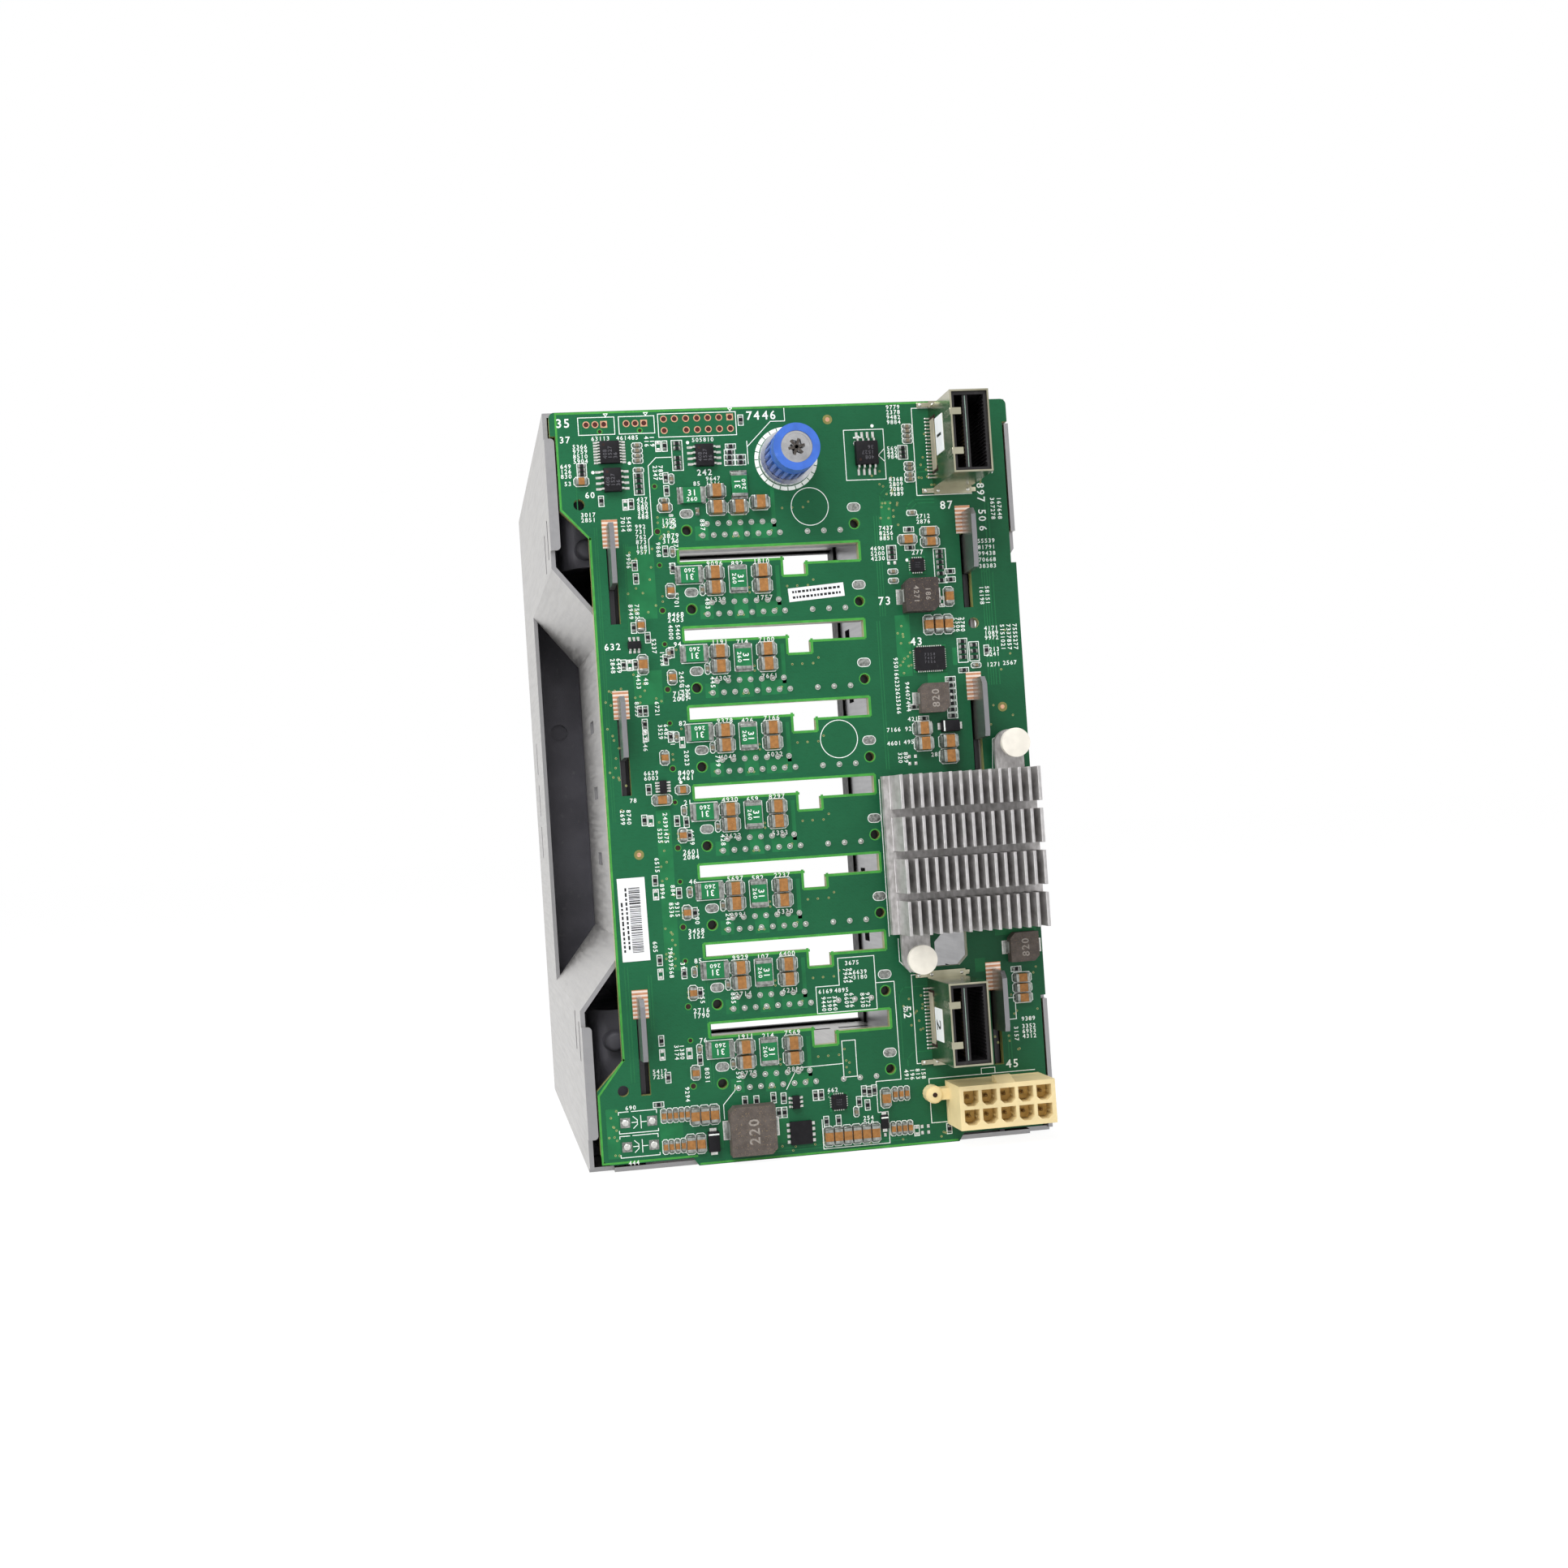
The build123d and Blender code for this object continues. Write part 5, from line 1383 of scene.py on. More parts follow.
@dataclass
class LeadedChip:
    """A chip with bent leads down two sides.

    Attributes:
        u: its middle from the left.
        v: its middle from the top.
        width: its body across the leads.
        length: its body along the rows of leads.
        height: its height over the board.
        leads: how many leads each side has.
        pitch: from lead to lead.
        reach: how far a lead stands out from the body.
        turn: 90 where the leads point up and down.
    """

    u: float
    v: float
    width: float
    length: float
    height: float
    leads: int
    pitch: float
    reach: float
    turn: float = 0.0

    def pattern(self) -> bpy.types.Mesh:
        """Returns body, leads, solder, printed figures and the first lead's mark in slots 0 to 4."""
        mould = Mould()
        foot = 0.12
        body = self.height - foot
        mould.block(
            (0, 0, foot + body / 2), (self.width, self.length, body), 0,
            bevel=0.1, segments=2, taper=(0.96, 0.96),
        )
        thick = 0.16
        shoulder = foot + body * 0.55
        lead = min(0.42, self.pitch * 0.5)
        for side in (-1, 1):
            start = side * (self.width / 2 - 0.1)
            tip = side * (self.width / 2 + self.reach)
            bend = side * (self.width / 2 + 0.3 * self.reach)
            knee = side * (self.width / 2 + 0.5 * self.reach)
            section = [
                (start, shoulder), (bend, shoulder), (knee, thick), (tip, thick),
                (tip, 0.02), (knee - side * 0.12, 0.02),
                (bend - side * 0.12, shoulder - thick), (start, shoulder - thick),
            ]
            for at in range(self.leads):
                y = (at - (self.leads - 1) / 2) * self.pitch
                mould.profile(section, y - lead / 2, y + lead / 2, 1)
                mould.block(
                    (side * (self.width / 2 + 0.78 * self.reach), y, 0.05),
                    (self.reach * 0.75, lead + 0.14, 0.12), 2, bevel=0.03,
                )
        if self.width > 3.0:
            mark = (-self.width * 0.3, self.length * 0.32)
            mould.rod(mark, 0.32, self.height - 0.08, self.height + 0.004, 4, sides=14)
            for row, value in enumerate((408, 1527, 36)):
                for at, figure in enumerate(str(value)):
                    place = (-0.75 + 1.15 * row, 1.5 - 0.72 * at)
                    mould.stamp(FIGURES.figure(int(figure)), *place, 90, (0.8, 0.8, 1.0), self.height)
        return mould.pattern()


@dataclass
class Chips:
    """Every integrated circuit, with and without leads.

    Attributes:
        flat: u, v, width, length and height of those without leads.
        transistor: the same of the large one with broad contacts.
    """

    leaded: tuple[LeadedChip, ...] = (
        LeadedChip(12.5, 9.35, 4.5, 5.2, 1.1, 8, 0.65, 1.15),
        LeadedChip(12.75, 15.6, 4.0, 5.4, 1.5, 4, 1.27, 1.5),
        LeadedChip(33.8, 10.75, 4.2, 5.1, 1.5, 4, 1.27, 1.5),
        LeadedChip(71.0, 11.6, 5.5, 5.3, 1.9, 4, 1.27, 1.9, turn=90),
        LeadedChip(15.25, 52.75, 1.7, 3.0, 1.1, 3, 0.95, 0.85, turn=90),
        LeadedChip(19.65, 84.8, 1.6, 3.0, 1.0, 4, 0.65, 0.8),
        LeadedChip(45.0, 157.5, 1.7, 3.0, 1.1, 3, 0.95, 0.7),
    )
    flat: Rows = (
        (82.75, 59.25, 7, 5.4, 0.9),
        (81.25, 37.7, 3.1, 3.1, 0.9),
        (54.8, 158.3, 3.4, 3.3, 0.9),
    )
    transistor: tuple[float, float, float, float, float] = (45.75, 164.4, 6.2, 5.2, 1.0)

    def build(self) -> None:
        """Builds both groups."""
        mould = Mould()
        for chip in self.leaded:
            mould.stamp(chip.pattern(), chip.u, chip.v, chip.turn)
        finishes = (CHIP, TIN, TIN, CHIP_PRINT, BORE)
        mould.finish("ControlChips", finishes, slot="chip_plastic", replaces=("control_chips",))
        self.build_flat()

    def build_flat(self) -> None:
        """Lays the chips whose contacts lie under their edges."""
        mould = Mould()
        for u, v, width, length, height in self.flat:
            mould.block((u, -v, height / 2 + 0.03), (width, length, height - 0.06), bevel=0.06)
            mould.block((u, -v, 0.015), (width + 0.9, length + 0.9, 0.03), 2)
            mark = (u - width * 0.34, -v + length * 0.32)
            mould.rod(mark, 0.2, height - 0.1, height + 0.004, 4, sides=12)
            share = width * 0.08
            for row in range(3):
                for at, figure in enumerate((7, 3 + row, 5, 8 - row)):
                    place = (u - width * (0.2 - 0.1 * at), v - length * (0.12 - 0.16 * row))
                    mould.stamp(FIGURES.figure(figure), *place, 0, (share, share, 1.0), height)
            for along, across, far in ((width, length, True), (length, width, False)):
                count = int((along - 0.6) / 0.5)
                for at in range(count):
                    slide = (at - (count - 1) / 2) * 0.5
                    for side in (-1, 1):
                        out = side * (across / 2 + 0.12)
                        place = (u + slide, -v + out, 0.12) if far else (u + out, -v + slide, 0.12)
                        size = (0.26, 0.46, 0.2) if far else (0.46, 0.26, 0.2)
                        mould.block(place, size, 1, bevel=0.03)
        u, v, width, length, height = self.transistor
        mould.block((u, -v, height / 2 + 0.03), (width - 1.2, length, height - 0.06), bevel=0.1)
        for side in (-1, 1):
            for at in range(4):
                place = (u + side * (width / 2 - 0.5), -v + (at - 1.5) * 1.27, 0.14)
                mould.block(place, (1.3, 0.75, 0.24), 1, bevel=0.05)
        finishes = (CHIP, TIN, MASK_POUR, CHIP_PRINT, BORE)
        mould.finish("FlatChips", finishes, slot="chip_plastic", replaces=("flat_chips",))


@dataclass
class Diodes:
    """Moulded diodes with flat side tabs, and the small square lamp housing.

    Attributes:
        places: u, v, width, length and height of each.
    """

    places: Rows = (
        (86.4, 74.9, 4.4, 2.7, 1.6), (25.85, 164.6, 2.6, 4.6, 1.6), (65, 163.7, 1.8, 3.2, 1),
    )

    def build(self) -> None:
        """Lays the diodes as one piece, each with its tabs at its far ends."""
        mould = Mould()
        for u, v, width, length, height in self.places:
            level = width > length
            mould.block(
                (u, -v, height / 2 + 0.06), (width, length, height - 0.12),
                bevel=0.12, segments=2, taper=(0.94, 0.94),
            )
            half = max(width, length) / 2
            tab = min(width, length) * 0.6
            for side in (-1, 1):
                out = side * (half + 0.25)
                place = (u + out, -v, 0.12) if level else (u, -v + out, 0.12)
                mould.block(place, (0.9, tab, 0.2) if level else (tab, 0.9, 0.2), 1, bevel=0.04)
            band = (0.35, length * 0.9, 0.05) if level else (width * 0.9, 0.35, 0.05)
            place = (u - half + 0.6, -v) if level else (u, -v + half - 0.6)
            mould.block((*place, height - 0.02), band, 2, bevel=0.01)
        mould.finish("Diodes", (CHIP, TIN, INK), slot="chip_plastic", replaces=("diodes",))


@dataclass
class CoilClips:
    """Tinned clips folded up the ends of the moulded coils, with their solder.

    Attributes:
        places: left end, v, right end, width and height of each coil's clips.
        marks: u, v, height, turn, size and figures of each printed number.
    """

    places: Rows = (
        (29.4, 162.45, 39.6, 3.8, 2.6),
        (77.2, 44.8, 85, 3, 2.4),
        (79.4, 68.35, 86.1, 2.6, 1.8),
        (96.5, 126.45, 103.2, 2.6, 1.8),
    )
    marks: Sequence[tuple[float, float, float, float, float, tuple[int, ...]]] = (
        (35.7, 162.45, 4.6, 90, 2.2, (2, 2, 0)),
        (79.2, 44.8, 4, -90, 1.1, (4, 2, 7, 1)),
        (81.9, 44.8, 4, -90, 1.1, (1, 8, 6)),
        (83.7, 68.35, 3, 90, 1.6, (8, 2, 0)),
        (100.8, 126.45, 3, 90, 1.6, (8, 2, 0)),
    )

    def build(self) -> None:
        """Makes the clips and the coils' plain numbers as one piece."""
        mould = Mould()
        for u, v, top, turn, share, values in self.marks:
            along = Vector((math.cos(math.radians(turn)), math.sin(math.radians(turn))))
            for at, value in enumerate(values):
                slide = (at - len(values) / 2) * 0.92 * share
                place = (u + along.x * slide, v - along.y * slide)
                mould.stamp(FIGURES.figure(value), *place, turn, (share, share, 1.0), top)
        for left, v, right, width, rise in self.places:
            for edge, side in ((left, -1), (right, 1)):
                mould.block((edge + side * 0.06, -v, rise / 2), (0.16, width, rise), bevel=0.04)
                mould.block((edge + side * 0.45, -v, 0.12), (1.1, width, 0.24), bevel=0.08, segments=2)
                mould.block((edge + side * 0.55, -v, 0.03), (1.5, width + 0.5, 0.06), 1, bevel=0.02)
        mould.finish("CoilClips", (TERMINATION, TIN, TIN, COIL_PRINT), slot="screw_steel")


class Legend:
    """White printed lines, rings and numbers on the board."""

    def __init__(self) -> None:
        """Starts an empty print and a seeded source of plain numbers."""
        self.mould = Mould()
        self.pick = random.Random(11)
        self.strips = 0

    def height(self) -> float:
        """Returns the next strip's height, each a hair off the last so that crossings differ."""
        self.strips += 1
        return 0.018 + 0.0012 * (self.strips % 9)

    def line(self, points: Spots, width: float = 0.17, closed: bool = False) -> None:
        """Prints a line through board points.

        Args:
            points: its corners as u and v.
            width: its width.
            closed: whether it returns to its start.
        """
        path = list(points) + ([points[0]] if closed else [])
        for start, end in zip(path, path[1:]):
            self.mould.strip(start, end, width, self.height(), extra=width * 0.9)

    def frame(self, u: float, v: float, width: float, length: float, cut: float = 0.0) -> None:
        """Prints a box round a part, its corners cut off if asked.

        Args:
            u: its middle from the left.
            v: its middle from the top.
            width: its width.
            length: its length.
            cut: size of its cut corner.
        """
        left, right = u - width / 2, u + width / 2
        top, bottom = v - length / 2, v + length / 2
        if cut:
            corners = [
                (left + cut, top), (right - cut, top), (right, top + cut), (right, bottom - cut),
                (right - cut, bottom), (left + cut, bottom), (left, bottom - cut), (left, top + cut),
            ]
        else:
            corners = [(left, top), (right, top), (right, bottom), (left, bottom)]
        self.line(corners, closed=True)

    def ring(self, u: float, v: float, radius: float, width: float = 0.17) -> None:
        """Prints a ring."""
        inner, outer = radius - width / 2, radius + width / 2
        self.mould.ring((u, -v), inner, outer, -0.01, self.height(), sides=48)

    def dot(self, u: float, v: float) -> None:
        """Prints a round dot."""
        self.mould.rod((u, -v), 0.38, -0.01, 0.02, sides=14)

    def number(
        self, u: float, v: float, figures: int, turn: float = 0.0, height: float = 1.1,
    ) -> None:
        """Prints a plain number that starts at u and v, its foot on v.

        Args:
            u: its left end.
            v: its foot.
            figures: how many figures it has.
            turn: how far it is turned to the left, in degrees.
            height: the figures' height.
        """
        share = height / FIGURES.height
        step = 0.96 * share
        along = Vector((math.cos(math.radians(turn)), math.sin(math.radians(turn))))
        for at in range(figures):
            value = self.pick.randint(1 if at == 0 else 0, 9)
            self.mould.stamp(
                FIGURES.figure(value), u + along.x * step * at, v - along.y * step * at,
                turn, (share, share, 1.0), 0.012,
            )

    def column(
        self, u: float, v: float, figures: int = 4, rows: int = 1, pitch: float = 1.15,
        turn: float = 0.0,
    ) -> None:
        """Prints several numbers under each other, or side by side where they are turned.

        Args:
            u: the first one's left end.
            v: the first one's foot.
            figures: how many figures each has.
            rows: how many numbers there are.
            pitch: from one to the next.
            turn: how far each is turned to the left, in degrees.
        """
        for at in range(rows):
            if turn:
                self.number(u + at * pitch, v, figures, turn, 1.0)
            else:
                self.number(u, v + at * pitch, figures, turn, 0.98)

    def finish(self) -> None:
        """Ends the print as one piece."""
        self.mould.finish("Legend", (INK, INK, INK, INK))


@dataclass
class LegendPlan:
    """What is printed where: frames round parts, outlines, rings and numbers.

    Attributes:
        lines: the corners of each line.
        boxes: left, top, right and bottom of each box.
        rings: u, v and radius of each ring.
        dots: places of the dots beside the chips' first leads.
        corners: places of the small triangles over the headers' first pads.
        unfitted: the heights of the two round capacitors that aren't fitted.
        marks: u, v, figures, turn and height of each large number.
        columns: u, v, figures, rows and pitch of the small upright numbers.
        turned: the same of the small numbers that are turned to the right.
    """

    lines: Sequence[Spots] = (
        ((26.5, 10.85), (22.8, 10.85), (20.97, 12.64), (20.97, 28.15), (20, 29.2), (20, 32.4)),
        ((43.7, 7.8), (43.7, 13)),
        ((43.8, 9), (49.4, 3.5), (52.7, 3.5), (52.7, 0.5)),
        (
            (56.7, 126), (65.1, 126), (65.1, 138.1), (51.3, 138.1), (51.3, 132.1),
            (56.7, 132.1), (56.7, 126),
        ),
        (
            (65.1, 132.2), (69.4, 132.2), (69.5, 154.5), (63.7, 154.5), (63.7, 161.5),
            (66, 161.5), (66, 168.6), (50.7, 168.6), (50.7, 162),
        ),
        ((43.1, 154.5), (45.2, 150.9), (45.8, 149.9), (56.4, 149.8)),
        ((31.5, 152.5), (31.4, 153.7), (28.6, 156.7), (28.6, 159.9)),
        ((69, 86.2), (69, 121.9)),
        ((95.9, 85.3), (96.3, 78.5), (98.6, 77.4)),
        ((71, 122.6), (71, 127.8), (73.4, 130.5)),
        ((75.4, 10.6), (73.9, 12.1), (75.4, 13.6)),
        ((95.3, 21.67), (82.36, 21.67), (82.36, 1.56), (86.6, 1.56)),
        ((78.4, 151.3), (73.5, 151.3), (73.5, 131.1), (77, 131.1)),
        ((79.6, 165), (76, 165), (76, 159.8)),
        ((76, 156), (76, 154.95), (101, 154.95)),
        ((88.4, 154.9), (88.4, 153.6), (91.6, 153.6), (91.6, 154.9)),
    )
    boxes: Rows = (
        (5.85, 1.36, 13.97, 5.26), (14.95, 1.36, 22.95, 5.26), (23.8, 1.03, 41.5, 6.28),
        (66.15, 6.1, 75.4, 17.6), (56.4, 144.7, 59.5, 152.9),
        (26.5, 7.1, 28.9, 13.9), (5, 11.6, 7.1, 14.6), (17.5, 14.2, 19.7, 19.1),
        (89.5, 55, 91.8, 60.5), (92.2, 55.9, 94.5, 60.3), (95.1, 138.1, 97.5, 143),
        (78.6, 10, 80.8, 13.2), (74.4, 32.9, 76.6, 36.2), (85.3, 34.1, 88.1, 42),
    )
    rings: Rows = ((57.2, 23.2, 4.29), (60.4, 76.4, 4.29))
    dots: Spots = ((8.5, 13.7), (16.8, 11.9), (30.2, 7.7), (72.9, 5.3), (23.7, 84.0), (79.0, 36.4))
    corners: Spots = ((12.1, 0.9), (21.1, 0.9), (40.3, 0.45))
    unfitted: tuple[float, float] = (158.8, 164.15)
    marks: Rows = (
        (96.6, 19.3, 3, -90, 1.8), (96.6, 25.4, 2, -90, 1.8), (96.6, 29.2, 1, -90, 1.8),
        (71.2, 138, 2, -90, 1.8), (68.3, 7, 2, -90, 1.8), (0.9, 3.4, 2, 0, 2),
        (87.6, 25, 2, 0, 1.9), (94.3, 154, 2, 0, 1.9), (43.9, 3, 2, 0, 2),
        (47.6, 3, 2, 0, 2), (78.5, 56, 2, 0, 1.8), (71.6, 46.4, 2, 0, 1.9),
        (8.5, 53.6, 3, 0, 1.5), (1.5, 6.9, 2, 0, 1.5), (6.4, 19.4, 2, 0, 1.4),
        (31.9, 15.2, 3, 0, 1.4), (80.2, 35.2, 3, 0, 1.1),
    )
    columns: Rows = (
        (4.3, 8.3, 4, 4, 1.08), (1.3, 12.6, 3, 3, 1.12), (2, 16.5, 2), (5.2, 23.6, 4, 2),
        (17.9, 20.6, 3, 5, 0.98), (17.1, 26.7, 3, 6), (8.6, 6.6, 5), (14.2, 6.6, 6), (31.2, 7.6, 6),
        (30.9, 17.5, 2), (33.8, 16.5, 4, 2), (23.2, 25.6, 4, 2, 1.1), (76.4, 1.6, 4, 4),
        (76, 11.1, 3, 3, 0.95), (76, 18.2, 4, 4, 1.12), (81.8, 26.9, 4, 2, 1.25), (72.9, 29.3, 4, 3),
        (70.6, 33.9, 4, 3), (95.9, 33.2, 5, 5, 1.45), (98.7, 143.6), (98.7, 145.3, 4, 3), (76.7, 73.3),
        (71.6, 75.5), (75.9, 75.5, 2), (71.5, 78.6), (75.4, 78.5), (81.6, 81.7), (96.1, 53.4, 4, 3, 1.1),
        (96.1, 58.3, 4, 2, 1.1), (96.1, 61.8), (100, 61.6), (12, 87.9, 2), (15.5, 82, 4, 2),
        (58.3, 127.7), (60, 129.9, 4, 2), (51.8, 133.7), (55.5, 133.7), (13.2, 148.5, 4, 2),
        (52.4, 156, 3, 2), (60.2, 163, 3, 2, 1.1), (6.6, 156, 3), (6.6, 168.2, 3),
        (99.2, 8.9, 2, 2, 1.2), (99.4, 14, 2, 3, 1.6),
    )
    turned: Rows = (
        (20.5, 5.9, 3, 2, 1.25), (22, 12.6, 4, 2, 1.25), (14, 23.9, 4, 2, 1.35), (21.6, 29.9),
        (25.6, 29.6, 3), (14.7, 32.2), (99.6, 22.8, 6, 2, 1.6), (57.8, 128.4, 4, 2, 1.1),
        (52.4, 134.4, 4, 3, 1.3), (57.7, 134, 4, 2, 1.2), (61.4, 134.2, 4, 2, 1.2),
        (70.4, 152.4, 3, 4, 1.32), (96.8, 144.7), (71.2, 137.9, 2), (14.5, 43.6, 4, 2, 1.4), (19.2, 51.5),
        (9.7, 55.5, 4, 2, 1.35), (15.2, 59.3), (16.9, 60.2, 2), (23.2, 48.6, 4, 2, 1.6), (20.9, 54.4),
        (24.8, 62.2, 4, 2, 1.3), (14.5, 65.4), (19, 65.6), (15.8, 69.8, 8), (19.4, 70.8, 4, 2, 1.3),
        (22, 72.4), (20.2, 76.5), (9.7, 89.4, 4, 2, 1.4), (19.2, 90.6, 8), (17.8, 94), (16.7, 100.5),
        (17.5, 106.4), (19.9, 106.8, 3), (19.3, 110.7, 4, 2, 1.3), (15.1, 119.1, 3), (18.4, 120.7, 8),
        (21, 124.2), (18.4, 142.5, 4, 2, 1.2), (20.2, 152), (95.6, 43.2, 5, 2, 1.35),
        (99.9, 52.2, 7, 3, 1.5), (88.3, 50.1, 4, 3), (74.3, 58.6, 15), (76.6, 64.3, 8),
        (73.9, 80.3, 3, 2, 1.3),
    )

    def parts(self, print_on: Legend) -> None:
        """Frames every chip part.

        Args:
            print_on: the legend.
        """
        small = SmallParts()
        rows = [row for group in Capacitors().groups().values() for row in group] + [
            (RESISTOR, Lie.UPRIGHT, (*small.resistors_upright, *small.empty_upright)),
            (RESISTOR, Lie.LEVEL, small.resistors_framed),
            (MICRO_CAP, Lie.LEVEL, small.micro_level),
            (MICRO_CAP, Lie.UPRIGHT, small.micro_upright),
        ]
        for kind, lie, spots in rows:
            along, across, cut = kind.border
            size = (along, across) if lie is Lie.LEVEL else (across, along)
            for u, v in spots:
                print_on.frame(u, v, *size, cut)

    def screw_place(self, print_on: Legend) -> None:
        """Prints the broad ring round the thumbscrew."""
        low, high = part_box("screw_ferrule")
        middle = DRAWING.axes().inverted() @ ((low + high) / 2)
        print_on.mould.ring((middle.x, middle.y), 6.35, 7.25, -0.01, 0.024, sides=64)

    def bay(self, print_on: Legend, bay: int) -> None:
        """Prints one bay's numbers and outlines.

        Args:
            print_on: the legend.
            bay: which bay, from 0.
        """
        h = bay_v(bay)
        if bay:
            for u, below, figures in (
                (24.1, -9.5, 2), (32.7, -9.55, 4), (38.3, -9.35, 3), (43.4, -9.6, 4),
                (32.9, -1.35, 4), (43.6, -1.35, 4),
            ):
                print_on.number(u, h + below, figures)
            print_on.frame(28.62, h - 7.7, 5.9, 4.1)
            print_on.frame(39.67, h - 6.35, 4.1, 5.9)
            print_on.frame(31.4, h - 4.2, 1.15, 2.5, 0.35)
        print_on.number(31.9, h - 2.4, 3, -90, 1.05)
        print_on.number(24.9, h - 3.9, 4, -90, 1.05)
        if bay < BAY_COUNT - 1:
            print_on.number(23.2, h + 1.6, 4)
            print_on.number(23.1, h + 2.75, 4)

    def numbers(self, print_on: Legend) -> None:
        """Prints the numbers that stand beside single parts.

        Args:
            print_on: the legend.
        """
        for mark in self.marks:
            print_on.number(*mark)
        for row in self.columns:
            print_on.column(*row)
        for row in self.turned:
            print_on.column(*row, turn=-90)

    @staticmethod
    def round_place(print_on: Legend, v: float) -> None:
        """Prints the outline and sign of one unfitted round capacitor.

        Args:
            print_on: the legend.
            v: its height below the top edge.
        """
        for path in (
            ((5, -1.9), (5, -2.45), (7.2, -2.45)),
            ((7.9, -2.45), (13.5, -2.45), (13.5, -1.7)),
            ((5, 1.7), (5, 2.3), (13.7, 2.3), (13.7, 1.8)),
            ((8.2, -1.3), (9.1, -0.5), (9.1, 0.5), (8.2, 1.3)),
            ((9.9, -1.4), (9.9, 1.4)),
            ((9.9, 0), (11.1, 0)),
            ((7.9, 0), (9.1, 0)),
        ):
            print_on.line([(u, v + below) for u, below in path])

    def build(self) -> None:
        """Makes the whole print."""
        print_on = Legend()
        for points in self.lines:
            print_on.line(points)
        for left, top, right, bottom in self.boxes:
            print_on.frame((left + right) / 2, (top + bottom) / 2, right - left, bottom - top)
        for ring in self.rings:
            print_on.ring(*ring)
        for dot in self.dots:
            print_on.dot(*dot)
        for u, v in self.corners:
            print_on.line(((u - 0.45, v - 0.3), (u + 0.45, v - 0.3), (u, v + 0.3)), closed=True)
        for v in self.unfitted:
            self.round_place(print_on, v)
        self.parts(print_on)
        self.screw_place(print_on)
        for bay in range(BAY_COUNT):
            self.bay(print_on, bay)
        self.numbers(print_on)
        print_on.finish()


@dataclass
class SmallParts:
    """Resistors, very small capacitors and empty solder places round the chips.

    Attributes:
        resistors_framed: level resistors with a printed frame.
        bay_micro: place of the small capacitor in each bay, from that bay's holes.
        round_pads: pads of the two round capacitors that aren't fitted.
    """

    resistors_level: Spots = (
        (6.05, 12.15), (6.05, 13.1), (6.05, 14.05), (18.6, 14.85), (18.6, 15.95), (18.6, 17.2),
        (18.6, 18.4), (27.7, 7.8), (27.7, 8.9), (27.7, 11.1), (27.7, 12.2), (27.7, 13.25), (79.7, 10.6),
        (79.7, 11.6), (79.7, 12.6), (75.5, 33.5), (75.5, 34.5), (75.5, 35.6), (86.7, 34.8), (86.7, 35.9),
        (86.7, 37.2), (86.7, 38.4), (86.7, 39.8), (86.7, 41.4), (90.65, 55.7), (90.65, 56.9),
        (90.65, 58.1), (90.65, 59.3), (93.35, 56.6), (93.35, 58), (93.35, 59.4),
    )
    resistors_framed: Spots = (
        (39.9, 8.9), (39.6, 10.2), (39.5, 11.4), (39.5, 12.6), (42, 11.4), (42, 12.6),
        (79.85, 29.4), (79.85, 33.6), (88.9, 39.4), (88.9, 41.3), (78.3, 70.1), (80.4, 72.9),
        (90.6, 62.3), (98.2, 131.6), (14.05, 155.4), (87.3, 64.2), (87.3, 65.6), (87.3, 67),
        (87.3, 68.4), (87.3, 69.8), (87.3, 71.2), (87.3, 72.6),
    )
    resistors_upright: Spots = (
        (9.95, 20.2), (16.6, 21.1), (24.75, 15.5), (24.75, 18.4), (24.95, 8.3), (16.5, 34.9),
        (16.6, 37.9), (24.3, 40.9), (25, 35.9), (23.6, 32), (15.4, 48.9), (18.4, 51.2), (12.6, 57.1),
        (15.3, 57.1), (23.5, 54.8), (22.1, 56.4), (15.6, 67.6), (16.8, 67.6), (16.5, 70.6), (22.1, 73.7),
        (16.4, 85.2), (15, 92), (22.3, 92.6), (24.4, 93), (16.5, 105.6), (21.7, 108.7),
        (16.4, 123.4), (21.7, 126.7), (15.6, 141.3), (24, 146.3), (16.6, 149.6), (42.6, 3),
        (61.4, 159.6), (60.8, 156.4), (62, 156.6), (63.2, 156.4), (54.5, 162.5), (80, 166.6),
        (50.9, 156.4), (49.6, 156.4), (33.5, 156.4), (36.1, 156.5), (40, 156.1), (42.3, 156.4),
        (41, 159.6), (42.3, 159.6), (59.5, 158.7), (51.7, 162.5), (96.3, 58), (25, 131.3),
        (25, 113.4), (24.9, 96),
    )
    micro_level: Spots = (
        (18.7, 7.95), (18.7, 9.15), (18.7, 10.3), (18.7, 11.4), (18.7, 13.55), (80.95, 5.75),
        (80.95, 6.75), (80.95, 7.95), (80.95, 9), (80.95, 14.4), (80.95, 15.4), (80.95, 16.85),
        (80.95, 17.9), (75.5, 41), (75.5, 38.9), (93.6, 61.3), (24, 20.6), (80.8, 25.6),
    )
    micro_upright: Spots = (
        (23.4, 73.8), (24, 90.4), (24, 143.9), (24.1, 108.7), (24, 126.6), (25.2, 32.2),
        (26, 15.8), (22.9, 55), (65.6, 157.9), (58.7, 160.9),
    )
    empty_upright: Spots = (
        (23.5, 8.3), (15.3, 21.2), (14, 57.2), (16.5, 73.2), (24.6, 75.1), (16.4, 92.2), (16.5, 108.7),
        (16.4, 126.5), (15.6, 144.4), (21.7, 144.6), (86.5, 46.3), (72.4, 166.4),
    )
    empty_level: Spots = (
        (75.4, 36.9), (64.3, 166.7), (77.2, 81.4), (77.2, 83), (74.4, 165.6), (74.4, 167),
    )
    bay_micro: tuple[float, float] = (31.4, -4.2)
    round_pads: Spots = ((6.4, 158.8), (12.4, 158.8), (6.5, 164.15), (12.5, 164.15))

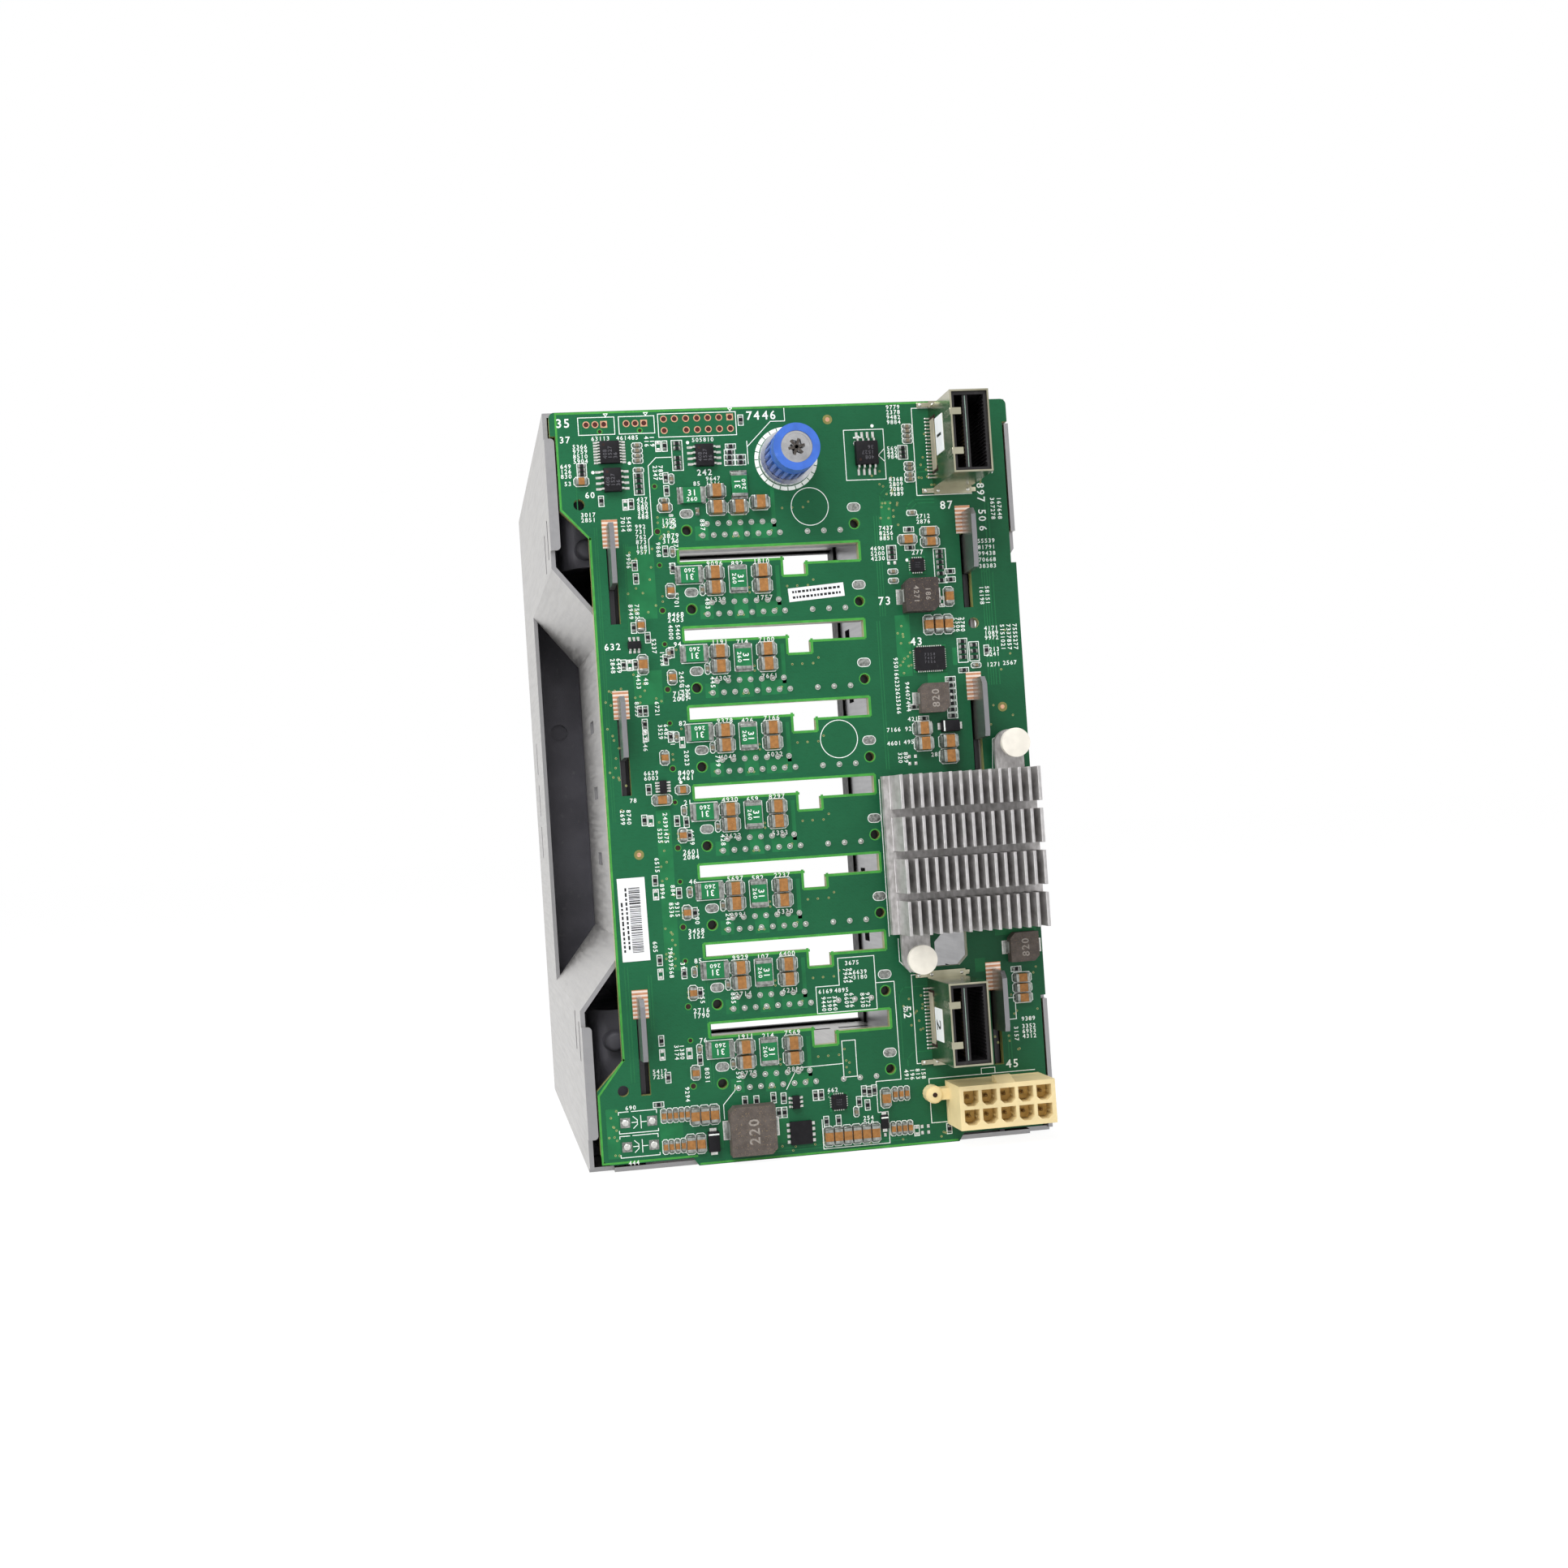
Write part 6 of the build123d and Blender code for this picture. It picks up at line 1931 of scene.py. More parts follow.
    def build(self) -> None:
        """Lays the small parts."""
        ChipField("SmallResistors", CHIP, (
            (RESISTOR, Lie.LEVEL, (*self.resistors_level, *self.resistors_framed)),
            (RESISTOR, Lie.UPRIGHT, self.resistors_upright),
        )).build()
        u, below = self.bay_micro
        in_bays = ((u, bay_v(bay) + below) for bay in range(BAY_COUNT))
        ChipField("SmallCapacitors", MICRO_BODY, (
            (MICRO_CAP, Lie.LEVEL, self.micro_level),
            (MICRO_CAP, Lie.UPRIGHT, (*self.micro_upright, *in_bays)),
        )).build()
        self.empty_places()

    def empty_places(self) -> None:
        """Lays the bare solder pads of parts that aren't fitted."""
        pair = Mould()
        for side in (-1, 1):
            pair.block((side * 0.72, 0, 0.03), (0.62, 0.78, 0.06), bevel=0.03)
            pair.dome((side * 0.72, 0, 0.05), 0.27, 0.09)
        pattern = pair.pattern()
        mould = Mould()
        mould.lay(pattern, self.empty_level, Lie.LEVEL.value)
        mould.lay(pattern, self.empty_upright, Lie.UPRIGHT.value)
        for u, v in self.round_pads:
            mould.block((u, -v, 0.03), (2.2, 2.2, 0.06), 1, bevel=0.03)
            mould.dome((u, -v, 0.05), 0.78, 0.3)
        mould.finish("EmptyPads", (TIN, SOLDER))


@dataclass
class BayHardware:
    """Solder tips, light pipes' holes and ground slots in each drive bay.

    Attributes:
        upper_tips: first u, pitch and count of the upper row of tips.
        lower_tips: u of each tip of the lower row.
        hole_u: u of the two peg holes.
        slot_u: u of the two ground slots.
        slot_run: the straight length of a ground slot.
        via_u: u of the two holes at the left, drawn as dark discs of painted shade.
    """

    upper_tips: tuple[float, float, int] = (33.4, 2.54, 7)
    lower_tips: tuple[float, ...] = (32.26, 34.8, 37.3, 39.8, 42.4, 45.0, 47.5, 49.95, 56.3, 60.1, 63.9)
    hole_u: tuple[float, float] = (28.72, 67.27)
    slot_u: tuple[float, float] = (28.9, 67.35)
    slot_run: float = 1.05
    via_u: float = 22.1

    def tip(self) -> bpy.types.Mesh:
        """Returns one soldered lead tip on its ring."""
        mould = Mould()
        mould.ring((0, 0), 0.3, 0.62, -0.02, 0.03, sides=16)
        mould.dome((0, 0, 0.0), 0.5, 0.62)
        mould.rod((0, 0), 0.27, 0.3, 0.82, sides=10, upper=0.16)
        return mould.pattern()

    def oval(self) -> bpy.types.Mesh:
        """Returns a plated ground slot, filled with solder, with its printed ring."""
        mould = Mould()
        for radius, top, slot in ((1.05, 0.03, 2), (0.9, 0.07, 4)):
            corners = []
            for end in (0, 1):
                for step in range(10):
                    angle = math.pi * (step / 9 - 0.5 + end)
                    corners.append((
                        (0.5 - end) * self.slot_run + radius * math.cos(angle),
                        radius * math.sin(angle),
                    ))
            mould.slab(corners, -0.01, top, slot)
        return mould.pattern()

    def build(self) -> None:
        """Builds the metal, and the holes as dark discs of painted shade."""
        metal, oval, tip = Mould(), self.oval(), self.tip()
        holes = Mould()
        first, pitch, count = self.upper_tips
        for bay in range(BAY_COUNT):
            h = bay_v(bay)
            metal.lay(tip, [(first + at * pitch, h - 1.3) for at in range(count)])
            metal.lay(tip, [(u, h + 1.3) for u in self.lower_tips])
            metal.lay(oval, [(u, h - 3.75) for u in self.slot_u])
            for u in self.hole_u:
                metal.ring((u, -h), 1.08, 1.32, -0.2, 0.02, 1, 28)
            for below, radius in ((0.0, 0.62), (-10.2, 0.48)):
                place = (self.via_u, -(h + below))
                # The holes are dark discs of painted shade.
                holes.rod(place, radius, -0.01, 0.012, sides=18)
                metal.ring(place, radius - 0.02, radius + 0.16, -0.01, 0.02, 1, 20)
        metal.finish("BaySolderTips", (TIN, MASK_RIM, INK, VIA_RING, SOLDER))
        holes.finish("BayViaHoles", (BORE,))


@dataclass
class CageLining:
    """Folded lips behind the hooks' slots, coloured dark as painted shade, and the liners' moulded
    fairings in the notches.

    Attributes:
        slot_tops: top of each hook's slot.
        slot_length: length of a hook's slot.
        wall_u: where the two guide walls stand.
        lip: how far a lip stands out from its wall.
        middle: u of the cage's middle.
        half: from that middle to a liner's outer side.
        section: a fairing's section, inwards from that side and out.
        fairings: top and bottom of each fairing.
        bosses: places of the bosses, inwards from that side.
    """

    slot_tops: tuple[float, ...] = (30.8, 69.2, 136.0)
    slot_length: float = 17.1
    wall_u: tuple[float, float] = (11.7, 92.5)
    lip: float = 1.5
    middle: float = 51.55
    half: float = 51.15
    section: Spots = (
        (0.2, -17.6), (2.6, -12.6), (4.4, -10.6), (8.9, -9.4),
        (8.9, -10.8), (4.9, -12), (3.4, -13.6), (0.2, -19.6),
    )
    fairings: Spots = ((3.6, 33.5), (134.5, 165.8))
    bosses: Spots = ((6.2, 29.5), (5.6, 141.5))

    def build(self) -> None:
        """Builds lips and fairings on both sides."""
        lips, liners = Mould(), Mould()
        for side, wall in zip((1, -1), self.wall_u):
            for top in self.slot_tops:
                lips.block(
                    (wall + side * (self.lip / 2 - 0.05), -(top + self.slot_length / 2), -3.15),
                    (self.lip, self.slot_length + 1.2, 0.9), bevel=0.2, segments=2,
                )
            edge = self.middle - side * self.half
            section = [(edge + side * u, h) for u, h in self.section]
            for top, bottom in self.fairings:
                liners.profile(section, -top, -bottom)
            for u, v in self.bosses:
                place = (edge + side * u, -v)
                liners.rod(place, 2.7, -12.0, -7.6, sides=32, upper=2.1, bevel=0.7)
        # The lips' dark colour is painted shade behind the slots.
        lips.finish("GuideLips", (GUIDE_LIP_SHADE,), slot="cage_steel")
        liners.finish("LinerFairings", (LINER,), slot="liner_plastic", crease=50.0)


@dataclass
class HeaderPlaces:
    """Unfitted pin headers: copper rings, square first pads, and dark discs painted as the shade inside
    the bores.

    Attributes:
        missing: which place of the double header's lower row is left out.
        focus_dots: bare copper dots, each in a clear ring.
    """

    single: tuple[float, ...] = (7.64, 9.64, 16.64, 18.64)
    single_square: tuple[float, ...] = (11.6, 20.6)
    single_v: float = 2.95
    double: tuple[float, ...] = (25.1, 27.56, 30.12, 32.64, 35.13, 37.67)
    double_square: float = 40.17
    double_v: tuple[float, float] = (2.2, 4.8)
    missing: int = 1
    vias: Spots = ((10.6, 4.6), (19.6, 4.6))
    focus_dots: Spots = ((62.6, 3.5), (13.3, 99.6), (99.2, 71.2))

    def round_place(self, mould: Mould, u: float, v: float) -> None:
        """Adds one ring with its bore, a dark disc of painted shade."""
        mould.ring((u, -v), 0.56, 0.78, -0.02, 0.03)
        mould.rod((u, -v), 0.58, -0.02, 0.012, 4, sides=20)

    def square_place(self, mould: Mould, u: float, v: float) -> None:
        """Adds one square pad with its bore, a dark disc of painted shade."""
        mould.block((u, -v, 0.005), (1.52, 1.52, 0.05), bevel=0.01)
        mould.rod((u, -v), 0.56, -0.02, 0.036, 4, sides=20)

    def build(self) -> None:
        """Makes all the header places as one piece."""
        mould = Mould()
        for u in self.single:
            self.round_place(mould, u, self.single_v)
        for u in self.single_square:
            self.square_place(mould, u, self.single_v)
        for row, v in enumerate(self.double_v):
            for at, u in enumerate(self.double):
                if not (row == 1 and at == self.missing):
                    self.round_place(mould, u, v)
        self.square_place(mould, self.double_square, self.double_v[0])
        self.round_place(mould, self.double_square, self.double_v[1])
        # The vias' dark discs are painted shade inside the holes.
        for u, v in self.vias:
            mould.ring((u, -v), 0.42, 0.66, -0.01, 0.02, 2, 20)
            mould.rod((u, -v), 0.44, -0.01, 0.012, 1, sides=18)
        for u, v in self.focus_dots:
            mould.rod((u, -v), 0.5, -0.01, 0.04, sides=18)
            mould.ring((u, -v), 0.5, 1.1, -0.01, 0.012, 3, 28)
        mould.finish("HeaderPads", (COPPER, BORE, MASK_RIM, HALO, HEADER_BORE))


@dataclass
class BoardCopper:
    """Copper that shows through the lacquer: rims, pours, traces and vias.

    Attributes:
        pours: left, top, right and bottom of each copper area.
        bay_pours: the same in each bay, from that bay's holes.
        bay_vias: places of the plated holes in each bay, from that bay's holes.
        via_fields: left, top, right, bottom and count of scattered plated holes.
        verticals: u of each trace that runs up the board, with its top and bottom.
        bends: the corners of each other trace.
    """

    pours: Rows = (
        (17.6, 90, 20.9, 126), (2.2, 155.5, 5, 166.5), (14, 157.6, 19.2, 166),
        (14.6, 30.6, 20.9, 47), (14.6, 58.6, 21, 66.2), (75.2, 49, 78.6, 63),
        (22.2, 24.2, 26.2, 31.4), (73.6, 22.6, 76, 28.6), (88.2, 57, 89.2, 61),
        (26.9, 158.8, 28.1, 166.2), (40.2, 160, 43.2, 166.4), (82, 62.6, 86.8, 66.6),
        (93.8, 120.4, 103.6, 123.6), (88.6, 128.5, 91, 131.6),
    )
    bay_pours: Rows = (
        (30.6, -0.8, 33.6, 2.4), (38.4, -3.2, 41.6, 2.6), (43.4, -0.9, 49.2, 2.4),
        (48.3, -9, 49.2, 0),
    )
    bay_vias: Spots = (
        (50.8, -4.2), (53.1, -4.2), (55.6, -4.2), (56.9, -5.4), (42.1, -4.3), (42.1, -3.2),
        (24.6, -8.8), (22.3, -3.2), (22.3, -2), (31.6, 1.2), (39.2, 1.8), (40.4, 1.8), (48, 0.8),
    )
    via_fields: Rows = (
        (8, 60, 10.5, 84, 14), (14.6, 31, 20.8, 46, 16),
        (14.6, 59, 21, 66, 8), (17.8, 91, 20.7, 125, 22), (75.4, 49.6, 78.4, 62.4, 14),
        (72, 8, 79, 24, 10), (82.5, 5, 86, 20, 10), (96, 10, 98.5, 22, 6),
        (73.5, 22.8, 80, 32, 14), (2.4, 156, 4.8, 166.2, 10), (30, 166.6, 80, 168.4, 16),
        (71, 134, 77, 150, 12), (92, 128, 104, 152, 14), (96, 52, 103, 84, 10),
        (8.6, 61, 13.5, 92, 8), (22.4, 24.5, 26, 31, 6), (56.5, 145, 59, 152.6, 4),
    )
    verticals: Sequence[tuple[tuple[float, ...], float, float]] = (
        ((8, 8.5), 26, 92), ((14.3, 14.75), 30, 50), ((15.2,), 30, 47),
        ((71.9, 72.5, 73.1), 26, 49), ((96.4, 97, 97.6, 98.2), 38, 66),
        ((99,), 40, 66), ((26.2, 26.8), 120, 152), ((71, 71.6), 50, 84),
        ((102.6, 101.8), 94, 118), ((13.6, 14.2), 126.5, 139), ((95.2, 95.9), 146.5, 152),
    )
    bends: Sequence[Spots] = (
        ((86.2, 15), (81.6, 15.4), (79.6, 17.4), (77.2, 17.6), (73.6, 21.2), (73.6, 32.4)),
        ((86.2, 16), (82, 16.4), (80.2, 18.2), (77.8, 18.4), (74.4, 21.8), (74.4, 32.4)),
        ((86.2, 22.6), (81.6, 22.6), (79.8, 24), (79.8, 26.2)),
        ((86.2, 23.4), (82.2, 23.4), (80.6, 24.8), (80.6, 26.2)),
        ((96.6, 22), (98.2, 23.6), (98.2, 38), (96.4, 40)),
        ((97.4, 22), (99, 23.6), (99, 38), (97.2, 40)),
        ((77.6, 133.8), (71.6, 133.8), (70.4, 135), (70.4, 150)),
        ((77.6, 148.6), (72.8, 148.6), (71.4, 150), (71.4, 151.6)),
        ((6.5, 2), (6.5, 8.6), (4.6, 10.5), (4.6, 22)),
        ((24.4, 2.2), (23.4, 3.2), (23.4, 7.2)),
        ((8.4, 124.4), (8.4, 150)), ((9.1, 124.4), (9.1, 150)),
        ((30, 168.2), (70, 168.2)), ((30, 167.6), (70, 167.6)),
    )

    def windows(self, mould: Mould) -> None:
        """Adds the pale lacquer rims round the windows between the bays.

        Args:
            mould: the rims' mould.
        """
        for bay in range(BAY_COUNT - 1):
            h = bay_v(bay)
            self.rim(mould, (
                (26.7, h + 4.35), (67.8, h + 4.35), (67.8, h + 8.2), (55.3, h + 8.2), (55.3, h + 10.95),
                (50.2, h + 10.95), (50.2, h + 7.05), (26.7, h + 7.05),
            ), 0.56)

    @staticmethod
    def rim(mould: Mould, corners: Spots, width: float) -> None:
        """Adds strips beside a closed outline, on its outer side.

        Args:
            mould: where they go.
            corners: the outline, clockwise as seen.
            width: the strips' width.
        """
        path = list(corners) + [corners[0]]
        for at, (start, end) in enumerate(zip(path, path[1:])):
            along = (Vector(end) - Vector(start)).normalized()
            away = Vector((along.y, -along.x)) * (width / 2)
            top = 0.014 + 0.0015 * (at % 5)
            mould.strip(Vector(start) + away, Vector(end) + away, width, top, extra=width)

    @staticmethod
    def edge(mould: Mould) -> None:
        """Adds the pale rim along the board's own outline.

        Args:
            mould: the rims' mould.
        """
        for run in (
            ((6.95, 28.6), (0.9, 21.8), (0.9, 0.3), (98, 0.3)),
            ((6.95, 145), (6.95, 28.4)),
            ((6.95, 144.8), (0.9, 152.4), (0.9, 167.5), (22, 167.5)),
            ((22.7, BOARD_HEIGHT - 0.35), (81.8, BOARD_HEIGHT - 0.35)),
        ):
            for at, (start, end) in enumerate(zip(run, run[1:])):
                mould.strip(start, end, 0.45, 0.019 + 0.001 * at, extra=0.3)

    def build(self) -> None:
        """Builds the copper in four pieces."""
        rims = Mould()
        self.windows(rims)
        self.edge(rims)
        rims.finish("BoardRims", (MASK_RIM,))
        pours = Mould()
        for left, top, right, bottom in self.pours:
            middle = ((left + right) / 2, -(top + bottom) / 2, 0.0)
            pours.block(middle, (right - left, bottom - top, 0.02))
        for bay in range(BAY_COUNT):
            for left, top, right, bottom in self.bay_pours:
                middle = ((left + right) / 2, -(bay_v(bay) + (top + bottom) / 2), -0.001)
                pours.block(middle, (right - left, bottom - top, 0.02))
        pours.finish("BoardPours", (MASK_POUR,))
        self.traces()
        self.vias()

    def traces(self) -> None:
        """Makes the raised traces."""
        mould = Mould()
        for row, top, bottom in self.verticals:
            for u in row:
                mould.block((u, -(top + bottom) / 2, 0.0), (0.22, bottom - top, 0.024))
        for path in self.bends:
            for start, end in zip(path, path[1:]):
                mould.strip(start, end, 0.22, 0.013, extra=0.2)
        mould.finish("BoardTraces", (MASK_TRACE,))

    def vias(self) -> None:
        """Makes the plated holes, by bay and scattered near the chips."""
        ring = Mould()
        ring.ring((0, 0), 0.13, 0.26, -0.01, 0.022, sides=10)
        # Each via's dark centre is a disc of painted shade inside the hole.
        ring.rod((0, 0), 0.14, -0.01, 0.008, 1, sides=10)
        pattern = ring.pattern()
        mould = Mould()
        pick = random.Random(5)
        for bay in range(BAY_COUNT):
            mould.lay(pattern, [(u, bay_v(bay) + below) for u, below in self.bay_vias])
        for left, top, right, bottom, count in self.via_fields:
            mould.lay(pattern, [
                (pick.uniform(left, right), pick.uniform(top, bottom)) for _ in range(count)
            ])
        mould.finish("BoardVias", (VIA_RING, BORE))


@dataclass
class CableConnector:
    """Feet, contacts, insert and label of one upright cable connector.

    Attributes:
        name: the first word of its pieces' names.
        u: its middle from the left.
        v: its middle from the top.
        mark: the plain number on its label.
        label: the label's top and bottom, from the middle.
    """

    name: str
    u: float
    v: float
    mark: int
    label: tuple[float, float]
    width: float = 8.9
    length: float = 18.3
    height: float = 20.0
    contacts: int = 18
    pitch: float = 0.8

    def build(self) -> None:
        """Builds the metal, the contacts and the label."""
        self.metal()
        self.contact_rows()
        self.side_label()

    @property
    def left(self) -> float:
        """The left face, from the board's left."""
        return self.u - self.width / 2

    def metal(self) -> None:
        """Makes bright sheared edges, feet, springs and soldered tails."""
        left, right, y = self.left, self.u + self.width / 2, -self.v
        half = self.length / 2
        mould = Mould()
        rim = self.height - 0.06
        for u in (left + 0.12, right - 0.12):
            mould.block((u, y, rim), (0.24, self.length, 0.1), bevel=0.04)
        for at in (-1, 1):
            side = (self.u, y + at * (half - 0.12), rim)
            mould.block(side, (self.width - 0.3, 0.24, 0.1), bevel=0.04)
            foot = y + at * (half + 0.75)
            mould.block(
                (self.u - 0.9, foot, 0.45), (self.width + 3.8, 1.1, 0.5), 2, bevel=0.12, segments=2,
            )
            for u in (left - 2.0, left + 1.0, right - 0.9):
                mould.dome((u, foot, 0.72), 0.42, 0.3, 1)
        for share in (0.26, 0.74):
            spot = y - (share - 0.5) * self.length
            spring = (left + 0.95, spot, self.height - 0.19)
            mould.block(spring, (2.3, 1.5, 0.34), bevel=0.12, segments=2)
            mould.block((left + 0.05, spot, self.height - 2.6), (0.3, 1.5, 5.0), bevel=0.1)
        for spot in self.contact_spots():
            mould.block((left - 0.55, spot, 0.12), (1.1, 0.34, 0.2), 1, bevel=0.05)
            mould.dome((left - 0.85, spot, 0.14), 0.26, 0.2, 1)
        mould.finish(self.name + "Metal", (COVER_EDGE, TIN, COVER))

    def contact_spots(self) -> list[float]:
        """Returns -v of every contact."""
        return [
            -self.v + (at - (self.contacts - 1) / 2) * self.pitch for at in range(self.contacts)
        ]

    def contact_rows(self) -> None:
        """Makes the painted highlight along the tongue's edge, its contacts, and the slots of the left
        face as dark blocks of painted shade.
        """
        left, y = self.left, -self.v
        mould = Mould()
        tongue = left + 1.1 + 0.38 * (self.width - 2.2)
        # Painted highlight: a pale strip along the tongue's top edge.
        mould.block((tongue, y, 19.02), (0.16, self.length - 2.4, 0.08), bevel=0.02)
        for spot in self.contact_spots():
            for side in (-1, 1):
                mould.block((tongue + side * 0.62, spot, 12.6), (0.12, 0.36, 12.0), 1)
            mould.block((left + self.width - 1.16, spot, 13.0), (0.2, 0.3, 12.2), 2)
        mould.block((left - 0.02, y + 0.3, 3.0), (0.24, 11.6, 3.4), 3, bevel=0.05)
        # The slots on the left face are dark blocks of painted shade.
        for spot in (6.4, -5.9):
            mould.block((left - 0.03, y + spot, 3.4), (0.16, 0.55, 4.6), 4, bevel=0.04)
            mould.block((left - 0.03, y + spot * 0.93, 5.3), (0.16, 1.2, 0.6), 4, bevel=0.04)
        finishes = (TONGUE_HIGHLIGHT, CONTACT, JACK_BLACK, INSERT_GREY, BORE)
        mould.finish(self.name + "Contacts", finishes)

    def side_label(self) -> None:
        """Makes the paper label on the left face with its number."""
        top, bottom = self.label
        middle = -(self.v + (top + bottom) / 2)
        mould = Mould()
        mould.block((self.left - 0.05, middle, 9.2), (0.14, bottom - top, 6.6), bevel=0.04)
        upended = Matrix(((0, 0, 1, 0), (-1, 0, 0, 0), (0, 1, 0, 0), (0, 0, 0, 1)))
        place = Matrix.Translation((self.left - 0.125, middle + 1.2, 7.3))
        figure = bmesh.new()
        figure.from_mesh(FIGURES.figure(self.mark))
        figure.transform(place @ upended @ Matrix.Diagonal((3.4, 3.4, 1.5, 1.0)))
        mould.take(figure, 1)
        mould.finish(self.name + "Label", (PAPER, PRINT))


@dataclass
class PowerHeaderTrim:
    """Terminals, mould lines and the soldered peg of the cream power header."""

    left: float = 79.7
    top: float = 155.6
    width: float = 22.1
    length: float = 9.8
    height: float = 12.8
    pitch: float = 4.2
    columns: int = 5
    well: float = 3.45

    def build(self) -> None:
        """Builds the terminals and the housing's small forms."""
        span_u = (self.columns - 1) * self.pitch + self.well
        span_v = self.pitch + self.well
        first_u = self.left + (self.width - span_u) / 2
        first_v = self.top + (self.length - span_v) / 2
        metal, nylon = Mould(), Mould()
        for row in range(2):
            for column in range(self.columns):
                u = first_u + column * self.pitch + self.well / 2
                v = first_v + row * self.pitch + self.well / 2
                nylon.block((u, -v, 8.0), (self.well - 0.1, self.well - 0.1, 1.2), 2, bevel=0.1)
                metal.block((u, -v, 9.2), (0.62, 0.62, 1.6), bevel=0.15)
                for side in (-1, 1):
                    nylon.block((u + side * 1.62, -v - 0.2, 6.4), (0.24, 0.6, 8.0), bevel=0.08)
        middle = -(self.top + self.length / 2)
        for column in range(1, self.columns):
            u = first_u + column * self.pitch - (self.pitch - self.well) / 2
            nylon.block((u, middle, self.height - 0.05), (0.4, self.length - 1.2, 0.08), bevel=0.03)
        for side in (0.0, self.length):
            wall = (self.left + self.width / 2, -(self.top + side), 1.1)
            nylon.block(wall, (self.width - 1.0, 0.16, 1.2), bevel=0.05)
        nylon.block((self.left, middle, 1.1), (0.16, self.length - 1.0, 1.2), bevel=0.05)
        peg = (self.left - 3.4, -(self.top + 2.6))
        nylon.rod(peg, 1.75, 3.3, 3.85, sides=24, bevel=0.2)
        # The peg's dark centre is a disc of painted shade in its hole.
        nylon.rod(peg, 0.55, 3.8, 3.95, 1, sides=14)
        metal.finish("PowerTerminals", (BRASS,), slot="terminal_brass")
        nylon.finish("PowerHeaderTrim", (POWER, BORE, POWER_SEAT), slot="power_nylon")


@dataclass
class PinHeads:
    """Rounded heads and springs of the heat sink's push pins."""

    places: Spots = ((99.0, 79.9), (74.2, 127.1))

    def build(self) -> None:
        """Builds both heads and the springs under them."""
        heads, springs = Mould(), Mould()
        for u, v in self.places:
            heads.rod((u, -v), 3.3, 8.58, 9.9, sides=40, upper=3.28, bevel=0.35)
            heads.dome((u, -v, 9.8), 3.0, 0.22)
            heads.rod((u, -v), 0.42, 9.8, 10.0, sides=18)
            for turn in range(4):
                springs.ring((u, -v), 1.75, 2.15, 5.3 + 0.8 * turn, 5.65 + 0.8 * turn)
        heads.finish("PushPinHeads", (PIN_NYLON,), slot="pin_nylon")
        springs.finish("PushPinSprings", (SCREW_STEEL,), slot="screw_steel")


@dataclass
class SinkTrim:
    """Saw cut tops and rolled edges of the heat sink's fins.

    Attributes:
        u: the sink's middle from the left.
        v: its middle from the top.
        side: its width.
        length: its length.
        columns: how many fins stand side by side.
        rows: how many fins stand end to end.
        fin: a fin's thickness.
        margin: from the sink's side to its first fin.
        gap: the saw cut between two rows.
    """

    u: float = 86.6
    v: float = 103.5
    side: float = 35.6
    length: float = 35.8
    columns: int = 15
    rows: int = 4
    fin: float = 0.65
    margin: float = 1.7
    gap: float = 1.75

    def build(self) -> None:
        """Makes bright caps and broad feet on every fin."""
        mould = Mould()
        run = (self.length - (self.rows - 1) * self.gap) / self.rows
        pitch = (self.side - 2 * self.margin - self.fin) / (self.columns - 1)
        left, top = self.u - self.side / 2, self.v - self.length / 2
        for column in range(self.columns):
            for row in range(self.rows):
                u = left + self.margin + column * pitch + self.fin / 2
                v = top + row * (run + self.gap) + run / 2
                mould.block((u, -v, 14.95), (0.69, run + 0.04, 0.26), bevel=0.08)
                mould.block((u, -v, 5.05), (1.3, run + 0.1, 0.3), bevel=0.1)
        mould.finish("HeatSinkCaps", (SINK_BRIGHT,), slot="sink_aluminium")


@dataclass
class Screw:
    """Ticks round the screw's flange and the knob's moulded details."""

    u: float = 52.44
    v: float = 12.13
    ticks: int = 24
    ribs: int = 20

    def spokes(
        self, mould: Mould, angles: Iterable[float], radius: float, height: float,
        size: Sequence[float], bevel: float = 0.0,
    ) -> None:
        """Adds blocks in a ring round the screw's axis.

        Args:
            mould: where they go.
            angles: how far each is turned to the left, in degrees.
            radius: from the axis to a block's middle.
            height: the blocks' middle over the board.
            size: a block's sides, outwards, along the ring and up.
            bevel: width of the cut along their edges.
        """
        for turn in angles:
            angle = math.radians(turn)
            spot = (self.u + radius * math.cos(angle), -self.v + radius * math.sin(angle), height)
            mould.block(spot, size, 1, bevel=bevel, segments=2, turn=turn)

    def build(self) -> None:
        """Builds flange steps, knob ribs and the screw's head, each on its own body."""
        place = (self.u, -self.v)
        flange = Mould()
        flange.ring(place, 5.7, 6.22, 1.9, 2.34, sides=64)
        flange.ring(place, 4.3, 5.5, 2.2, 2.42, sides=64)
        ticks = [360 * at / self.ticks for at in range(self.ticks)]
        self.spokes(flange, ticks, 6.85, 0.02, (0.85, 0.18, 0.05))
        flange.finish("FerruleSteps", (FERRULE, MASK), slot="ferrule_steel")
        knob = Mould()
        knob.ring(place, 4.35, 5.23, 14.25, 14.66, sides=64)
        knob.ring(place, 5.1, 5.33, 10.3, 10.62, sides=64)
        # The ribs are a darker blue as painted shade of the grooves between them.
        ribs = [360 * (at + 0.5) / self.ribs for at in range(self.ribs)]
        self.spokes(knob, ribs, 5.1, 6.5, (0.36, 0.5, 7.3), bevel=0.1)
        knob.finish("KnobRibs", (KNOB, KNOB_GROOVE), body=SCREW, slot="knob_plastic")
        head = Mould()
        head.ring(place, 3.0, 3.5, 14.22, 14.42, sides=48)
        # The dark ring and the three bars are painted shade in the gap round the head and in its drive
        # recess.
        head.ring(place, 3.5, 3.9, 14.2, 14.34, 1, 48)
        self.spokes(head, (12, 72, 132), 0.0, 14.3, (3.8, 0.6, 0.06))
        head.finish("ScrewHeadRim", (SCREW_STEEL, HEAD_SLOT), body=SCREW, slot="screw_steel")


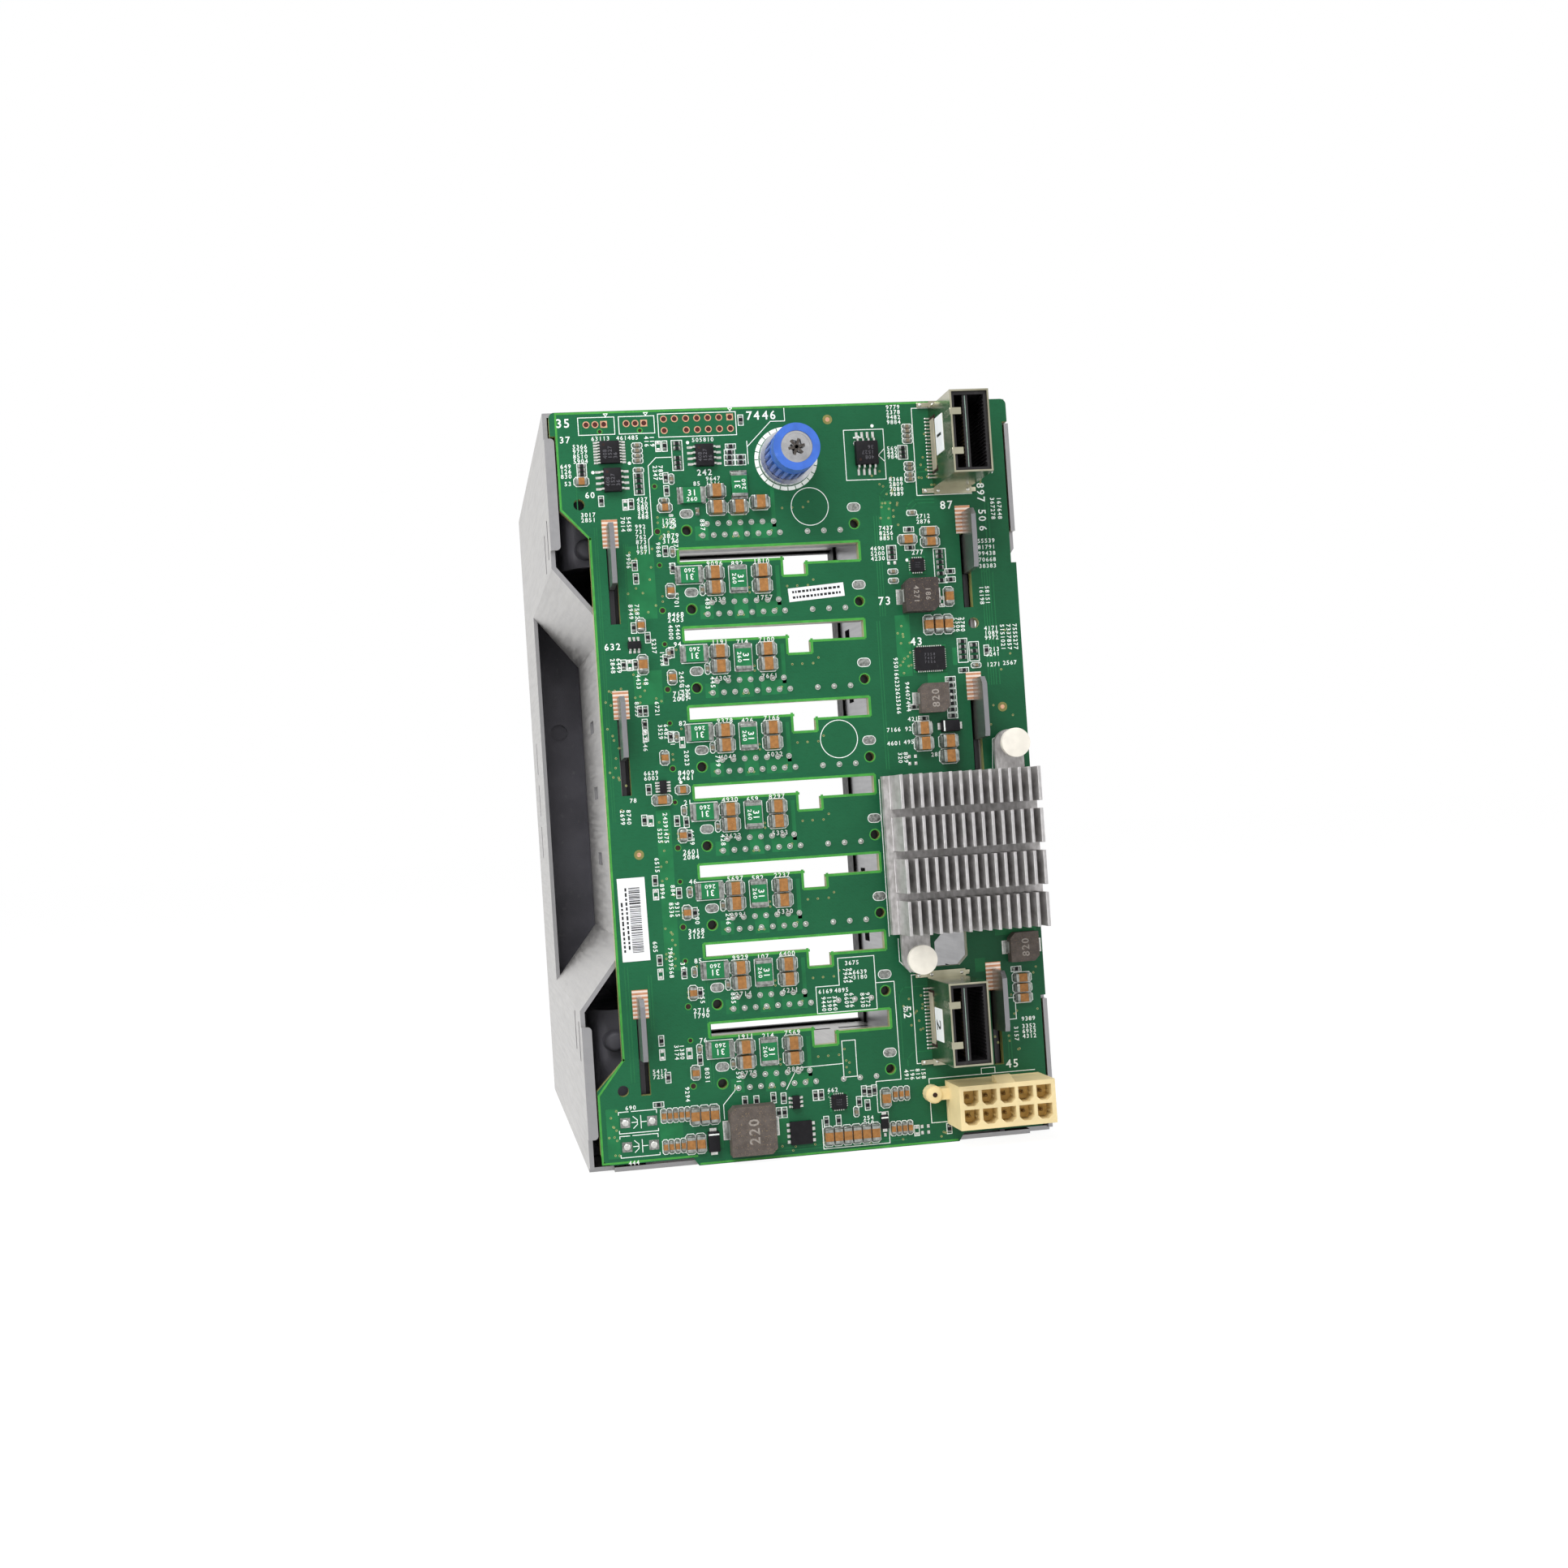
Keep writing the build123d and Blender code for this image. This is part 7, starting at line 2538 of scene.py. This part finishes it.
@dataclass
class Stickers:
    """The two paper labels with plain bars in place of print.

    Attributes:
        tall: u, v, width, length and turn of the label at the left.
        small: the same of the one between the bays.
    """

    tall: tuple[float, ...] = (11.15, 113.9, 6.2, 18.6, 0.6)
    small: tuple[float, ...] = (57.4, 42.8, 12.9, 3.1, 4.0)

    @staticmethod
    def sheet(width: float, length: float) -> Mould:
        """Returns a mould with one sheet."""
        mould = Mould()
        mould.block((0, 0, 0.045), (width, length, 0.09), bevel=0.03)
        return mould

    def build(self) -> None:
        """Makes both labels as one piece."""
        pick = random.Random(23)
        _, _, width, length, _ = self.tall
        tall = self.sheet(width, length)
        at = length / 2 - 2.3
        while at > -length / 2 + 2.0:
            bar = pick.choice((0.1, 0.14, 0.2, 0.28))
            tall.block((0.55, at, 0.096), (2.5, bar, 0.008), 1)
            at -= bar + pick.choice((0.1, 0.16, 0.24))
        for row, (start, end) in enumerate(((-6.6, 6.9), (-7.2, 4.0))):
            at = start
            while at < end:
                run = pick.uniform(0.5, 1.1)
                tall.block((-1.35 - row * 1.05, at + run / 2, 0.096), (0.42, run, 0.008), 1)
                at += run + 0.34
        _, _, width, length, _ = self.small
        small = self.sheet(width, length)
        for row in (-0.62, 0.62):
            at = -width / 2 + 0.9
            while at < width / 2 - 1.2:
                run = pick.uniform(0.35, 0.85)
                small.block((at + run / 2, row, 0.096), (run, 0.55, 0.008), 1)
                at += run + 0.26
        mould = Mould()
        for sheet, (u, v, _, _, turn) in ((tall, self.tall), (small, self.small)):
            mould.stamp(sheet.pattern(), u, v, turn)
        mould.finish("BoardLabels", (PAPER, PRINT), slot="label_paper", replaces=("labels",))


def main() -> None:
    """Builds the studio and every sub-assembly in order."""
    logging.basicConfig(level=logging.INFO, format="%(name)s %(message)s")
    bpy.context.scene.view_settings.view_transform = "Standard"
    dress_frame()
    Studio().build()
    for assembly in (
        BoardCopper(), HeaderPlaces(), LegendPlan(), BayHardware(), CageLining(), Capacitors(),
        Polyfuses(), Chips(), Diodes(), CoilClips(), SmallParts(),
        CableConnector("CableOut", 90.7, 10.9, 1, (-5.6, 2.8)),
        CableConnector("CableIn", 81.6, bay_v(6) + 7.02, 2, (-3.0, 4.4)),
        PowerHeaderTrim(), PinHeads(), SinkTrim(), Screw(), Stickers(),
    ):
        LOG.info("building %s", type(assembly).__name__)
        assembly.build()


if __name__ == "__main__":
    main()
